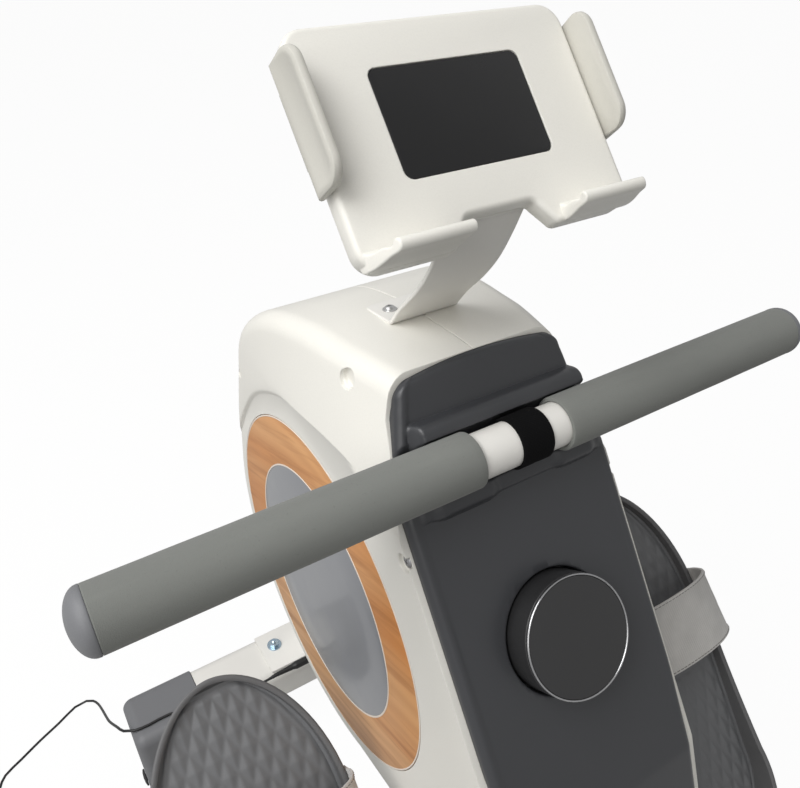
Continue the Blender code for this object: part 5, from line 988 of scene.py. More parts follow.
@dataclass
class Studio:
    """The camera, the pale floor and the soft light."""

    eye: Spot = (-0.2421, -0.3836, 0.9147)
    ahead: Spot = (0.4308, 0.6960, -0.5745)
    focal_pixels: float = 752.74
    sensor: float = 36.0
    floor_half: float = 12.0
    sky: float = 0.35
    key_power: float = 39.0
    fill_power: float = 13.0
    seen_share: float = 0.88
    gloss_share: float = 0.40
    floor_z: float = -0.0002
    floor_tones: tuple[Colour, Colour] = ((0.41, 0.41, 0.405), (0.44, 0.44, 0.435))
    floor_glow: float = 1.08
    aim: Spot = (0.0, -0.1, 0.5)

    def camera(self) -> None:
        """Set the camera to the photograph's viewing angle."""
        lens = bpy.data.cameras.new("viewpoint")
        lens.sensor_width = self.sensor
        lens.lens = self.focal_pixels / PHOTO_WIDTH * self.sensor
        lens.clip_start = 0.02
        lens.clip_end = 60.0
        ahead = Vector(self.ahead).normalized()
        right = ahead.cross(Vector((0, 0, 1))).normalized()
        up = right.cross(ahead)
        turn = Matrix((right, up, -ahead)).transposed().to_4x4()
        holder = linked("viewpoint", lens)
        holder.matrix_world = Matrix.Translation(Vector(self.eye) + SHIFT) @ turn
        bpy.context.scene.camera = holder

    def floor(self) -> None:
        """Lay a pale floor that keeps the object's shadow and looks white to the camera."""
        half = self.floor_half
        bm = bmesh.new()
        corners = ((-half, -half), (half, -half), (half, half), (-half, half))
        bm.faces.new([bm.verts.new((x, y, self.floor_z)) for x, y in corners])
        plane = linked("floor", from_bmesh(bm))
        graph = Graph(bpy.data.materials.new("floor_pale"))
        seen = self._seen(graph)
        tone = graph.mix(graph.noise(3.0, 2.0), *self.floor_tones)
        diffuse = graph.node("ShaderNodeBsdfDiffuse", inputs={"Color": tone})
        glow = graph.node("ShaderNodeEmission", inputs={"Color": (1, 1, 1, 1), "Strength": self.floor_glow})
        graph.finish(graph.node("ShaderNodeMixShader", inputs={0: seen * self.seen_share, 1: diffuse, 2: glow}))
        plane.data.materials.append(graph.owner)

    def _seen(self, graph: Graph) -> Sock:
        """1 for a ray from the camera, and part of that for one that a shiny surface sent on.

        Args:
            graph: The node tree to build in.

        Returns:
            The share.
        """
        path = graph.node("ShaderNodeLightPath").link.node
        camera = Sock(graph, path.outputs["Is Camera Ray"])
        gloss = Sock(graph, path.outputs["Is Glossy Ray"])
        through = Sock(graph, path.outputs["Is Transmission Ray"])
        return camera.most(gloss * self.gloss_share).most(through)

    def world(self) -> None:
        """White behind the object, and an even grey light from all round."""
        world = bpy.data.worlds.new("studio")
        bpy.context.scene.world = world
        graph = Graph(world, "ShaderNodeOutputWorld")
        seen = self._seen(graph)
        soft = graph.node("ShaderNodeBackground", inputs={"Color": (1.0, 0.995, 0.985, 1), "Strength": self.sky})
        white = graph.node("ShaderNodeBackground", inputs={"Color": (1, 1, 1, 1), "Strength": 1.0})
        graph.finish(graph.node("ShaderNodeMixShader", inputs={0: seen, 1: soft, 2: white}))

    def lamp(self, name: str, place: Point, size: float, power: float, tint: Colour = (1, 1, 1)) -> None:
        """Hang a square soft lamp that looks at the machine.

        Args:
            name: Name of the lamp.
            place: Where it hangs.
            size: Length of its side.
            power: Its power in watts.
            tint: Its colour.
        """
        light = bpy.data.lights.new(name, "AREA")
        light.shape = "SQUARE"
        light.size = size
        light.energy = power
        light.color = tint
        holder = linked(name, light)
        holder.location = Vector(place) + SHIFT
        holder.rotation_mode = "QUATERNION"
        holder.rotation_quaternion = (Vector(self.aim) - Vector(place)).to_track_quat("-Z", "Y")

    def build(self) -> None:
        """Set the whole studio up."""
        bpy.context.scene.view_settings.view_transform = "Standard"
        self.camera()
        self.floor()
        self.world()
        self.lamp("key", (-1.3, 0.0, 2.4), 1.6, self.key_power)
        self.lamp("fill", (-1.4, -0.9, 1.7), 1.5, self.fill_power, (1.0, 0.99, 0.97))


# Power lead


@dataclass
class PowerLead:
    """The plug, its lead over the left end cap, the coil that the view leaves out, and the adapter."""

    radius: float = 0.0015
    lift: float = 0.0003
    plug_y: float = 0.155
    plug_z: float = 0.125
    plug_end: float = -0.0786
    cap_top: float = 0.115
    coil_x: float = -0.4425
    coil_y: float = 0.205
    coil_r: float = 0.0225
    pitch: float = 0.0035
    turns: float = 6.25
    steps: int = 24
    exit_run: float = 0.034
    boot_long: float = 0.0120
    spacing: float = 0.0105
    tie_width: float = 0.006
    tie_turn: float = 205.0
    drop: tuple[Spot, ...] = (
        (-0.2564, 0.1862, 0.1150), (-0.2616, 0.2029, 0.1040), (-0.2677, 0.2300, 0.0820), (-0.2703, 0.2550, 0.0600),
        (-0.2730, 0.2854, 0.0360), (-0.2763, 0.3131, 0.0150), (-0.2812, 0.3290, 0.0050),
    )
    along_floor: Table = (
        (-0.2890, 0.3360), (-0.3040, 0.3347), (-0.3269, 0.3221), (-0.3522, 0.3098), (-0.3769, 0.2961),
        (-0.3972, 0.2847), (-0.4060, 0.2700), (-0.4140, 0.2450),
    )

    def route(self) -> Loop:
        """The free stretch, from the plug over the end cap to the floor and on to the coil.

        Returns:
            Its points, from the plug on.
        """
        top = self.cap_top + self.radius + self.lift
        floor = self.radius + self.lift
        start = self.plug_end - self.lift
        edge = self.coil_x + self.coil_r
        side = self.coil_y + 4 * self.radius
        points = [(start, self.plug_y, self.plug_z), (start - 0.004, self.plug_y, self.plug_z)]
        points += [(-0.105, 0.1545, 0.1235), (-0.140, 0.1580, 0.1195), (-0.175, 0.1680, top + 0.0006)]
        points += [(-0.2057, 0.1780, top), (-0.2297, 0.1774, top), (-0.2460, 0.1790, top + 0.0002)]
        points += self.drop
        points += [(x, y, floor) for x, y in (*self.along_floor, (edge, side + 0.006), (edge, side + self.lift))]
        return smooth_curve(points, self.spacing)

    def coil(self) -> Loop:
        """Piled loops: a spiral in on the floor, a climb where it reverses, a spiral out on top.

        Returns:
            Their points, up to the adapter.
        """
        low = self.radius + self.lift
        count = round(self.turns * self.steps)
        middle = self.turns / 2
        points = []
        for k in range(count + 1):
            turns = self.turns * k / count
            angle = -tau * turns
            away = turns - middle
            radius = self.coil_r - self.pitch * (middle - sqrt(away * away + 0.01))
            z = low + self.pitch * ease(away / 0.5 + 0.5)
            points.append((self.coil_x + radius * cos(angle), self.coil_y + radius * sin(angle), z))
        angle = tau * self.turns - pi / 2
        way = Vector((-cos(angle), sin(angle), 0.0))
        last = Vector(points[-1])
        for share in (0.1, 0.4, 0.7, 1.0):
            points.append(last + way * self.exit_run * share)
        return [Vector(point) for point in points]

    def whole(self) -> Loop:
        """The lead's whole centre line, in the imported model's frame."""
        return [point + SHIFT for point in self.route()[:-1] + self.coil()]

    def build(self) -> None:
        """Make the lead and what is on it."""
        line = self.whole()
        curve = bpy.data.curves.new("power_lead", "CURVE")
        curve.dimensions = "3D"
        curve.bevel_depth = self.radius
        curve.bevel_resolution = 4
        curve.use_fill_caps = True
        spline = curve.splines.new("POLY")
        spline.points.add(len(line) - 1)
        for spot, point in zip(spline.points, line):
            spot.co = (*point, 1.0)
        spline.use_smooth = True
        curve.materials.append(CORD_SHEATH.material())
        lead = linked("power_lead", curve)
        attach(lead, "frame")
        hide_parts("power_cord", "cord_coil")
        boots = [self.boot("plug_boot", line[:12]), self.boot("adapter_boot", line[:-12:-1])]
        tie = self.tie()
        dress(BLACK, "dc_plug", "dc_socket", "adapter")
        length = sum((b - a).length for a, b in zip(line, line[1:]))

    def boot(self, name: str, line: Sequence[Vector]) -> Object:
        """A ribbed strain relief that tapers along the lead's first stretch.

        Args:
            name: Name of the piece.
            line: The lead's points from where it leaves the plug or the adapter.

        Returns:
            The piece.
        """
        fine = smooth_curve(line, 0.0011)
        kept = list(takewhile(lambda point: (point - fine[0]).length <= self.boot_long, fine))
        radii = []
        for k in range(len(kept)):
            share = k / (len(kept) - 1)
            rib = 0.00028 if k % 3 != 0 and share < 0.9 else 0.0
            radii.append(self.radius + 0.0009 - 0.0007 * share + rib)
        return new_piece(name, tube(kept, radii, 16), BLACK, "frame", "cord_rubber")

    def tie(self) -> Object:
        """A flat tie round the coil's turns.

        Returns:
            The piece.
        """
        angle = radians(self.tie_turn)
        way = Vector((cos(angle), sin(angle), 0.0))
        side = Vector((-way.y, way.x, 0.0))
        centre = Vector((self.coil_x, self.coil_y, 0.0)) + SHIFT
        inner = self.coil_r - self.pitch * self.turns / 2 - self.radius - 0.0012
        outer = self.coil_r + self.radius + 0.0012
        top = self.lift + 2 * self.radius + self.pitch + 0.0003
        band = [(inner, 0.00004), (outer, 0.00004), (outer + 0.0006, 0.0012), (outer + 0.0004, top - 0.001)]
        band += [(outer - 0.0012, top + 0.0003), (inner + 0.0012, top + 0.0003), (inner - 0.0004, top - 0.001)]
        band += [(inner - 0.0006, 0.0012)]
        slim = inset(band, 0.00022)
        loops = []
        for shift, points in ((-0.5, band), (0.5, band), (0.5, slim), (-0.5, slim)):
            loops.append([centre + way * r + side * self.tie_width * shift + Vector((0, 0, z)) for r, z in points])
        return new_piece("cord_tie", skin(loops, ring=True), BLACK_WEB, "frame", "black_webbing")


# Solid shaping


def settled(mesh: Mesh, *changes: tuple[str, dict]) -> Mesh:
    """Apply modifiers to a mesh.

    Args:
        mesh: The mesh, which is used up.
        changes: Each modifier's type and settings.

    Returns:
        The new mesh.
    """
    work = linked("work", mesh)
    for kind, settings in changes:
        modifier = work.modifiers.new(kind.lower(), kind)
        for key, value in settings.items():
            setattr(modifier, key, value)
    bpy.context.view_layer.update()
    evaluated = work.evaluated_get(bpy.context.evaluated_depsgraph_get())
    result = bpy.data.meshes.new_from_object(evaluated)
    bpy.data.objects.remove(work)
    bpy.data.meshes.remove(mesh)
    return result


def combined(mesh: Mesh, operation: str, *tools: Mesh) -> Mesh:
    """Join tools to a mesh or cut them from it, one after another.

    Args:
        mesh: The mesh, which is used up.
        operation: Blender's name for the operation.
        tools: The tools, which are used up.

    Returns:
        The new mesh.
    """
    for tool in tools:
        holder = linked("tool", tool)
        settings = {"object": holder, "operation": operation, "solver": "EXACT"}
        mesh = settled(mesh, ("BOOLEAN", settings))
        bpy.data.objects.remove(holder)
        bpy.data.meshes.remove(tool)
    return mesh


def cut(mesh: Mesh, *tools: Mesh) -> Mesh:
    """Take tools away from a mesh."""
    return combined(mesh, "DIFFERENCE", *tools)


def joined(mesh: Mesh, *tools: Mesh) -> Mesh:
    """Unite tools with a mesh."""
    return combined(mesh, "UNION", *tools)


def eased(mesh: Mesh, width: float) -> Mesh:
    """Round a mesh's sharp edges."""
    settings = {"width": width, "segments": 2, "limit_method": "ANGLE", "angle_limit": radians(35.0)}
    return settled(mesh, ("BEVEL", settings))


def extruded(outline: Outline, low: float, high: float, matrix: Matrix) -> Mesh:
    """Extrude an outline in a frame's XY plane along its Z axis.

    Args:
        outline: The points, counter-clockwise.
        low: Where it starts.
        high: Where it ends.
        matrix: The frame it is placed in.

    Returns:
        The mesh.
    """
    mesh = skin([[(x, y, level) for x, y in outline] for level in (low, high)])
    mesh.transform(matrix)
    return mesh


def block(x: Point, y: Point, z: Point, matrix: Matrix) -> Mesh:
    """A box between limits on each axis of a frame."""
    outline = [(x[0], y[0]), (x[1], y[0]), (x[1], y[1]), (x[0], y[1])]
    return extruded(outline, z[0], z[1], matrix)


def rod(radius: float, low: float, high: float, matrix: Matrix, sides: int = 48) -> Mesh:
    """A cylinder along a frame's Z axis."""
    return extruded(arc((0, 0), radius, 0, 360 - 360 / sides, sides - 1), low, high, matrix)


def rounded_box(a: Point, b: Point, radius: float, steps: int = 8) -> list[Flat]:
    """A rounded rectangle's outline, counter-clockwise.

    Args:
        a: Its limits on the first axis.
        b: Its limits on the second axis.
        radius: Radius of its corners.
        steps: Steps in each corner.

    Returns:
        The points.
    """
    outline = arc((a[1] - radius, b[0] + radius), radius, 270, 360, steps)
    outline += arc((a[1] - radius, b[1] - radius), radius, 0, 90, steps)
    outline += arc((a[0] + radius, b[1] - radius), radius, 90, 180, steps)
    return outline + arc((a[0] + radius, b[0] + radius), radius, 180, 270, steps)


def shrunk(outline: Outline, depths: Sequence[float]) -> list[Flat]:
    """Move each point of a counter-clockwise outline inward by its own distance."""
    ways = [Vector(p) - Vector(q) for p, q in zip(inset(outline, 0.001), outline)]
    return [tuple(Vector(q) + way * (depth / 0.001)) for q, way, depth in zip(outline, ways, depths)]


def smooth_plane(points: Outline, spacing: float) -> list[Flat]:
    """A smooth curve through points of a plane."""
    return [(p.x, p.y) for p in smooth_curve([(a, b, 0.0) for a, b in points], spacing)]


def other_side(mesh: Mesh, sign: int) -> Mesh:
    """Mirror a mesh to the left when the sign is -1.

    Args:
        mesh: A mesh of the right side.
        sign: -1 for left, 1 for right.

    Returns:
        The same mesh.
    """
    if sign < 0:
        mesh.transform(Matrix.Scale(-1, 4, (1, 0, 0)))
        mesh.flip_normals()
    return mesh


def along_x(sign: int, y: float, z: float, x: float = 0.0) -> Matrix:
    """A frame whose Z axis points outward to one side of the machine."""
    place = Matrix.Translation(Vector((sign * x, y, z)) + SHIFT)
    return place @ Matrix.Rotation(radians(90 * sign), 4, "Y")


def reworked(node: str, name: str, finish: Finish, body: str, slot: str, edge: float = 0.0008) -> Object:
    """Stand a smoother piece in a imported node's place, with its edges rounded.

    Args:
        node: The node.
        name: Name of the new piece.
        finish: Its finish.
        body: The body that carries it.
        slot: Its material slot.
        edge: Radius of its edges.

    Returns:
        The piece.
    """
    bm = bmesh.new()
    bm.from_mesh(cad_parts[node].data)
    bmesh.ops.remove_doubles(bm, verts=bm.verts, dist=WELD)
    bmesh.ops.dissolve_limit(bm, angle_limit=radians(0.6), verts=bm.verts, edges=bm.edges)
    return new_piece(name, eased(from_bmesh(bm, False), edge), finish, body, slot, node)


def cross_screw(matrix: Matrix, radius: float, height: float) -> Mesh:
    """A pan-head screw with a cross recess, its head standing on the frame's XY plane.

    Args:
        matrix: The frame it is placed in.
        radius: The head's radius.
        height: The head's height.

    Returns:
        The mesh.
    """
    profile = [(0.0, -0.0002), (radius, -0.0002), (radius, height * 0.25)]
    profile += [(radius * (0.25 + 0.75 * c), height * (0.25 + 0.75 * s)) for c, s in arc((0, 0), 1, 20, 80, 3)]
    head = spun([*profile, (0.0, height)], matrix, 32)
    arm, slim = radius * 0.52, radius * 0.11
    bars = [block((-a, a), (-b, b), (height * 0.35, height * 2), matrix) for a, b in ((arm, slim), (slim, arm))]
    return cut(head, *bars)


def dome_nut(matrix: Matrix, radius: float) -> Mesh:
    """A domed nut on its washer, on the frame's XY plane.

    Args:
        matrix: The frame it is placed in.
        radius: Radius of its corners.

    Returns:
        The mesh.
    """
    thick = 0.0014
    washer = [(0, 0), (radius * 1.5, 0), (radius * 1.52, thick * 0.5), (radius * 1.48, thick), (0, thick)]
    hexagon = extruded(arc((0, 0), radius, 12, 312, 5), thick, thick + radius * 0.75, matrix)
    dome = [(0, thick)] + [(radius * 0.80 * c, thick + radius * (0.75 + 0.72 * s)) for c, s in quarter(8)]
    dome[-1] = (0, dome[-1][1])
    return merged([spun(washer, matrix, 40), eased(hexagon, 0.0004), spun(dome, matrix, 32)])


# Face of the machine, shared by the housing and its cover


@dataclass(frozen=True)
class FacePlane:
    """The sloping front: its straight part leans back, its tail is steeper."""

    y: float = -0.1818
    z: float = 0.5251
    lean: float = 35.23
    tail_lean: float = 22.5
    top: float = 0.1835
    bend: float = -0.117
    tail: float = 0.113
    halves: Table = (
        (-0.117, 0.0730), (-0.060, 0.0765), (0.100, 0.0765), (0.120, 0.0735),
        (0.140, 0.0690), (0.155, 0.0650), (0.170, 0.0615), (0.1835, 0.0605),
    )

    def on_face(self, s: float, out: float) -> Flat:
        """(y, z) of a point s up the slope and out toward the rower.

        Args:
            s: Height up the slope from the knob.
            out: Distance out of the face.

        Returns:
            The point.
        """
        lean = radians(self.lean)
        y = self.y + sin(lean) * s - cos(lean) * out
        return y, self.z + cos(lean) * s + sin(lean) * out

    def on_tail(self, t: float, out: float) -> Flat:
        """(y, z) of a point t down the tail below the bend.

        Args:
            t: Distance down the tail.
            out: Distance out of it.

        Returns:
            The point.
        """
        lean = radians(self.tail_lean)
        y, z = self.on_face(self.bend, 0.0)
        y += -sin(lean) * t - cos(lean) * out
        return y, z - cos(lean) * t + sin(lean) * out

    def spot(self, x: float, s: float, out: float) -> Spot:
        """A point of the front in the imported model's frame, with s below the bend running down the tail.

        Args:
            x: Distance to the side.
            s: Height up the slope from the knob.
            out: Distance out of the face.

        Returns:
            The point.
        """
        if s >= self.bend:
            y, z = self.on_face(s, out)
        else:
            y, z = self.on_tail(self.bend - s, out)
        return x, y + AXLE_Y, z

    def half_width(self, s: float) -> float:
        """Half the cover's width at a height."""
        return reading(self.halves, s)

    @staticmethod
    def back(s: float, deep: float) -> float:
        """How far out the back of the cover is at a height, where its flat part is deep."""
        return deep + 0.011 * clamp((s - 0.160) / 0.030)

    def across(self, half: float, s: float, top: float, low: float) -> list[Point]:
        """A rectangle across the front at a height, from top to low out from the face."""
        return [self.spot(x, s, out) for x, out in ((-half, top), (half, top), (half, low), (-half, low))]

    def matrix(self) -> Matrix:
        """The face's frame: Y up the slope, Z toward the rower, at the knob's centre."""
        return tilted((0, self.y, self.z), 90 - self.lean)


FACE = FacePlane()


# Housing


@dataclass
class Housing:
    """The two ivory shells, their wood rings and grey discs, and the screws in their wells."""

    side_x: float = 0.084
    recess_x: float = 0.081
    wall: float = 0.0040
    flange: float = 0.0036
    split: float = 0.00015
    nose_r: float = 0.160
    top_edge: float = 0.013
    front_edge: float = 0.012
    nose_edge: float = 0.008
    slope: float = 0.0060
    ring_r: float = 0.1493
    ring_t: float = 0.0025
    disc_r: float = 0.1072
    well_depth: float = 0.0032
    cover_back: float = -0.0073
    round_steps: int = 192
    nose_turn: Flat = (-111.0, 12.0)
    belly: Table = ((-0.295, 0.3250), (-0.200, 0.3090), (-0.104, 0.2930))
    front_y: float = -0.40
    shoulder: Table = (
        (0.1450, 0.5220), (0.1320, 0.5780), (0.1195, 0.6135), (0.0960, 0.6385), (0.0610, 0.6580),
        (0.0130, 0.6698), (-0.0216, 0.6732), (-0.0654, 0.6759), (-0.1250, 0.6755),
    )
    ridge: Table = (
        (0.175, 0.4250), (0.1610, 0.4700), (0.1385, 0.5122), (0.0958, 0.5663), (0.0456, 0.5965),
        (0.0065, 0.6045), (-0.0311, 0.6101), (-0.0724, 0.6125), (-0.160, 0.6090),
    )
    wells: tuple[tuple[float, float, float, float], ...] = (
        (-0.045, 0.6605, 0.0064, 0.0700), (-0.127, 0.581, 0.0060, 0.081), (0.122, 0.576, 0.0042, 0.0835),
    )
    high_half: Table = (
        (-0.120, 0.0570), (-0.080, 0.0590), (-0.040, 0.0675), (0.000, 0.0715),
        (0.050, 0.0770), (0.100, 0.0820), (0.140, 0.0840),
    )
    lean_start: Table = ((-0.120, 0.585), (-0.090, 0.590), (-0.060, 0.606))
    crown_z: float = 0.676
    grid_z: tuple[float, float, int] = (0.585, 0.006, 16)
    grid_y: tuple[float, float, int] = (-0.150, 0.012, 26)
    lean_from: float = 0.05
    slot: tuple[Flat, Flat, Flat] = ((0.0545, 0.0595), (-0.055, 0.055), (0.250, 0.300))

    def build(self) -> None:
        """Mould the shells and set what they hold."""
        shell = self.shell()
        for side in Side:
            half = other_side(shell.copy(), side.value)
            new_piece(f"housing_{side}", half, IVORY, "frame", "ivory_plastic", f"shell_{side}")
            self.ring_and_disc(side)
            self.screws(side)
        bpy.data.meshes.remove(shell)

    def outline(self) -> tuple[list[Flat], list[float]]:
        """Side outline, counter-clockwise, with the radius of its edge at each point.

        Returns:
            The points and the radii.
        """
        nose = arc((0.0, AXLE_Z), self.nose_r, *self.nose_turn, 48)
        crown = smooth_plane([nose[-1], *self.shoulder], 0.008)
        low = FACE.on_tail(FACE.tail + 0.03, 0.03)[1]
        outline = nose[:-1] + crown + [(self.front_y, 0.60), (self.front_y, low), *self.belly]
        radii = []
        for y, z in outline:
            high = self.front_edge + (self.top_edge - self.front_edge) * clamp((y + 0.06) / 0.06)
            radii.append(self.nose_edge + (high - self.nose_edge) * ease((z - 0.52) / 0.07))
        return outline, radii

    def half_width(self, y: float, z: float) -> float:
        """Half the housing's width at a point of its side: it narrows toward the top."""
        start = reading(self.lean_start, y)
        return self.side_x + (reading(self.high_half, y) - self.side_x) * clamp((z - start) / (self.crown_z - start))

    def leaned(self, mesh: Mesh) -> Mesh:
        """Cut a form's upper half into a grid, and lean its side inward.

        Args:
            mesh: The mesh, which is used up.

        Returns:
            The leaned mesh.
        """
        bm = bmesh.new()
        bm.from_mesh(mesh)
        bpy.data.meshes.remove(mesh)
        low, rise, rows = self.grid_z
        back, pace, columns = self.grid_y
        levels = [((0, 0, low + rise * k), (0, 0, 1)) for k in range(rows)]
        levels += [((0, AXLE_Y + back + pace * k, 0), (0, 1, 0)) for k in range(columns)]
        for spot, normal in levels:
            geom = bm.verts[:] + bm.edges[:] + bm.faces[:]
            bmesh.ops.bisect_plane(bm, geom=geom, plane_co=spot, plane_no=normal)
        for vert in bm.verts:
            x, y, z = vert.co
            if x > 0:
                vert.co.x -= (self.side_x - self.half_width(y - AXLE_Y, z)) * min(1.0, x / self.lean_from)
        return from_bmesh(bm)

    def front(self, back: float) -> Mesh:
        """Everything on the rower's side of a surface behind the face.

        Args:
            back: How far out the surface is.

        Returns:
            The tool that cuts it away.
        """
        marks = (FACE.top + 0.08, 0.190, 0.160, FACE.bend)
        slope = [FACE.on_face(s, FACE.back(s, back)) for s in marks]
        low = FACE.on_tail(FACE.tail + 0.10, back)
        outline = [*slope, low, (-0.60, low[1]), (-0.60, slope[0][1])]
        return skin([side_loop(x, outline) for x in (-0.02, self.side_x + 0.02)])

    def shell(self) -> Mesh:
        """The right half, hollow, with its wells, its recess and the opening behind the cover.

        Returns:
            The shell.
        """
        outline, radii = self.outline()
        loops = []
        for c, s in reversed(quarter(9)):
            points = shrunk(outline, [r * (1 - c) for r in radii])
            loops.append([(self.side_x - r + r * s, y + AXLE_Y, z) for r, (y, z) in zip(radii, points)])
        loops += [side_loop(self.split + 0.0007, outline), side_loop(self.split, inset(outline, 0.0006))]
        body = self.leaned(skin(loops))
        inner = inset(outline, self.wall)
        end = self.recess_x - self.wall
        hollow = [side_loop(-0.01, inner), side_loop(end - 0.01, inner)]
        hollow += [side_loop(end - 0.003, inset(inner, 0.003)), side_loop(end, inset(inner, 0.010))]
        cavity = cut(self.leaned(skin(hollow)), self.front(self.cover_back - self.flange))
        outside = self.side_x + 0.02
        ridge = smooth_plane(self.ridge, 0.006)
        close = [(-0.45, 0.60), (-0.45, 0.20), (0.225, 0.20), (0.225, 0.425)]
        steps = ((self.recess_x, 0.0), (self.recess_x + 0.0005, 0.0010), (self.side_x - 0.0010, 0.0028))
        steps += ((self.side_x - 0.0003, 0.0040), (self.side_x, self.slope), (outside, self.slope))
        recess = [side_loop(x, [(y, z + grow) for y, z in ridge] + close) for x, grow in steps]
        pocket = rod(self.ring_r + 0.0006, self.recess_x - self.ring_t - 0.0003, outside, self.axle(1), 160)
        across, along, upright = self.slot
        slot = block(across, [AXLE_Y + y for y in along], upright, IN_PLACE)
        tools = [self.front(self.cover_back), skin(recess), pocket, slot]
        for y, z, radius, level in self.wells:
            floor = level - self.well_depth
            profile = [(0, floor), (radius - 0.0005, floor), (radius, floor + 0.0005), (radius, level - 0.0006)]
            profile += [(radius + 0.0006, level), (radius + 0.0010, outside), (0, outside)]
            tools.append(spun(profile, along_x(1, y, z), 40))
        tools += [cavity, self.opening()]
        return cut(body, *tools)

    def opening(self) -> Mesh:
        """The room behind the cover, a little smaller than the cover.

        Returns:
            The tool that cuts it.
        """
        marks = [FACE.top - 0.014, 0.150, 0.100, -0.060, FACE.bend + 0.001]
        marks += [FACE.bend - 0.004, FACE.bend - FACE.tail + 0.008]
        return skin([FACE.across(FACE.half_width(s) - 0.008, s, 0.01, -0.05) for s in marks])

    @staticmethod
    def axle(sign: int) -> Matrix:
        """The frame of the drive axle's line, outward to one side."""
        return along_x(sign, 0.0, AXLE_Z)

    def ring_and_disc(self, side: Side) -> None:
        """The foiled ring, its pale edges, one of them a painted highlight, and the slightly domed disc.

        Args:
            side: Its side.
        """
        low, top = self.recess_x - self.ring_t, self.recess_x
        small, big = self.disc_r, self.ring_r
        axle = self.axle(side.value)
        ring = [(small + 0.0004, low), (big, low), (big, top - 0.0009), (big - 0.0003, top - 0.0003)]
        ring += [(big - 0.0010, top), (small + 0.0010, top), (small + 0.0004, top - 0.0005)]
        mesh = spun(ring, axle, self.round_steps, ring=True)
        new_piece(f"ring_{side}", mesh, WOOD, "frame", "wood", f"wood_ring_{side}")
        disc = [(0, low), (small, low), (small, top - 0.0008), (small - 0.0004, top - 0.0003), (small - 0.0012, top)]
        disc += [(small * 0.66, top + 0.0002), (small * 0.33, top + 0.0003), (0, top + 0.0004)]
        mesh = spun(disc, axle, self.round_steps)
        new_piece(f"disc_{side}", mesh, DISC, "frame", "disc_plastic", f"side_disc_{side}")
        # Pale rings: a pale rim at the disc's edge, and a painted highlight along the ring's outer edge.
        meshes = []
        high = top + 0.0003
        for inner, width in ((small - 0.0006, 0.0014), (big - 0.0012, 0.0012)):
            edge = [(inner, top - 0.0006), (inner + width, top - 0.0006), (inner + width, high - 0.0002)]
            edge += [(inner + width * 0.7, high), (inner + width * 0.3, high), (inner, high - 0.0002)]
            meshes.append(spun(edge, axle, self.round_steps, ring=True))
        new_piece(f"ring_edges_{side}", merged(meshes), RIM_PALE_AND_HIGHLIGHT, "frame", "ivory_plastic")

    def screws(self, side: Side) -> None:
        """A cross-recessed screw at the bottom of each small well.

        Args:
            side: Its side.
        """
        meshes = []
        for y, z, radius, level in self.wells[1:]:
            place = along_x(side.value, y, z, level - self.well_depth)
            meshes.append(cross_screw(place, radius * 0.70, 0.0012))
        new_piece(f"shell_screws_{side}", merged(meshes), SCREW_DARK, "frame", "steel")


# Face cover and knob


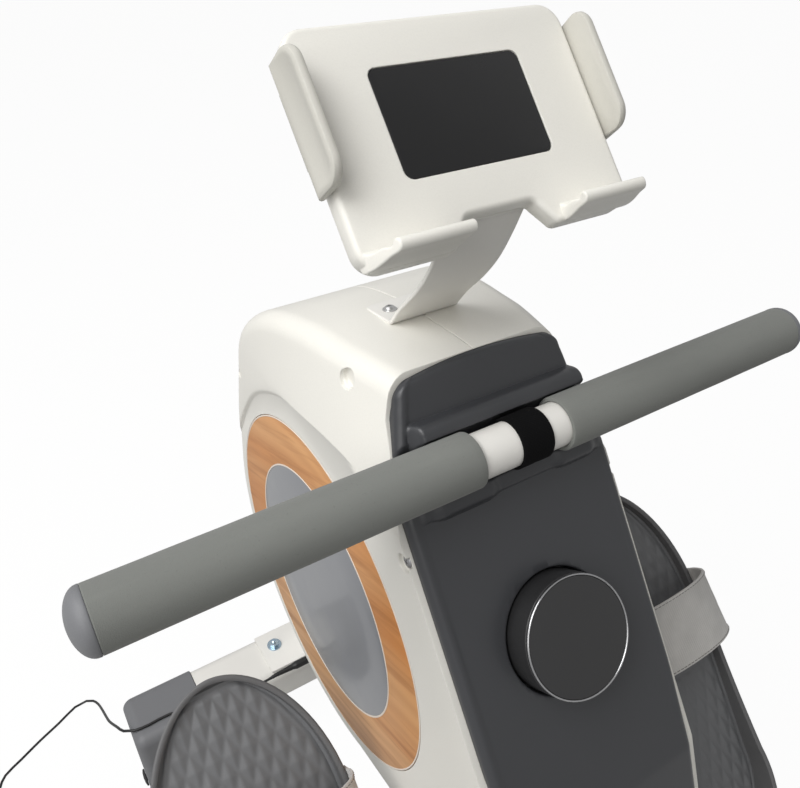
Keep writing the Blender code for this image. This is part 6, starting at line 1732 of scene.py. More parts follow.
@dataclass
class FaceCover:
    """The moulded cover with its two lips, the handle's channel, the knob's cup and the strap's slot."""

    edge: float = 0.007
    wall: float = 0.003
    corner: float = 0.0100
    upper_s: float = 0.1450
    upper_out: float = 0.0120
    upper_half: float = 0.0092
    upper_x: Flat = (-0.0615, 0.0700)
    lower_s: float = 0.1035
    lower_out: float = 0.0066
    lower_half: float = 0.0078
    lower_x: Flat = (-0.070, 0.073)
    bulges: Table = ((-0.062, -0.010), (0.028, 0.068))
    head: float = 0.0055
    arch: float = 0.0055
    slot_x: Flat = (-0.0085, 0.0211)
    slot_half: float = 0.0055
    knob_r: float = 0.0379
    knob_out: float = 0.0195
    shaft_r: float = 0.0045
    hole_r: float = 0.0395
    cup_depth: float = 0.013
    skin_edge: float = 0.0045
    columns: int = 112

    def build(self) -> None:
        """Mould the cover and turn the knob."""
        new_piece("front_cover", self.cover(), CHARCOAL, "frame", "charcoal_plastic", "face_cover")
        self.knob()

    def cradle(self) -> Flat:
        """Where the handle lies: s up the slope, and how far out the channel's floor is.

        Returns:
            Both distances.
        """
        lean = radians(FACE.lean)
        y = HANDLE_Y - FACE.y
        z = HANDLE_Z - FACE.z
        out = -y * cos(lean) + z * sin(lean)
        return y * sin(lean) + z * cos(lean), out - GRIP_R - 0.0004

    @staticmethod
    def window(value: float, low: float, high: float, soft: float) -> float:
        """1 between two limits, with soft ends."""
        return ease(min((value - low) / soft, (high - value) / soft))

    @staticmethod
    def hill(value: float, centre: float, half: float) -> float:
        """A round-topped bar that is 1 at its centre and 0 beyond half its width."""
        share = abs(value - centre) / half
        return (1 - share**3.2) ** 0.62 if share < 1 else 0.0

    def height(self, x: float, s: float, half: float) -> float:
        """How far the skin stands out over the face plane.

        Args:
            x: Distance to the side.
            s: Height up the slope from the knob.
            half: Half the width there.

        Returns:
            The height.
        """
        upper = self.hill(s, self.upper_s, self.upper_half) * self.upper_out * self.window(x, *self.upper_x, 0.007)
        bulge = 0.42 + 0.58 * sum(self.window(x, *span, 0.010) for span in self.bulges)
        lower = self.hill(s, self.lower_s, self.lower_half * (0.78 + 0.40 * bulge)) * self.lower_out * bulge
        lower *= self.window(x, *self.lower_x, 0.006)
        cradle_s, floor = self.cradle()
        reach = clamp((GRIP_R + 0.001 - abs(s - cradle_s)) / 0.0060)
        channel = floor * ease(reach)
        bead = 0.0007 * self.window(abs(x), half - 0.0085, half - 0.001, 0.003) * (0.0 if reach else 1.0)
        raised = self.head * ease((s - 0.135) / 0.047)
        level = max(upper, lower, raised) + channel + bead
        away = abs(s - cradle_s)
        clear = GRIP_R + 0.0006
        if away < clear:
            axis_out = floor + GRIP_R + 0.0004
            level = min(level, axis_out - sqrt(clear**2 - away**2))
        return level

    def rows(self) -> list[float]:
        """Heights of the cover's sections, close together where it changes.

        Returns:
            The heights, from the lowest.
        """
        levels = [FACE.bend - FACE.tail, FACE.bend - FACE.tail + 0.0006, FACE.bend - FACE.tail + 0.002]
        level = FACE.bend - FACE.tail + 0.006
        while level < FACE.top - 0.0135:
            levels.append(level)
            near = 0.084 < level < 0.162
            bend = abs(level - FACE.bend) < 0.012
            level += 0.0008 if near else (0.003 if bend or level > 0.15 else 0.006)
        return levels + [FACE.top - self.corner * (1 - sine) for _, sine in quarter(12)]

    def section(self, s: float) -> list[Point]:
        """One closed section: its skin from side to side, then its two back corners.

        Args:
            s: Height up the slope from the knob.

        Returns:
            Its points.
        """
        half = FACE.half_width(s)
        back = FACE.back(s, -self.edge)
        over = s - (FACE.top - self.corner)
        drop = 0.0
        if over > 0:
            half -= self.corner - sqrt(max(0.0, self.corner**2 - over**2))
        ends = min(FACE.top - s, (s - (FACE.bend - FACE.tail)) * 1.5)
        r = self.skin_edge
        if ends < r:
            drop = r - sqrt(max(0.0, r**2 - (r - ends) ** 2))
        rounding = [(-half + r * (1 - cosine), -r * (1 - sine)) for cosine, sine in quarter(7)]
        inner = half - r
        columns = rounding + [(-inner + 2 * inner * k / self.columns, 0.0) for k in range(1, self.columns)]
        columns += [(-x, out) for x, out in reversed(rounding)]
        loop = []
        for x, out in columns:
            lift = self.height(x, s, half) if s > FACE.bend + 0.02 else 0.0
            loop.append(FACE.spot(x, self.arched(x, s), max(out + lift - drop, back + 0.0010)))
        corner = self.arched(half, s)
        return loop + [FACE.spot(half, corner, back), FACE.spot(-half, corner, back)]

    def arched(self, x: float, s: float) -> float:
        """A height with the top edge's arch: its ends are lower than its middle."""
        return s - self.arch * (x / FACE.half_width(s)) ** 2 * ease((s - 0.160) / (FACE.top - 0.160))

    def hollow(self) -> Mesh:
        """The room behind the skin.

        Returns:
            The tool that cuts it.
        """
        floor = self.cradle()[1] - self.wall
        wall = self.wall
        rows = [(0.158, -wall - 0.001), (0.152, -wall), (0.148, floor), (0.098, floor), (0.094, -wall)]
        rows += [(s, -wall) for s in (FACE.bend + 0.004, FACE.bend - 0.006, FACE.bend - FACE.tail + wall)]
        return skin([FACE.across(FACE.half_width(s) - wall - 0.0035, s, top, -self.edge - 0.006) for s, top in rows])

    def cover(self) -> Mesh:
        """The cover with everything cut.

        Returns:
            The cover.
        """
        face = FACE.matrix()
        body = cut(skin([self.section(s) for s in self.rows()]), self.hollow())
        cup = rod(self.hole_r + 0.0025, -self.cup_depth - 0.0025, -0.0012, face, 96)
        r = self.hole_r
        profile = [(0, -self.cup_depth), (r - 0.001, -self.cup_depth), (r, -self.cup_depth + 0.001), (r, -0.0010)]
        profile += [(r + 0.0004, -0.0003), (r + 0.0014, 0.0002), (r + 0.0014, 0.02), (0, 0.02)]
        room = spun(profile, face, 128)
        shaft = rod(self.shaft_r, -0.03, 0.0, face, 24)
        slot_s = self.cradle()[0] + 0.0052
        outline = rounded_box(self.slot_x, (slot_s - self.slot_half, slot_s + self.slot_half), 0.002, 4)
        return cut(joined(body, cup), room, shaft, extruded(outline, -0.02, 0.02, face))

    def knob(self) -> None:
        """The knob, its shaft and its bright rim."""
        face = FACE.matrix()
        top = self.knob_out
        seat = self.knob_r - 0.0016
        foot = 0.0003 - self.cup_depth
        r = self.knob_r
        profile = [(0, -0.024), (0.012, -0.024), (0.012, -0.0162), (0.004, -0.0162), (0.004, foot), (r - 0.001, foot)]
        profile += [(r, 0.0013 - self.cup_depth), (r, top - 0.0026), (r - 0.0003, top - 0.0023), (seat, top - 0.0023)]
        profile += [(seat, top - 0.0006), (seat - 0.0010, top - 0.0005), (seat * 0.5, top - 0.0003), (0, top - 0.0002)]
        knob = spun(profile, face, 128)
        new_piece("resistance_knob", knob, KNOB, "knob", "knob_plastic", "tension_knob")
        rim = [(r - 0.00072 + 0.0007 * c, top - 0.0011 + 0.0011 * s) for c, s in arc((0, 0), 1, 0, 330, 11)]
        new_piece("knob_ring", spun(rim, face, 128, ring=True), CHROME, "knob", "chrome", "knob_rim")


# Pull handle


@dataclass
class PullHandle:
    """Foam grips on a white tube, end caps and the strap's loop."""

    tube_r: float = 0.0142
    bore_r: float = 0.0125
    end: float = 0.2450
    grip_start: float = 0.032
    rings: int = 44
    gap: float = 0.0003
    strap_x: Flat = (-0.0050, 0.0176)
    strap_t: float = 0.0018
    tail: float = 0.0220
    rise: float = 15.0

    def build(self) -> None:
        """Make the handle's pieces."""
        tube = [(self.bore_r, -self.end), (self.tube_r, -self.end), (self.tube_r, self.end), (self.bore_r, self.end)]
        bar = spun(tube, self.axis(1), 96, ring=True)
        new_piece("handle_bar", bar, IVORY_PAINT, "handle", "ivory_paint", "handle_tube")
        for side in Side:
            self.grip(side)
            self.cap(side)
        self.strap()

    def axis(self, sign: int) -> Matrix:
        """The handle's axis, outward to one side."""
        return along_x(sign, HANDLE_Y, HANDLE_Z)

    def grip(self, side: Side) -> None:
        """A foam sleeve, very slightly uneven.

        Args:
            side: Its side.
        """
        sign = side.value
        inner = self.tube_r + self.gap
        outer = GRIP_R
        profile = [(inner, self.grip_start + 0.0006), (inner + 0.0006, self.grip_start)]
        profile += [(outer - 0.0011, self.grip_start), (outer - 0.0004, self.grip_start + 0.0003)]
        first, long = self.grip_start + 0.0011, self.end - self.grip_start - 0.0018
        profile += [(outer, first + long * k / self.rings) for k in range(self.rings + 1)]
        end = self.end + 0.0002
        profile += [(outer, end - 0.0003), (outer - 0.0002, end), (inner, end)]
        mesh = spun(profile, IN_PLACE, 96, ring=True)
        for vert in mesh.vertices:
            flat = Vector((vert.co.x, vert.co.y, 0.0))
            if flat.length > outer - 0.0002:
                dent = 0.5 + 0.5 * noise.noise(vert.co * 34.0 + Vector((sign * 9.0, 0, 0)))
                vert.co -= flat.normalized() * 0.00022 * dent
        mesh.transform(self.axis(sign))
        new_piece(f"foam_grip_{side}", mesh, HANDLE_FOAM, "handle", "foam", f"grip_{side}")

    def cap(self, side: Side) -> None:
        """A domed end cap with its plug.

        Args:
            side: Its side.
        """
        face = self.end + self.gap
        plug = self.bore_r - self.gap
        profile = [(0, face - 0.015), (plug - 0.001, face - 0.015), (plug, face - 0.014), (plug, face)]
        profile += [(GRIP_R - 0.0002, face), (GRIP_R, face + 0.0003)]
        profile += [(GRIP_R * c, face + 0.0012 + 0.0098 * s) for c, s in quarter(12)]
        profile[-1] = (0, profile[-1][1])
        mesh = spun(profile, self.axis(side.value), 72)
        new_piece(f"end_cap_{side}", mesh, CAP_GREY, "handle", "grey_plastic", f"handle_cap_{side}")

    def strap(self) -> None:
        """The webbing's loop round the tube, its sewn tail and the stretch inside the housing."""
        low, high = self.strap_x
        inner = self.tube_r + self.gap
        outer = inner + self.strap_t
        profile = [(inner, low), (inner, high), (outer - 0.0004, high), (outer, high - 0.0007)]
        for k in range(1, 12):
            share = k / 12
            x = high - 0.0007 + (low - high + 0.0014) * share
            crease = 0.00022 * exp(-(((share - 0.46) / 0.05) ** 2))
            profile.append((outer - crease - 0.00008 * sin(share * pi), x))
        profile += [(outer, low + 0.0007), (outer - 0.0004, low)]
        band = spun(profile, self.axis(1), 96, ring=True)
        turn = tilted((0, HANDLE_Y, HANDLE_Z), -self.rise)
        tail = block((low + 0.0001, high - 0.0001), (inner + 0.0004, self.tail), (-0.0009, 0.0009), turn)
        loop = joined(band, eased(tail, 0.0004))
        new_piece("strap_band", loop, BLACK_WEB, "handle", "black_webbing", "strap_loop")
        seams = []
        for y in (outer + 0.0012, outer + 0.0034):
            line = [turn @ Vector((low + (high - low) * k / 12, y, 0.0009)) for k in range(1, 12)]
            up = (turn.to_3x3() @ Vector((0, 0, 1))).normalized()
            seams.append(stitches(line, lambda here: up, 0.0020, 0.0008, 0.00022))
        new_piece("strap_stitches", merged(seams), BLACK_WEB, "handle", "black_webbing")
        reworked("pull_strap", "strap_inside", BLACK_WEB, "frame", "black_webbing", 0.0004)


# Tablet holder


@dataclass
class TabletHolder:
    """The moulded panel, its display, two jaws and the bent bracket."""

    screen_y: float = -0.0761
    screen_z: float = 0.7878
    lean: float = 41.94
    half: float = 0.0875
    bottom: float = -0.0398
    top: float = 0.0855
    thick: float = 0.012
    top_r: float = 0.014
    bottom_r: float = 0.012
    soft: float = 0.0032
    notch_top: float = -0.024
    notch_a: float = 0.021
    notch_b: float = 0.035
    lip_outer: float = 0.084
    lip_reach: float = 0.024
    lip_t: float = 0.007
    lip_front: float = -0.033
    screen_w: float = 0.0944
    screen_h: float = 0.0595
    jaw_y: Flat = (0.000, 0.075)
    ear_y: Flat = (0.0012, 0.0716)
    jaw_out: float = 0.018
    jaw_t: float = 0.005
    jaw_root: float = 0.0889
    jaw_tip: float = 0.0860
    tongue: float = 0.034
    strip_half: float = 0.026
    strip_t: float = 0.0025
    strip_slope: float = 8.6
    strip_z: float = 0.6698
    strip_foot: Flat = (0.0115, -0.0205)
    strip_end: float = 0.0480
    screw_x: float = 0.0154
    rounding: float = 0.005
    spacing: float = 0.0022
    climb: Table = (
        (-0.0335, 0.6900), (-0.0500, 0.7080), (-0.0625, 0.7250), (-0.0720, 0.7430), (-0.0795, 0.7600),
    )

    def build(self) -> None:
        """Make the holder's pieces."""
        new_piece("tablet_panel", self.panel(), IVORY, "frame", "ivory_plastic", "tablet_holder")
        glass = rounded_box((-self.screen_w / 2, self.screen_w / 2), (0.0, self.screen_h), 0.005, 10)
        levels = ((-0.0023, 0.0), (-0.0007, 0.0), (-0.0004, 0.0002), (-0.0003, 0.0006))
        new_piece("screen_glass", self.layered(glass, levels), GLASS, "frame", "screen", "display")
        for side in Side:
            self.jaw(side)
        self.bracket()

    def place(self) -> Matrix:
        """The panel's frame: Y up the panel, Z toward the rower."""
        return tilted((0, self.screen_y, self.screen_z), 90 - self.lean)

    def layered(self, outline: Outline, levels: Sequence[Flat]) -> Mesh:
        """Skin an outline in the panel's frame, given (height, distance inward) for each level."""
        face = self.place()
        return skin([[face @ Vector((x, y, z)) for x, y in inset(outline, depth)] for z, depth in levels])

    def tongue_box(self, x: Sequence[float], half: float, thick: float, face: Matrix) -> Mesh:
        """A box round the middle of a jaw's tongue, in a frame.

        Args:
            x: Its limits to the side.
            half: Half its width.
            thick: Half its thickness.
            face: The frame.

        Returns:
            The box.
        """
        middle = sum(self.jaw_y) / 2
        deep = -self.thick / 2 - 0.001
        return block(x, (middle - half, middle + half), (deep - thick, deep + thick), face)

    def outline(self) -> list[Flat]:
        """The panel's outline with its notch, counter-clockwise.

        Returns:
            The points.
        """
        side = self.half - self.top_r
        low = self.half - self.bottom_r
        a = self.notch_a - 0.002
        b = self.notch_b + 0.001
        outline = arc((side, self.top - self.top_r), self.top_r, 0, 90, 12)
        outline += arc((-side, self.top - self.top_r), self.top_r, 90, 180, 12)
        outline += arc((-low, self.bottom + self.bottom_r), self.bottom_r, 180, 270, 12)
        outline += [(-self.notch_b - 0.004, self.bottom)]
        outline += arc((-b, self.bottom + 0.005), 0.005, -85, -25, 6)
        outline += arc((-a, self.notch_top - 0.006), 0.006, 155, 90, 6)
        outline += arc((a, self.notch_top - 0.006), 0.006, 90, 25, 6)
        outline += arc((b, self.bottom + 0.005), 0.005, 205, 265, 6)
        outline += [(self.notch_b + 0.004, self.bottom)]
        return outline + arc((low, self.bottom + self.bottom_r), self.bottom_r, 270, 360, 12)

    def panel(self) -> Mesh:
        """The panel with its lips, the display's pocket and the jaws' slots.

        Returns:
            The panel.
        """
        face = self.place()
        levels = [(-self.thick, 0.0015), (-self.thick + 0.0004, 0.0005), (-self.thick + 0.0015, 0.0)]
        levels += [(-self.soft * (1 - s), self.soft * (1 - c)) for c, s in quarter(6)]
        body = joined(self.layered(self.outline(), levels), self.lip(1), self.lip(-1))
        half = self.screen_w / 2 + 0.0004
        pocket = rounded_box((-half, half), (-0.0004, self.screen_h + 0.0004), 0.0054, 10)
        tools = [extruded(pocket, -0.0026, 0.01, face)]
        for sign in (-1, 1):
            ends = sorted((sign * (self.jaw_root - self.tongue - 0.002), sign * (self.half + 0.01)))
            tools.append(self.tongue_box(ends, 0.0164, 0.0024, face))
        return cut(body, *tools)

    def lip(self, sign: int) -> Mesh:
        """One lip of the shelf, with a rolled front ridge and rounded ends.

        Args:
            sign: -1 for left, 1 for right.

        Returns:
            The lip.
        """
        low, reach, front = self.bottom, self.lip_reach, self.lip_front
        high = low + self.lip_t
        knots = [(-0.009, low + 0.004), (-0.006, low + 0.0008), (0.004, low), (reach * 0.62, low + 0.0010)]
        knots += [(reach - 0.0022, front - 0.0054), (reach - 0.0001, front - 0.0024), (reach - 0.0012, front + 0.0004)]
        knots += [(reach - 0.0040, front + 0.0006), (reach - 0.0064, front - 0.0014), (reach * 0.50, high)]
        knots += [(0.003, high + 0.0010), (-0.004, high + 0.006), (-0.009, high + 0.006)]
        edge = 0.0012
        profile = smooth_plane(knots, edge)
        face = self.place()
        length = self.lip_outer - self.notch_b
        stations = [edge * (1 - cosine) for cosine, _ in quarter(6)]
        spots = [(d, edge - sqrt(max(0.0, edge**2 - (edge - d) ** 2))) for d in stations]
        spots += [(length - d, shrink) for d, shrink in reversed(spots)]
        loops = []
        for distance, shrink in spots:
            share = distance / length
            loop = []
            for out, along in inset(profile, shrink) if shrink else profile:
                lean = clamp(out / reach)
                inner = self.notch_b + 0.002 - 0.003 * lean
                outer = self.lip_outer + 0.001 - 0.008 * lean
                loop.append(face @ Vector((sign * (inner + (outer - inner) * share), along, out)))
            loops.append(loop)
        return skin(loops)

    def jaw(self, side: Side) -> None:
        """A thin ear that leans over the panel with a raised edge, on a tongue that slides in the panel.

        Args:
            side: Its side.
        """
        deep_edge = -self.thick + 0.005
        low, high = self.ear_y
        outline = [(low, deep_edge), (high, deep_edge)]
        outline += arc((high - 0.0120, self.jaw_out - 0.0120), 0.0120, 0, 90, 10)
        outline += arc((low + 0.0115, self.jaw_out - 0.0115), 0.0115, 90, 180, 10)
        lean = (self.jaw_tip - self.jaw_root) / (self.jaw_out - deep_edge)
        t = self.jaw_t
        levels = [(0.0, 0.0016), (0.0005, 0.0005), (0.0016, 0.0), (t - 0.0018, 0.0), (t - 0.0005, 0.0006)]
        levels += [(t, 0.0018), (t, 0.0036), (t - 0.0006, 0.0050)]
        root = self.jaw_root
        loops = []
        for x, depth in levels:
            loops.append([(root + x + lean * (out - deep_edge), along, out) for along, out in inset(outline, depth)])
        middle = sum(self.jaw_y) / 2
        tongue = self.tongue_box((root - self.tongue, root + 0.002), 0.016, 0.002, IN_PLACE)
        across = (middle - 0.020, middle + 0.020)
        foot = block((root - 0.0004, root + 0.003), across, (-self.thick + 0.002, -0.003), IN_PLACE)
        mesh = other_side(joined(skin(loops), tongue, foot), side.value)
        mesh.transform(self.place())
        new_piece(f"side_jaw_{side}", mesh, CREAM, f"clamp_{side}", "cream_plastic", f"jaw_{side}")

    def bracket(self) -> None:
        """The strip from the housing's top to the panel's back, and its screws."""
        slope = radians(self.strip_slope)
        mid = self.strip_t / 2 + 0.0003
        lean = radians(self.lean)
        up = Vector((sin(lean), cos(lean)))
        normal = Vector((-cos(lean), sin(lean)))
        behind = Vector((self.screen_y, self.screen_z)) + normal * (-self.thick - 0.0003 - self.strip_t / 2)
        rest = self.strip_z + mid
        back, front = (Vector((y, rest - tan(slope) * y)) for y in self.strip_foot)
        low = behind + up * -0.0180
        knots = [back, back.lerp(front, 0.5), front, front + Vector((-0.0035, 0.0032)), *self.climb]
        high = behind + up * self.strip_end
        knots += [low + Vector((-0.0010, -0.0065)), low, low.lerp(high, 0.5), high]
        line = smooth_plane([(k[0], k[1]) for k in knots], self.spacing)
        loops = []
        r = self.rounding
        for k, here in enumerate(line):
            ahead = heading(line, k)
            to_end = min(k, len(line) - 1 - k) * self.spacing
            half = self.strip_half - (r - sqrt(max(0.0, r**2 - max(0.0, r - to_end) ** 2)))
            thick = self.strip_t / 2
            a, b = half - 0.0005, thick - 0.0005
            cross = [(-a, -thick), (a, -thick), (half, -b), (half, b), (a, thick), (-a, thick), (-half, b), (-half, -b)]
            loops.append([(x, here[0] - ahead.y * n + AXLE_Y, here[1] + ahead.x * n) for x, n in cross])
        new_piece("bracket_strip", skin(loops), IVORY_PAINT, "frame", "ivory_paint", "tablet_bracket")
        screws = []
        top = (back + front) / 2 + Vector((sin(slope), cos(slope))) * (self.strip_t / 2)
        for x in (-self.screw_x, self.screw_x):
            spot = tilted((x, top.x, top.y), -self.strip_slope)
            ring = spun([(0.0, 0.0), (0.0050, 0.0), (0.0050, 0.0006), (0.0046, 0.0009), (0.0, 0.0009)], spot, 32)
            screws.append(merged([ring, cross_screw(spot @ Matrix.Translation((0, 0, 0.0009)), 0.0036, 0.0020)]))
        new_piece("bracket_screws", merged(screws), SCREW_PLAIN, "frame", "steel")


# Foot rests


@dataclass
class FootRests:
    """The footplates with their studded tread, and the straps over them."""

    x: float = 0.189
    half: float = 0.070
    heel_half: float = 0.058
    length: float = 0.345
    toe_arc: float = 0.110
    heel_arc: float = 0.070
    power: float = 1.9
    lean: float = 46.0
    toe_y: float = -0.024
    toe_z: float = 0.421
    thick: float = 0.005
    rim: float = 0.0045
    spread: float = 0.0015
    rim_toe: float = 0.008
    rim_heel: float = 0.028
    shaft_y: float = -0.125
    shaft_z: float = 0.245
    hub_r: float = 0.015
    hub_half: float = 0.055
    bore_r: float = 0.0083
    rib_x: float = 0.040
    rib_half: float = 0.003
    rib_reach: float = 0.050
    band: Flat = (-0.162, -0.104)
    band_t: float = 0.0025
    band_h: float = 0.052
    stud: Flat = (0.0138, 0.0277)
    stud_h: float = 0.0016
    patch_v: float = -0.168
    patch: Flat = (0.036, 0.020)
    tread_end: float = 0.0062
    tread_step: float = 0.0015
    columns: int = 92

    def build(self) -> None:
        """Make the plates and the straps."""
        for side in Side:
            mesh = self.plate()
            mesh.transform(self.place(side.value))
            new_piece(f"foot_rest_{side}", mesh, PEDAL, f"pedal_{side}", "pedal_plastic", f"footplate_{side}")
            # The tread takes the lighter copy of the pedal plastic: painted light on its upward face.
            tread = self.tread()
            tread.transform(self.place(side.value))
            new_piece(f"tread_{side}", tread, PEDAL_TREAD, f"pedal_{side}", "pedal_plastic")
            self.strap(side)
        reworked("pedal_shaft", "foot_shaft", STEEL, "frame", "steel", 0.0006)

    def place(self, sign: int) -> Matrix:
        """A plate's frame: Y up toward the toe, Z out of the tread."""
        return tilted((sign * self.x, self.toe_y, self.toe_z), 90 - self.lean)

    def half_at(self, v: float) -> float:
        """Half the plate's width at a distance below the toe.

        Args:
            v: The distance, as a number below 0.

        Returns:
            Half the width.
        """
        if v > -self.toe_arc:
            reach = (v + self.toe_arc) / self.toe_arc
            return self.half * (1 - min(1.0, reach) ** self.power) ** (1 / self.power)
        heel_top = -self.length + self.heel_arc
        if v > -self.length / 2:
            return self.half
        if v > heel_top:
            share = (-self.length / 2 - v) / (-self.length / 2 - heel_top)
            return self.half + (self.heel_half - self.half) * share
        drop = min(1.0, (heel_top - v) / self.heel_arc)
        return self.heel_half * sqrt(1 - drop * drop)

    def outline(self) -> list[Flat]:
        """The plate's outline, counter-clockwise.

        Returns:
            The points.
        """
        marks = [-self.toe_arc * (k / 24) ** 2.4 for k in range(25)]
        marks += [-self.toe_arc - 0.008 * k for k in range(1, 8)]
        heel_top = -self.length + self.heel_arc
        marks += [-self.length / 2 + (heel_top + self.length / 2) * k / 12 for k in range(13)]
        marks += [heel_top - self.heel_arc * sin(radians(90 * k / 16)) for k in range(1, 17)]
        right = [(self.half_at(v), v) for v in marks]
        right[0] = (0.0, 0.0)
        right[-1] = (0.0, -self.length)
        left = [(-x, v) for x, v in right[-2:0:-1]]
        return (right + left)[::-1]

    def plate(self) -> Mesh:
        """The tray with its rolled rim, its hub and its ribs.

        Returns:
            The plate, in its own frame.
        """
        outline = self.outline()
        heights = []
        for _, v in outline:
            share = clamp((-v - 0.16) / (self.length - 0.16))
            heights.append(self.rim_toe + (self.rim_heel - self.rim_toe) * share**1.6)
        wide = inset(outline, -self.spread)
        floor = -0.0016
        rows = [(inset(outline, 0.004), -self.thick, 0.0), (inset(outline, 0.0012), -self.thick + 0.0006, 0.0)]
        rows += [(outline, -self.thick + 0.0025, 0.0)]
        rows += [(inset(wide, 0.0003), -0.0022, 1.0), (wide, -0.0010, 1.0), (inset(wide, 0.0005), -0.0004, 1.0)]
        rows += [(inset(wide, 0.0012), 0.0, 1.0), (inset(wide, 0.0030), -0.0002, 1.0)]
        rows += [(inset(wide, self.rim), -0.0012, 1.0), (inset(wide, self.rim + 0.0008), floor, 0.0)]
        loops = [[(x, v, level + h * riding) for (x, v), h in zip(points, heights)] for points, level, riding in rows]
        body = skin(loops)
        lean = radians(self.lean)
        toe_y = self.toe_y - self.shaft_y
        toe_z = self.toe_z - self.shaft_z
        shaft_v = -toe_y * sin(lean) - toe_z * cos(lean)
        shaft_n = toe_y * cos(lean) - toe_z * sin(lean)
        turn = Matrix.Translation((0, shaft_v, shaft_n)) @ Matrix.Rotation(radians(90), 4, "Y")
        hub = eased(rod(self.hub_r, -self.hub_half, self.hub_half, turn, 40), 0.0008)
        ribs = []
        r = self.hub_r * 0.8
        reach = self.rib_reach
        for x in (-self.rib_x, self.rib_x):
            web = [(shaft_v - r, shaft_n), (shaft_v + r, shaft_n), (shaft_v + reach, -0.002), (shaft_v - reach, -0.002)]
            ribs.append(skin([[(x + side, v, n) for v, n in web] for side in (-self.rib_half, self.rib_half)]))
        bore = rod(self.bore_r, -0.07, 0.07, turn, 32)
        return cut(joined(body, hub, *ribs), bore)

    def tread(self) -> Mesh:
        """The floor's small pyramids, with a groove inside the rim and a bare patch.

        Returns:
            The tread, in the plate's frame.
        """
        bm = bmesh.new()
        rows = []
        margin = self.rim + 0.0004 - self.spread
        top = -self.tread_end
        bottom = -self.length + self.tread_end
        count = round((top - bottom) / self.tread_step)
        for k in range(count + 1):
            v = top + (bottom - top) * k / count
            half = max(0.001, self.half_at(v) - margin)
            marks = [-half + 2 * half * m / self.columns for m in range(self.columns + 1)]
            rows.append([bm.verts.new((x, v, self.level(x, v, half))) for x in marks])
        for first, second in zip(rows, rows[1:]):
            for m in range(self.columns):
                bm.faces.new((first[m], second[m], second[m + 1], first[m + 1]))
        return from_bmesh(bm, False)

    def level(self, x: float, v: float, half: float) -> float:
        """The tread's height at a point.

        Args:
            x: Distance to the side.
            v: Distance below the toe, as a number below 0.
            half: Half the width there.

        Returns:
            The height.
        """
        wide, long = self.stud
        a = x / wide + v / long
        b = x / wide - v / long
        stud = self.stud_h * (1 - 2 * max(abs(a - round(a)), abs(b - round(b))))
        ends = min(-self.tread_end - v, v + self.length - self.tread_end)
        away = max(0.0, min(half - abs(x), ends * 0.9))
        stud *= clamp((away - 0.0045) / 0.002)
        patch = max(abs(x) - self.patch[0], abs(v - self.patch_v) - self.patch[1])
        stud *= clamp((patch - 0.001) / 0.0015)
        groove = 0.0008 * max(0.0, 1 - abs(away - 0.0030) / 0.0014) + 0.0007 * max(0.0, 1 - abs(patch) / 0.0014)
        return -0.0002 + stud - groove

    def strap(self, side: Side) -> None:
        """A webbing strap with a folded hem and two stitched seams.

        Args:
            side: Its side.
        """
        sign = side.value
        reach = self.half + self.spread + 0.0003 + self.band_t / 2
        right = [(reach * 0.52, self.band_h - 0.0045), (reach - 0.0080, self.band_h - 0.0190)]
        right += [(reach, h) for h in (self.rim_toe + 0.0080, self.rim_toe - 0.0020, -self.thick + 0.0010)]
        knots = [(-a, h) for a, h in right[::-1]] + [(0.0, self.band_h)] + right
        line = smooth_plane(knots, 0.0024)
        low, high = self.band
        place = self.place(sign)
        loops = []
        seams = ([], [])
        normals = []
        for k, here in enumerate(line):
            ahead = heading(line, k)
            out = Vector((-ahead.y, ahead.x))
            if out.dot(Vector(here) - Vector((0.0, 0.010))) < 0:
                out = -out
            wave = 0.0003 * noise.noise(Vector((here[0] * 55, sign * 3.0, 0.0)))
            t = self.band_t / 2
            cross = [(low, -t + 0.0005), (low + 0.0006, -t)]
            cross += [(high - 0.0006, -t), (high, -t + 0.0005), (high, t - 0.0002), (high - 0.0006, t)]
            cross += [(high - 0.0034, t), (high - 0.0042, t - 0.0006), (high - 0.0200, t - 0.0007)]
            cross += [(high - 0.0280, t - 0.0006 + wave), (low + 0.0240, t - 0.0007 - wave), (low + 0.0042, t - 0.0006)]
            cross += [(low + 0.0034, t), (low + 0.0006, t), (low, t - 0.0002)]
            loops.append([place @ Vector((here[0] + out.x * n, v, here[1] + out.y * n)) for v, n in cross])
            normals.append((place.to_3x3() @ Vector((out.x, 0, out.y))).normalized())
            for seam, v in zip(seams, (high - 0.0018, low + 0.0018)):
                seam.append(place @ Vector((here[0] + out.x * t, v, here[1] + out.y * t)))
        body = f"pedal_{side}"
        made = new_piece(f"toe_strap_{side}", skin(loops), FELT_WEB, body, "grey_webbing", f"foot_strap_{side}")
        threads = []
        for seam in seams:

            def outward(here: Vector, seam: list[Vector] = seam) -> Vector:
                """The strap's outward direction near a point of the seam."""
                near = min(range(len(seam)), key=lambda k: (seam[k] - here).length_squared)
                return normals[near]

            threads.append(stitches(seam, outward, 0.0030, 0.0012, 0.00028))
        sewn = new_piece(f"strap_seams_{side}", merged(threads), THREAD, body, "grey_webbing")


# Feet and frame


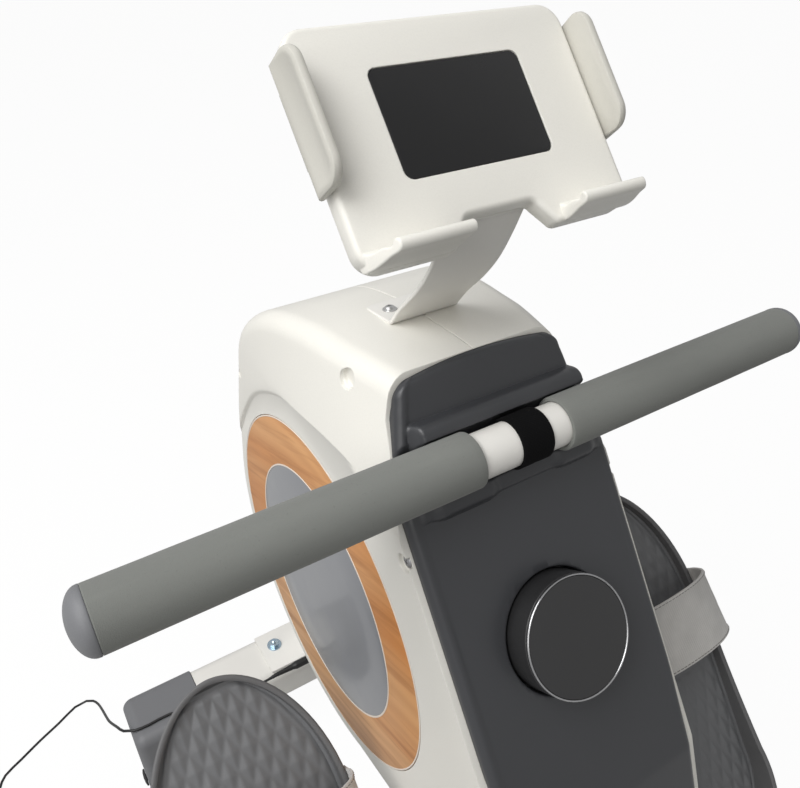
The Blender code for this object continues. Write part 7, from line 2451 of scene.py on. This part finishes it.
@dataclass
class Chassis:
    """Front foot, main frame and the transport wheels."""

    stab_y: float = 0.194
    stab_w: float = 0.066
    stab_top: float = 0.115
    stab_h: float = 0.055
    tube_edge: float = 0.014
    wall: float = 0.0025
    cap_start: float = 0.1670
    cap_end: float = 0.2500
    overhang: float = 0.002
    cap_edge: float = 0.012
    wheel_r: float = 0.024
    wheel_w: float = 0.020
    wheel: Spot = (0.215, 0.176, 0.027)
    nut: Flat = (0.0654, 0.200)
    nut_r: float = 0.0058
    pin_r: float = 0.0040
    pin_play: float = 0.0003
    frame_edge: float = 0.0007
    pad_edge: float = 0.0015

    def build(self) -> None:
        """Make the foot, its caps and wheels, and set the nuts."""
        self.front_tube()
        for side in Side:
            self.cap(side)
            self.transport_wheel(side)
        reworked("main_frame", "frame_weldment", IVORY_PAINT, "frame", "ivory_paint", self.frame_edge)
        reworked("middle_foot", "middle_pad", RUBBER, "frame", "rubber", self.pad_edge)
        level = self.stab_top + 0.0003 + 0.003
        nuts = [dome_nut(tilted((x, self.nut[1], level), 0), self.nut_r) for x in (-self.nut[0], self.nut[0])]
        new_piece("dome_nuts", merged(nuts), ZINC, "frame", "steel")

    def tube_outline(self) -> list[Flat]:
        """The front foot's section as (y, z)."""
        y = (self.stab_y - self.stab_w / 2, self.stab_y + self.stab_w / 2)
        return rounded_box(y, (self.stab_top - self.stab_h, self.stab_top), self.tube_edge, 12)

    def front_tube(self) -> None:
        """The front foot's tube."""
        outer = self.tube_outline()
        inner = inset(outer, self.wall)
        x = self.cap_start
        loops = [side_loop(-x, outer), side_loop(x, outer), side_loop(x, inner), side_loop(-x, inner)]
        new_piece("front_foot", skin(loops, ring=True), IVORY_PAINT, "frame", "ivory_paint", "front_stabilizer")

    def cap(self, side: Side) -> None:
        """A moulded end cap with room for its wheel.

        Args:
            side: Its side.
        """
        half = self.stab_w / 2 + self.overhang
        outline = rounded_box((self.stab_y - half, self.stab_y + half), (0.0, self.stab_top), self.cap_edge, 12)
        start = self.cap_start + 0.0003
        edge = self.cap_edge
        loops = [side_loop(start, inset(outline, 0.0008)), side_loop(start + 0.0008, outline)]
        for c, s in quarter(10):
            depth = edge * 0.85 * (1 - c)
            ring = shrunk(outline, [depth if z > edge else depth * 0.5 for _, z in outline])
            loops.append(side_loop(self.cap_end - edge + edge * s, [(y, max(z, 0.0)) for y, z in ring]))
        bore = inset(self.tube_outline(), self.wall + 0.0003)
        plug = [side_loop(x, bore) for x in (start - 0.015, start + 0.004)]
        low = self.stab_top - self.stab_h
        wedge = [(self.cap_start - 0.01, -0.01), (self.cap_start + 0.020, -0.01), (self.cap_start - 0.01, low + 0.016)]
        under = skin([[(x, y + AXLE_Y, z) for x, z in wedge] for y in (0.0, 0.30)])
        wheel_x, wheel_y, wheel_z = self.wheel
        side_room = self.wheel_w / 2 + 0.0015
        round_room = self.wheel_r + 0.003
        along = (AXLE_Y + self.stab_y - self.stab_w, AXLE_Y + wheel_y + round_room)
        room = block((wheel_x - side_room, wheel_x + side_room), along, (-0.01, wheel_z + round_room), IN_PLACE)
        pin = rod(self.pin_r + self.pin_play, wheel_x - 0.021, self.cap_end + 0.01, along_x(1, wheel_y, wheel_z), 32)
        mesh = other_side(cut(joined(skin(loops), skin(plug)), under, room, pin), side.value)
        new_piece(f"foot_cap_{side}", mesh, CAP_GREY, "frame", "grey_plastic", f"front_cap_{side}")

    def transport_wheel(self, side: Side) -> None:
        """A wheel with rounded shoulders, a tread groove and its pin.

        Args:
            side: Its side.
        """
        half = self.wheel_w / 2
        r = self.wheel_r
        outer = self.cap_end - self.wheel[0] + 0.0003
        pin = self.pin_r
        profile = [(0, -half - 0.008), (pin, -half - 0.008), (pin, -half + 0.001), (0.008, -half + 0.001)]
        profile += [(0.009, -half), (r - 0.004, -half), (r - 0.0012, -half + 0.0009), (r, -half + 0.0034)]
        profile += [(r, -0.0022), (r - 0.0008, -0.0014), (r - 0.0008, 0.0014), (r, 0.0022)]
        profile += [(r, half - 0.0034), (r - 0.0012, half - 0.0009), (r - 0.004, half), (0.009, half)]
        profile += [(0.008, half - 0.001), (pin, half - 0.001), (pin, outer), (0.0096, outer)]
        profile += [(0.0100, outer + 0.0005), (0.0098, outer + 0.0018), (0.006, outer + 0.0030), (0, outer + 0.0035)]
        mesh = spun(profile, along_x(side.value, self.wheel[1], self.wheel[2], self.wheel[0]), 64)
        new_piece(f"wheel_tyre_{side}", mesh, RUBBER, f"wheel_{side}", "rubber", f"transport_wheel_{side}")


@dataclass
class DriveTrain:
    """What turns inside the housing."""

    flywheel_edge: float = 0.0008
    drum_edge: float = 0.0006

    def build(self) -> None:
        """Dress the drive's nodes."""
        reworked("flywheel", "flywheel_casting", IRON, "flywheel_set", "iron", self.flywheel_edge)
        reworked("strap_drum", "strap_reel", BLACK, "drum", "black_plastic", self.drum_edge)
        dress(STEEL, "drive_axle", "bearing_left", "bearing_right", "one_way_bearing", "magnet_arm")
        dress(SPRING_STEEL, "recoil_spring")
        dress(BLACK, "guide_roller", "tension_cable")


@dataclass
class Cushion:
    """The seat's stuffed cushion: blown up by simulation, then piped and stitched round its side."""

    shrink: float = 0.966
    voxel: float = 0.0052
    pressure: float = 4.0
    stiffness: float = 40.0
    bending: float = 12.0
    last_frame: int = 20
    most: float = 0.005
    pinned: float = 0.0030
    seam: float = 0.019
    groove: float = 0.0011
    groove_half: float = 0.0050
    piping_r: float = 0.0018
    thread_up: float = 0.0062
    spokes: int = 220
    ray_start: float = 0.4
    smoothing: int = 6

    def __post_init__(self) -> None:
        """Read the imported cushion's box."""
        self.low, self.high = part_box("seat_cushion")
        self.middle = (self.low + self.high) / 2

    def build(self) -> None:
        """Make the cushion, its piping and its stitches."""
        body = self.swollen(self.start())
        self.pressed(body)
        new_piece("seat_piping", self.piping(body), PIPING, "seat", "vinyl")
        new_piece("seat_stitches", self.sewing(body), THREAD_DARK, "seat", "vinyl")
        made = new_piece("seat_pad", body, VINYL, "seat", "vinyl", "seat_cushion")

    def start(self) -> Object:
        """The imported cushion's shape, a little smaller, in even small faces.

        Returns:
            The object to blow up.
        """
        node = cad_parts["seat_cushion"]
        mesh = node.data.copy()
        mesh.transform(node.matrix_world)
        foot = Vector((self.middle.x, self.middle.y, self.low.z))
        scale = Matrix.Diagonal((self.shrink, self.shrink, 0.94, 1.0))
        mesh.transform(Matrix.Translation(foot) @ scale @ Matrix.Translation(-foot))
        return linked("cushion_start", settled(mesh, ("REMESH", {"mode": "VOXEL", "voxel_size": self.voxel})))

    def swollen(self, start: Object) -> Mesh:
        """Blow the cushion up with cloth, its bottom held, and keep each point's move small.

        Args:
            start: The object, which is used up.

        Returns:
            The cushion's mesh.
        """
        before = [vert.co.copy() for vert in start.data.vertices]
        held = start.vertex_groups.new(name="held")
        held.add([k for k, co in enumerate(before) if co.z < self.low.z + self.pinned], 1.0, "REPLACE")
        cloth = start.modifiers.new("Cloth", "CLOTH")
        cloth.settings.use_pressure = True
        cloth.settings.uniform_pressure_force = self.pressure
        cloth.settings.vertex_group_mass = held.name
        cloth.settings.effector_weights.gravity = 0.0
        cloth.settings.quality = 6
        cloth.settings.tension_stiffness = self.stiffness
        cloth.settings.compression_stiffness = self.stiffness
        cloth.settings.bending_stiffness = self.bending
        for number in range(1, self.last_frame + 1):
            bpy.context.scene.frame_set(number)
        seen = start.evaluated_get(bpy.context.evaluated_depsgraph_get())
        after = [vert.co.copy() for vert in seen.data.vertices]
        start.modifiers.clear()
        bpy.context.scene.frame_set(1)
        mesh = start.data.copy()
        bpy.data.objects.remove(start)
        for vert, old, new in zip(mesh.vertices, before, after):
            move = new - old
            if move.length > self.most:
                move *= self.most / move.length
            vert.co = old + move
        smooth = ("SUBSURF", {"levels": 1, "render_levels": 1})
        return settled(mesh, ("SMOOTH", {"factor": 0.5, "iterations": 9}), smooth)

    def pressed(self, mesh: Mesh) -> None:
        """Keep the cushion inside its space, flat below, and draw its side in along the seam.

        Args:
            mesh: The cushion, which is changed.
        """
        edge = self.piping_r * 0.7
        half = (self.high - self.low) / 2
        for vert in mesh.vertices:
            co = vert.co
            side = max(abs(co.x - self.middle.x) / half.x, abs(co.y - self.middle.y) / half.y)
            near = max(0.0, 1 - abs(co.z - (self.low.z + self.seam)) / self.groove_half)
            if side > 0.86 and near > 0:
                way = Vector((co.x - self.middle.x, co.y - self.middle.y, 0.0)).normalized()
                vert.co -= way * self.groove * ease(near)
            vert.co.x = min(self.high.x - edge, max(self.low.x + edge, vert.co.x))
            vert.co.y = min(self.high.y - edge, max(self.low.y + edge, vert.co.y))
            vert.co.z = min(self.high.z, max(self.low.z, vert.co.z))

    def round_line(self, mesh: Mesh, height: float, out: float) -> Loop:
        """Points round the cushion's side at a height, a little out of its skin.

        Args:
            mesh: The cushion.
            height: Height over its bottom.
            out: Distance out of its skin.

        Returns:
            The points.
        """
        tree = BVHTree.FromPolygons([v.co for v in mesh.vertices], [tuple(p.vertices) for p in mesh.polygons])
        found = []
        for k in range(self.spokes):
            angle = tau * k / self.spokes
            way = Vector((cos(angle), sin(angle), 0.0))
            source = Vector((self.middle.x, self.middle.y, self.low.z + height)) + way * self.ray_start
            hit = tree.ray_cast(source, -way)[0]
            if hit is not None:
                found.append(hit + way * out)
        count = len(found)
        for _ in range(self.smoothing):
            found = [(found[k - 1] + found[k] * 2 + found[(k + 1) % count]) / 4 for k in range(count)]
        return found

    def piping(self, mesh: Mesh) -> Mesh:
        """A welt that runs all the way round the seam.

        Args:
            mesh: The cushion.

        Returns:
            The welt.
        """
        line = self.round_line(mesh, self.seam, self.piping_r * 0.15)
        loops = []
        count = len(line)
        for k in range(count):
            ahead = (line[(k + 1) % count] - line[k - 1]).normalized()
            side = Vector((ahead.y, -ahead.x, 0.0))
            ring = arc((0, 0), self.piping_r, 0, 324, 9)
            loops.append([line[k] + side * out + Vector((0, 0, up)) for out, up in ring])
        return skin(loops, ring=True)

    def sewing(self, mesh: Mesh) -> Mesh:
        """Stitches above the welt.

        Args:
            mesh: The cushion.

        Returns:
            The stitches.
        """
        line = self.round_line(mesh, self.seam + self.thread_up, 0.00005)

        def outward(here: Vector) -> Vector:
            """Away from the cushion's middle."""
            return Vector((here.x - self.middle.x, here.y - self.middle.y, 0.0)).normalized()

        return stitches(line + line[:1], outward, 0.0040, 0.0016, 0.00030)


@dataclass
class RailAndSeat:
    """The rail, the carriage and the seat."""

    rail_edge: float = 0.0006
    weld_edge: float = 0.0008
    cap_edge: float = 0.0012
    star_edge: float = 0.0010
    roller_edge: float = 0.0007

    def build(self) -> None:
        """Dress the rail and make the seat."""
        reworked("rail", "seat_rail", ALLOY, "rail_set", "aluminium", self.rail_edge)
        reworked("rail_knuckle", "rail_hinge", IVORY_PAINT, "rail_set", "ivory_paint", self.weld_edge)
        reworked("rear_leg", "rear_stand", IVORY_PAINT, "rail_set", "ivory_paint", self.weld_edge)
        for side in Side:
            reworked(f"rear_cap_{side}", f"rear_end_cap_{side}", CAP_GREY, "rail_set", "grey_plastic", self.cap_edge)
        reworked("fold_knob", "lock_star", BLACK, "lock_knob", "black_plastic", self.star_edge)
        reworked("hinge_bolt", "pivot_bolt", STEEL, "frame", "steel", self.rail_edge)
        reworked("seat_carriage", "seat_truck", GREY_PAINT, "seat", "grey_paint", self.rail_edge)
        for node, name in (("roller_front", "front"), ("roller_rear", "rear"), ("lower_roller", "lower")):
            reworked(node, f"truck_roller_{name}", RUBBER, f"seat_roller_{name}", "rubber", self.roller_edge)
        Cushion().build()


def main() -> None:
    """Build the studio, then each sub-assembly."""
    logging.basicConfig(level=logging.INFO, format="%(name)s: %(message)s")
    machine = (Housing, FaceCover, PullHandle, TabletHolder, FootRests, Chassis, DriveTrain, RailAndSeat)
    for assembly in (Studio, PowerLead, *machine):
        LOG.info("building %s", assembly.__name__)
        assembly().build()


if __name__ == "__main__":
    main()
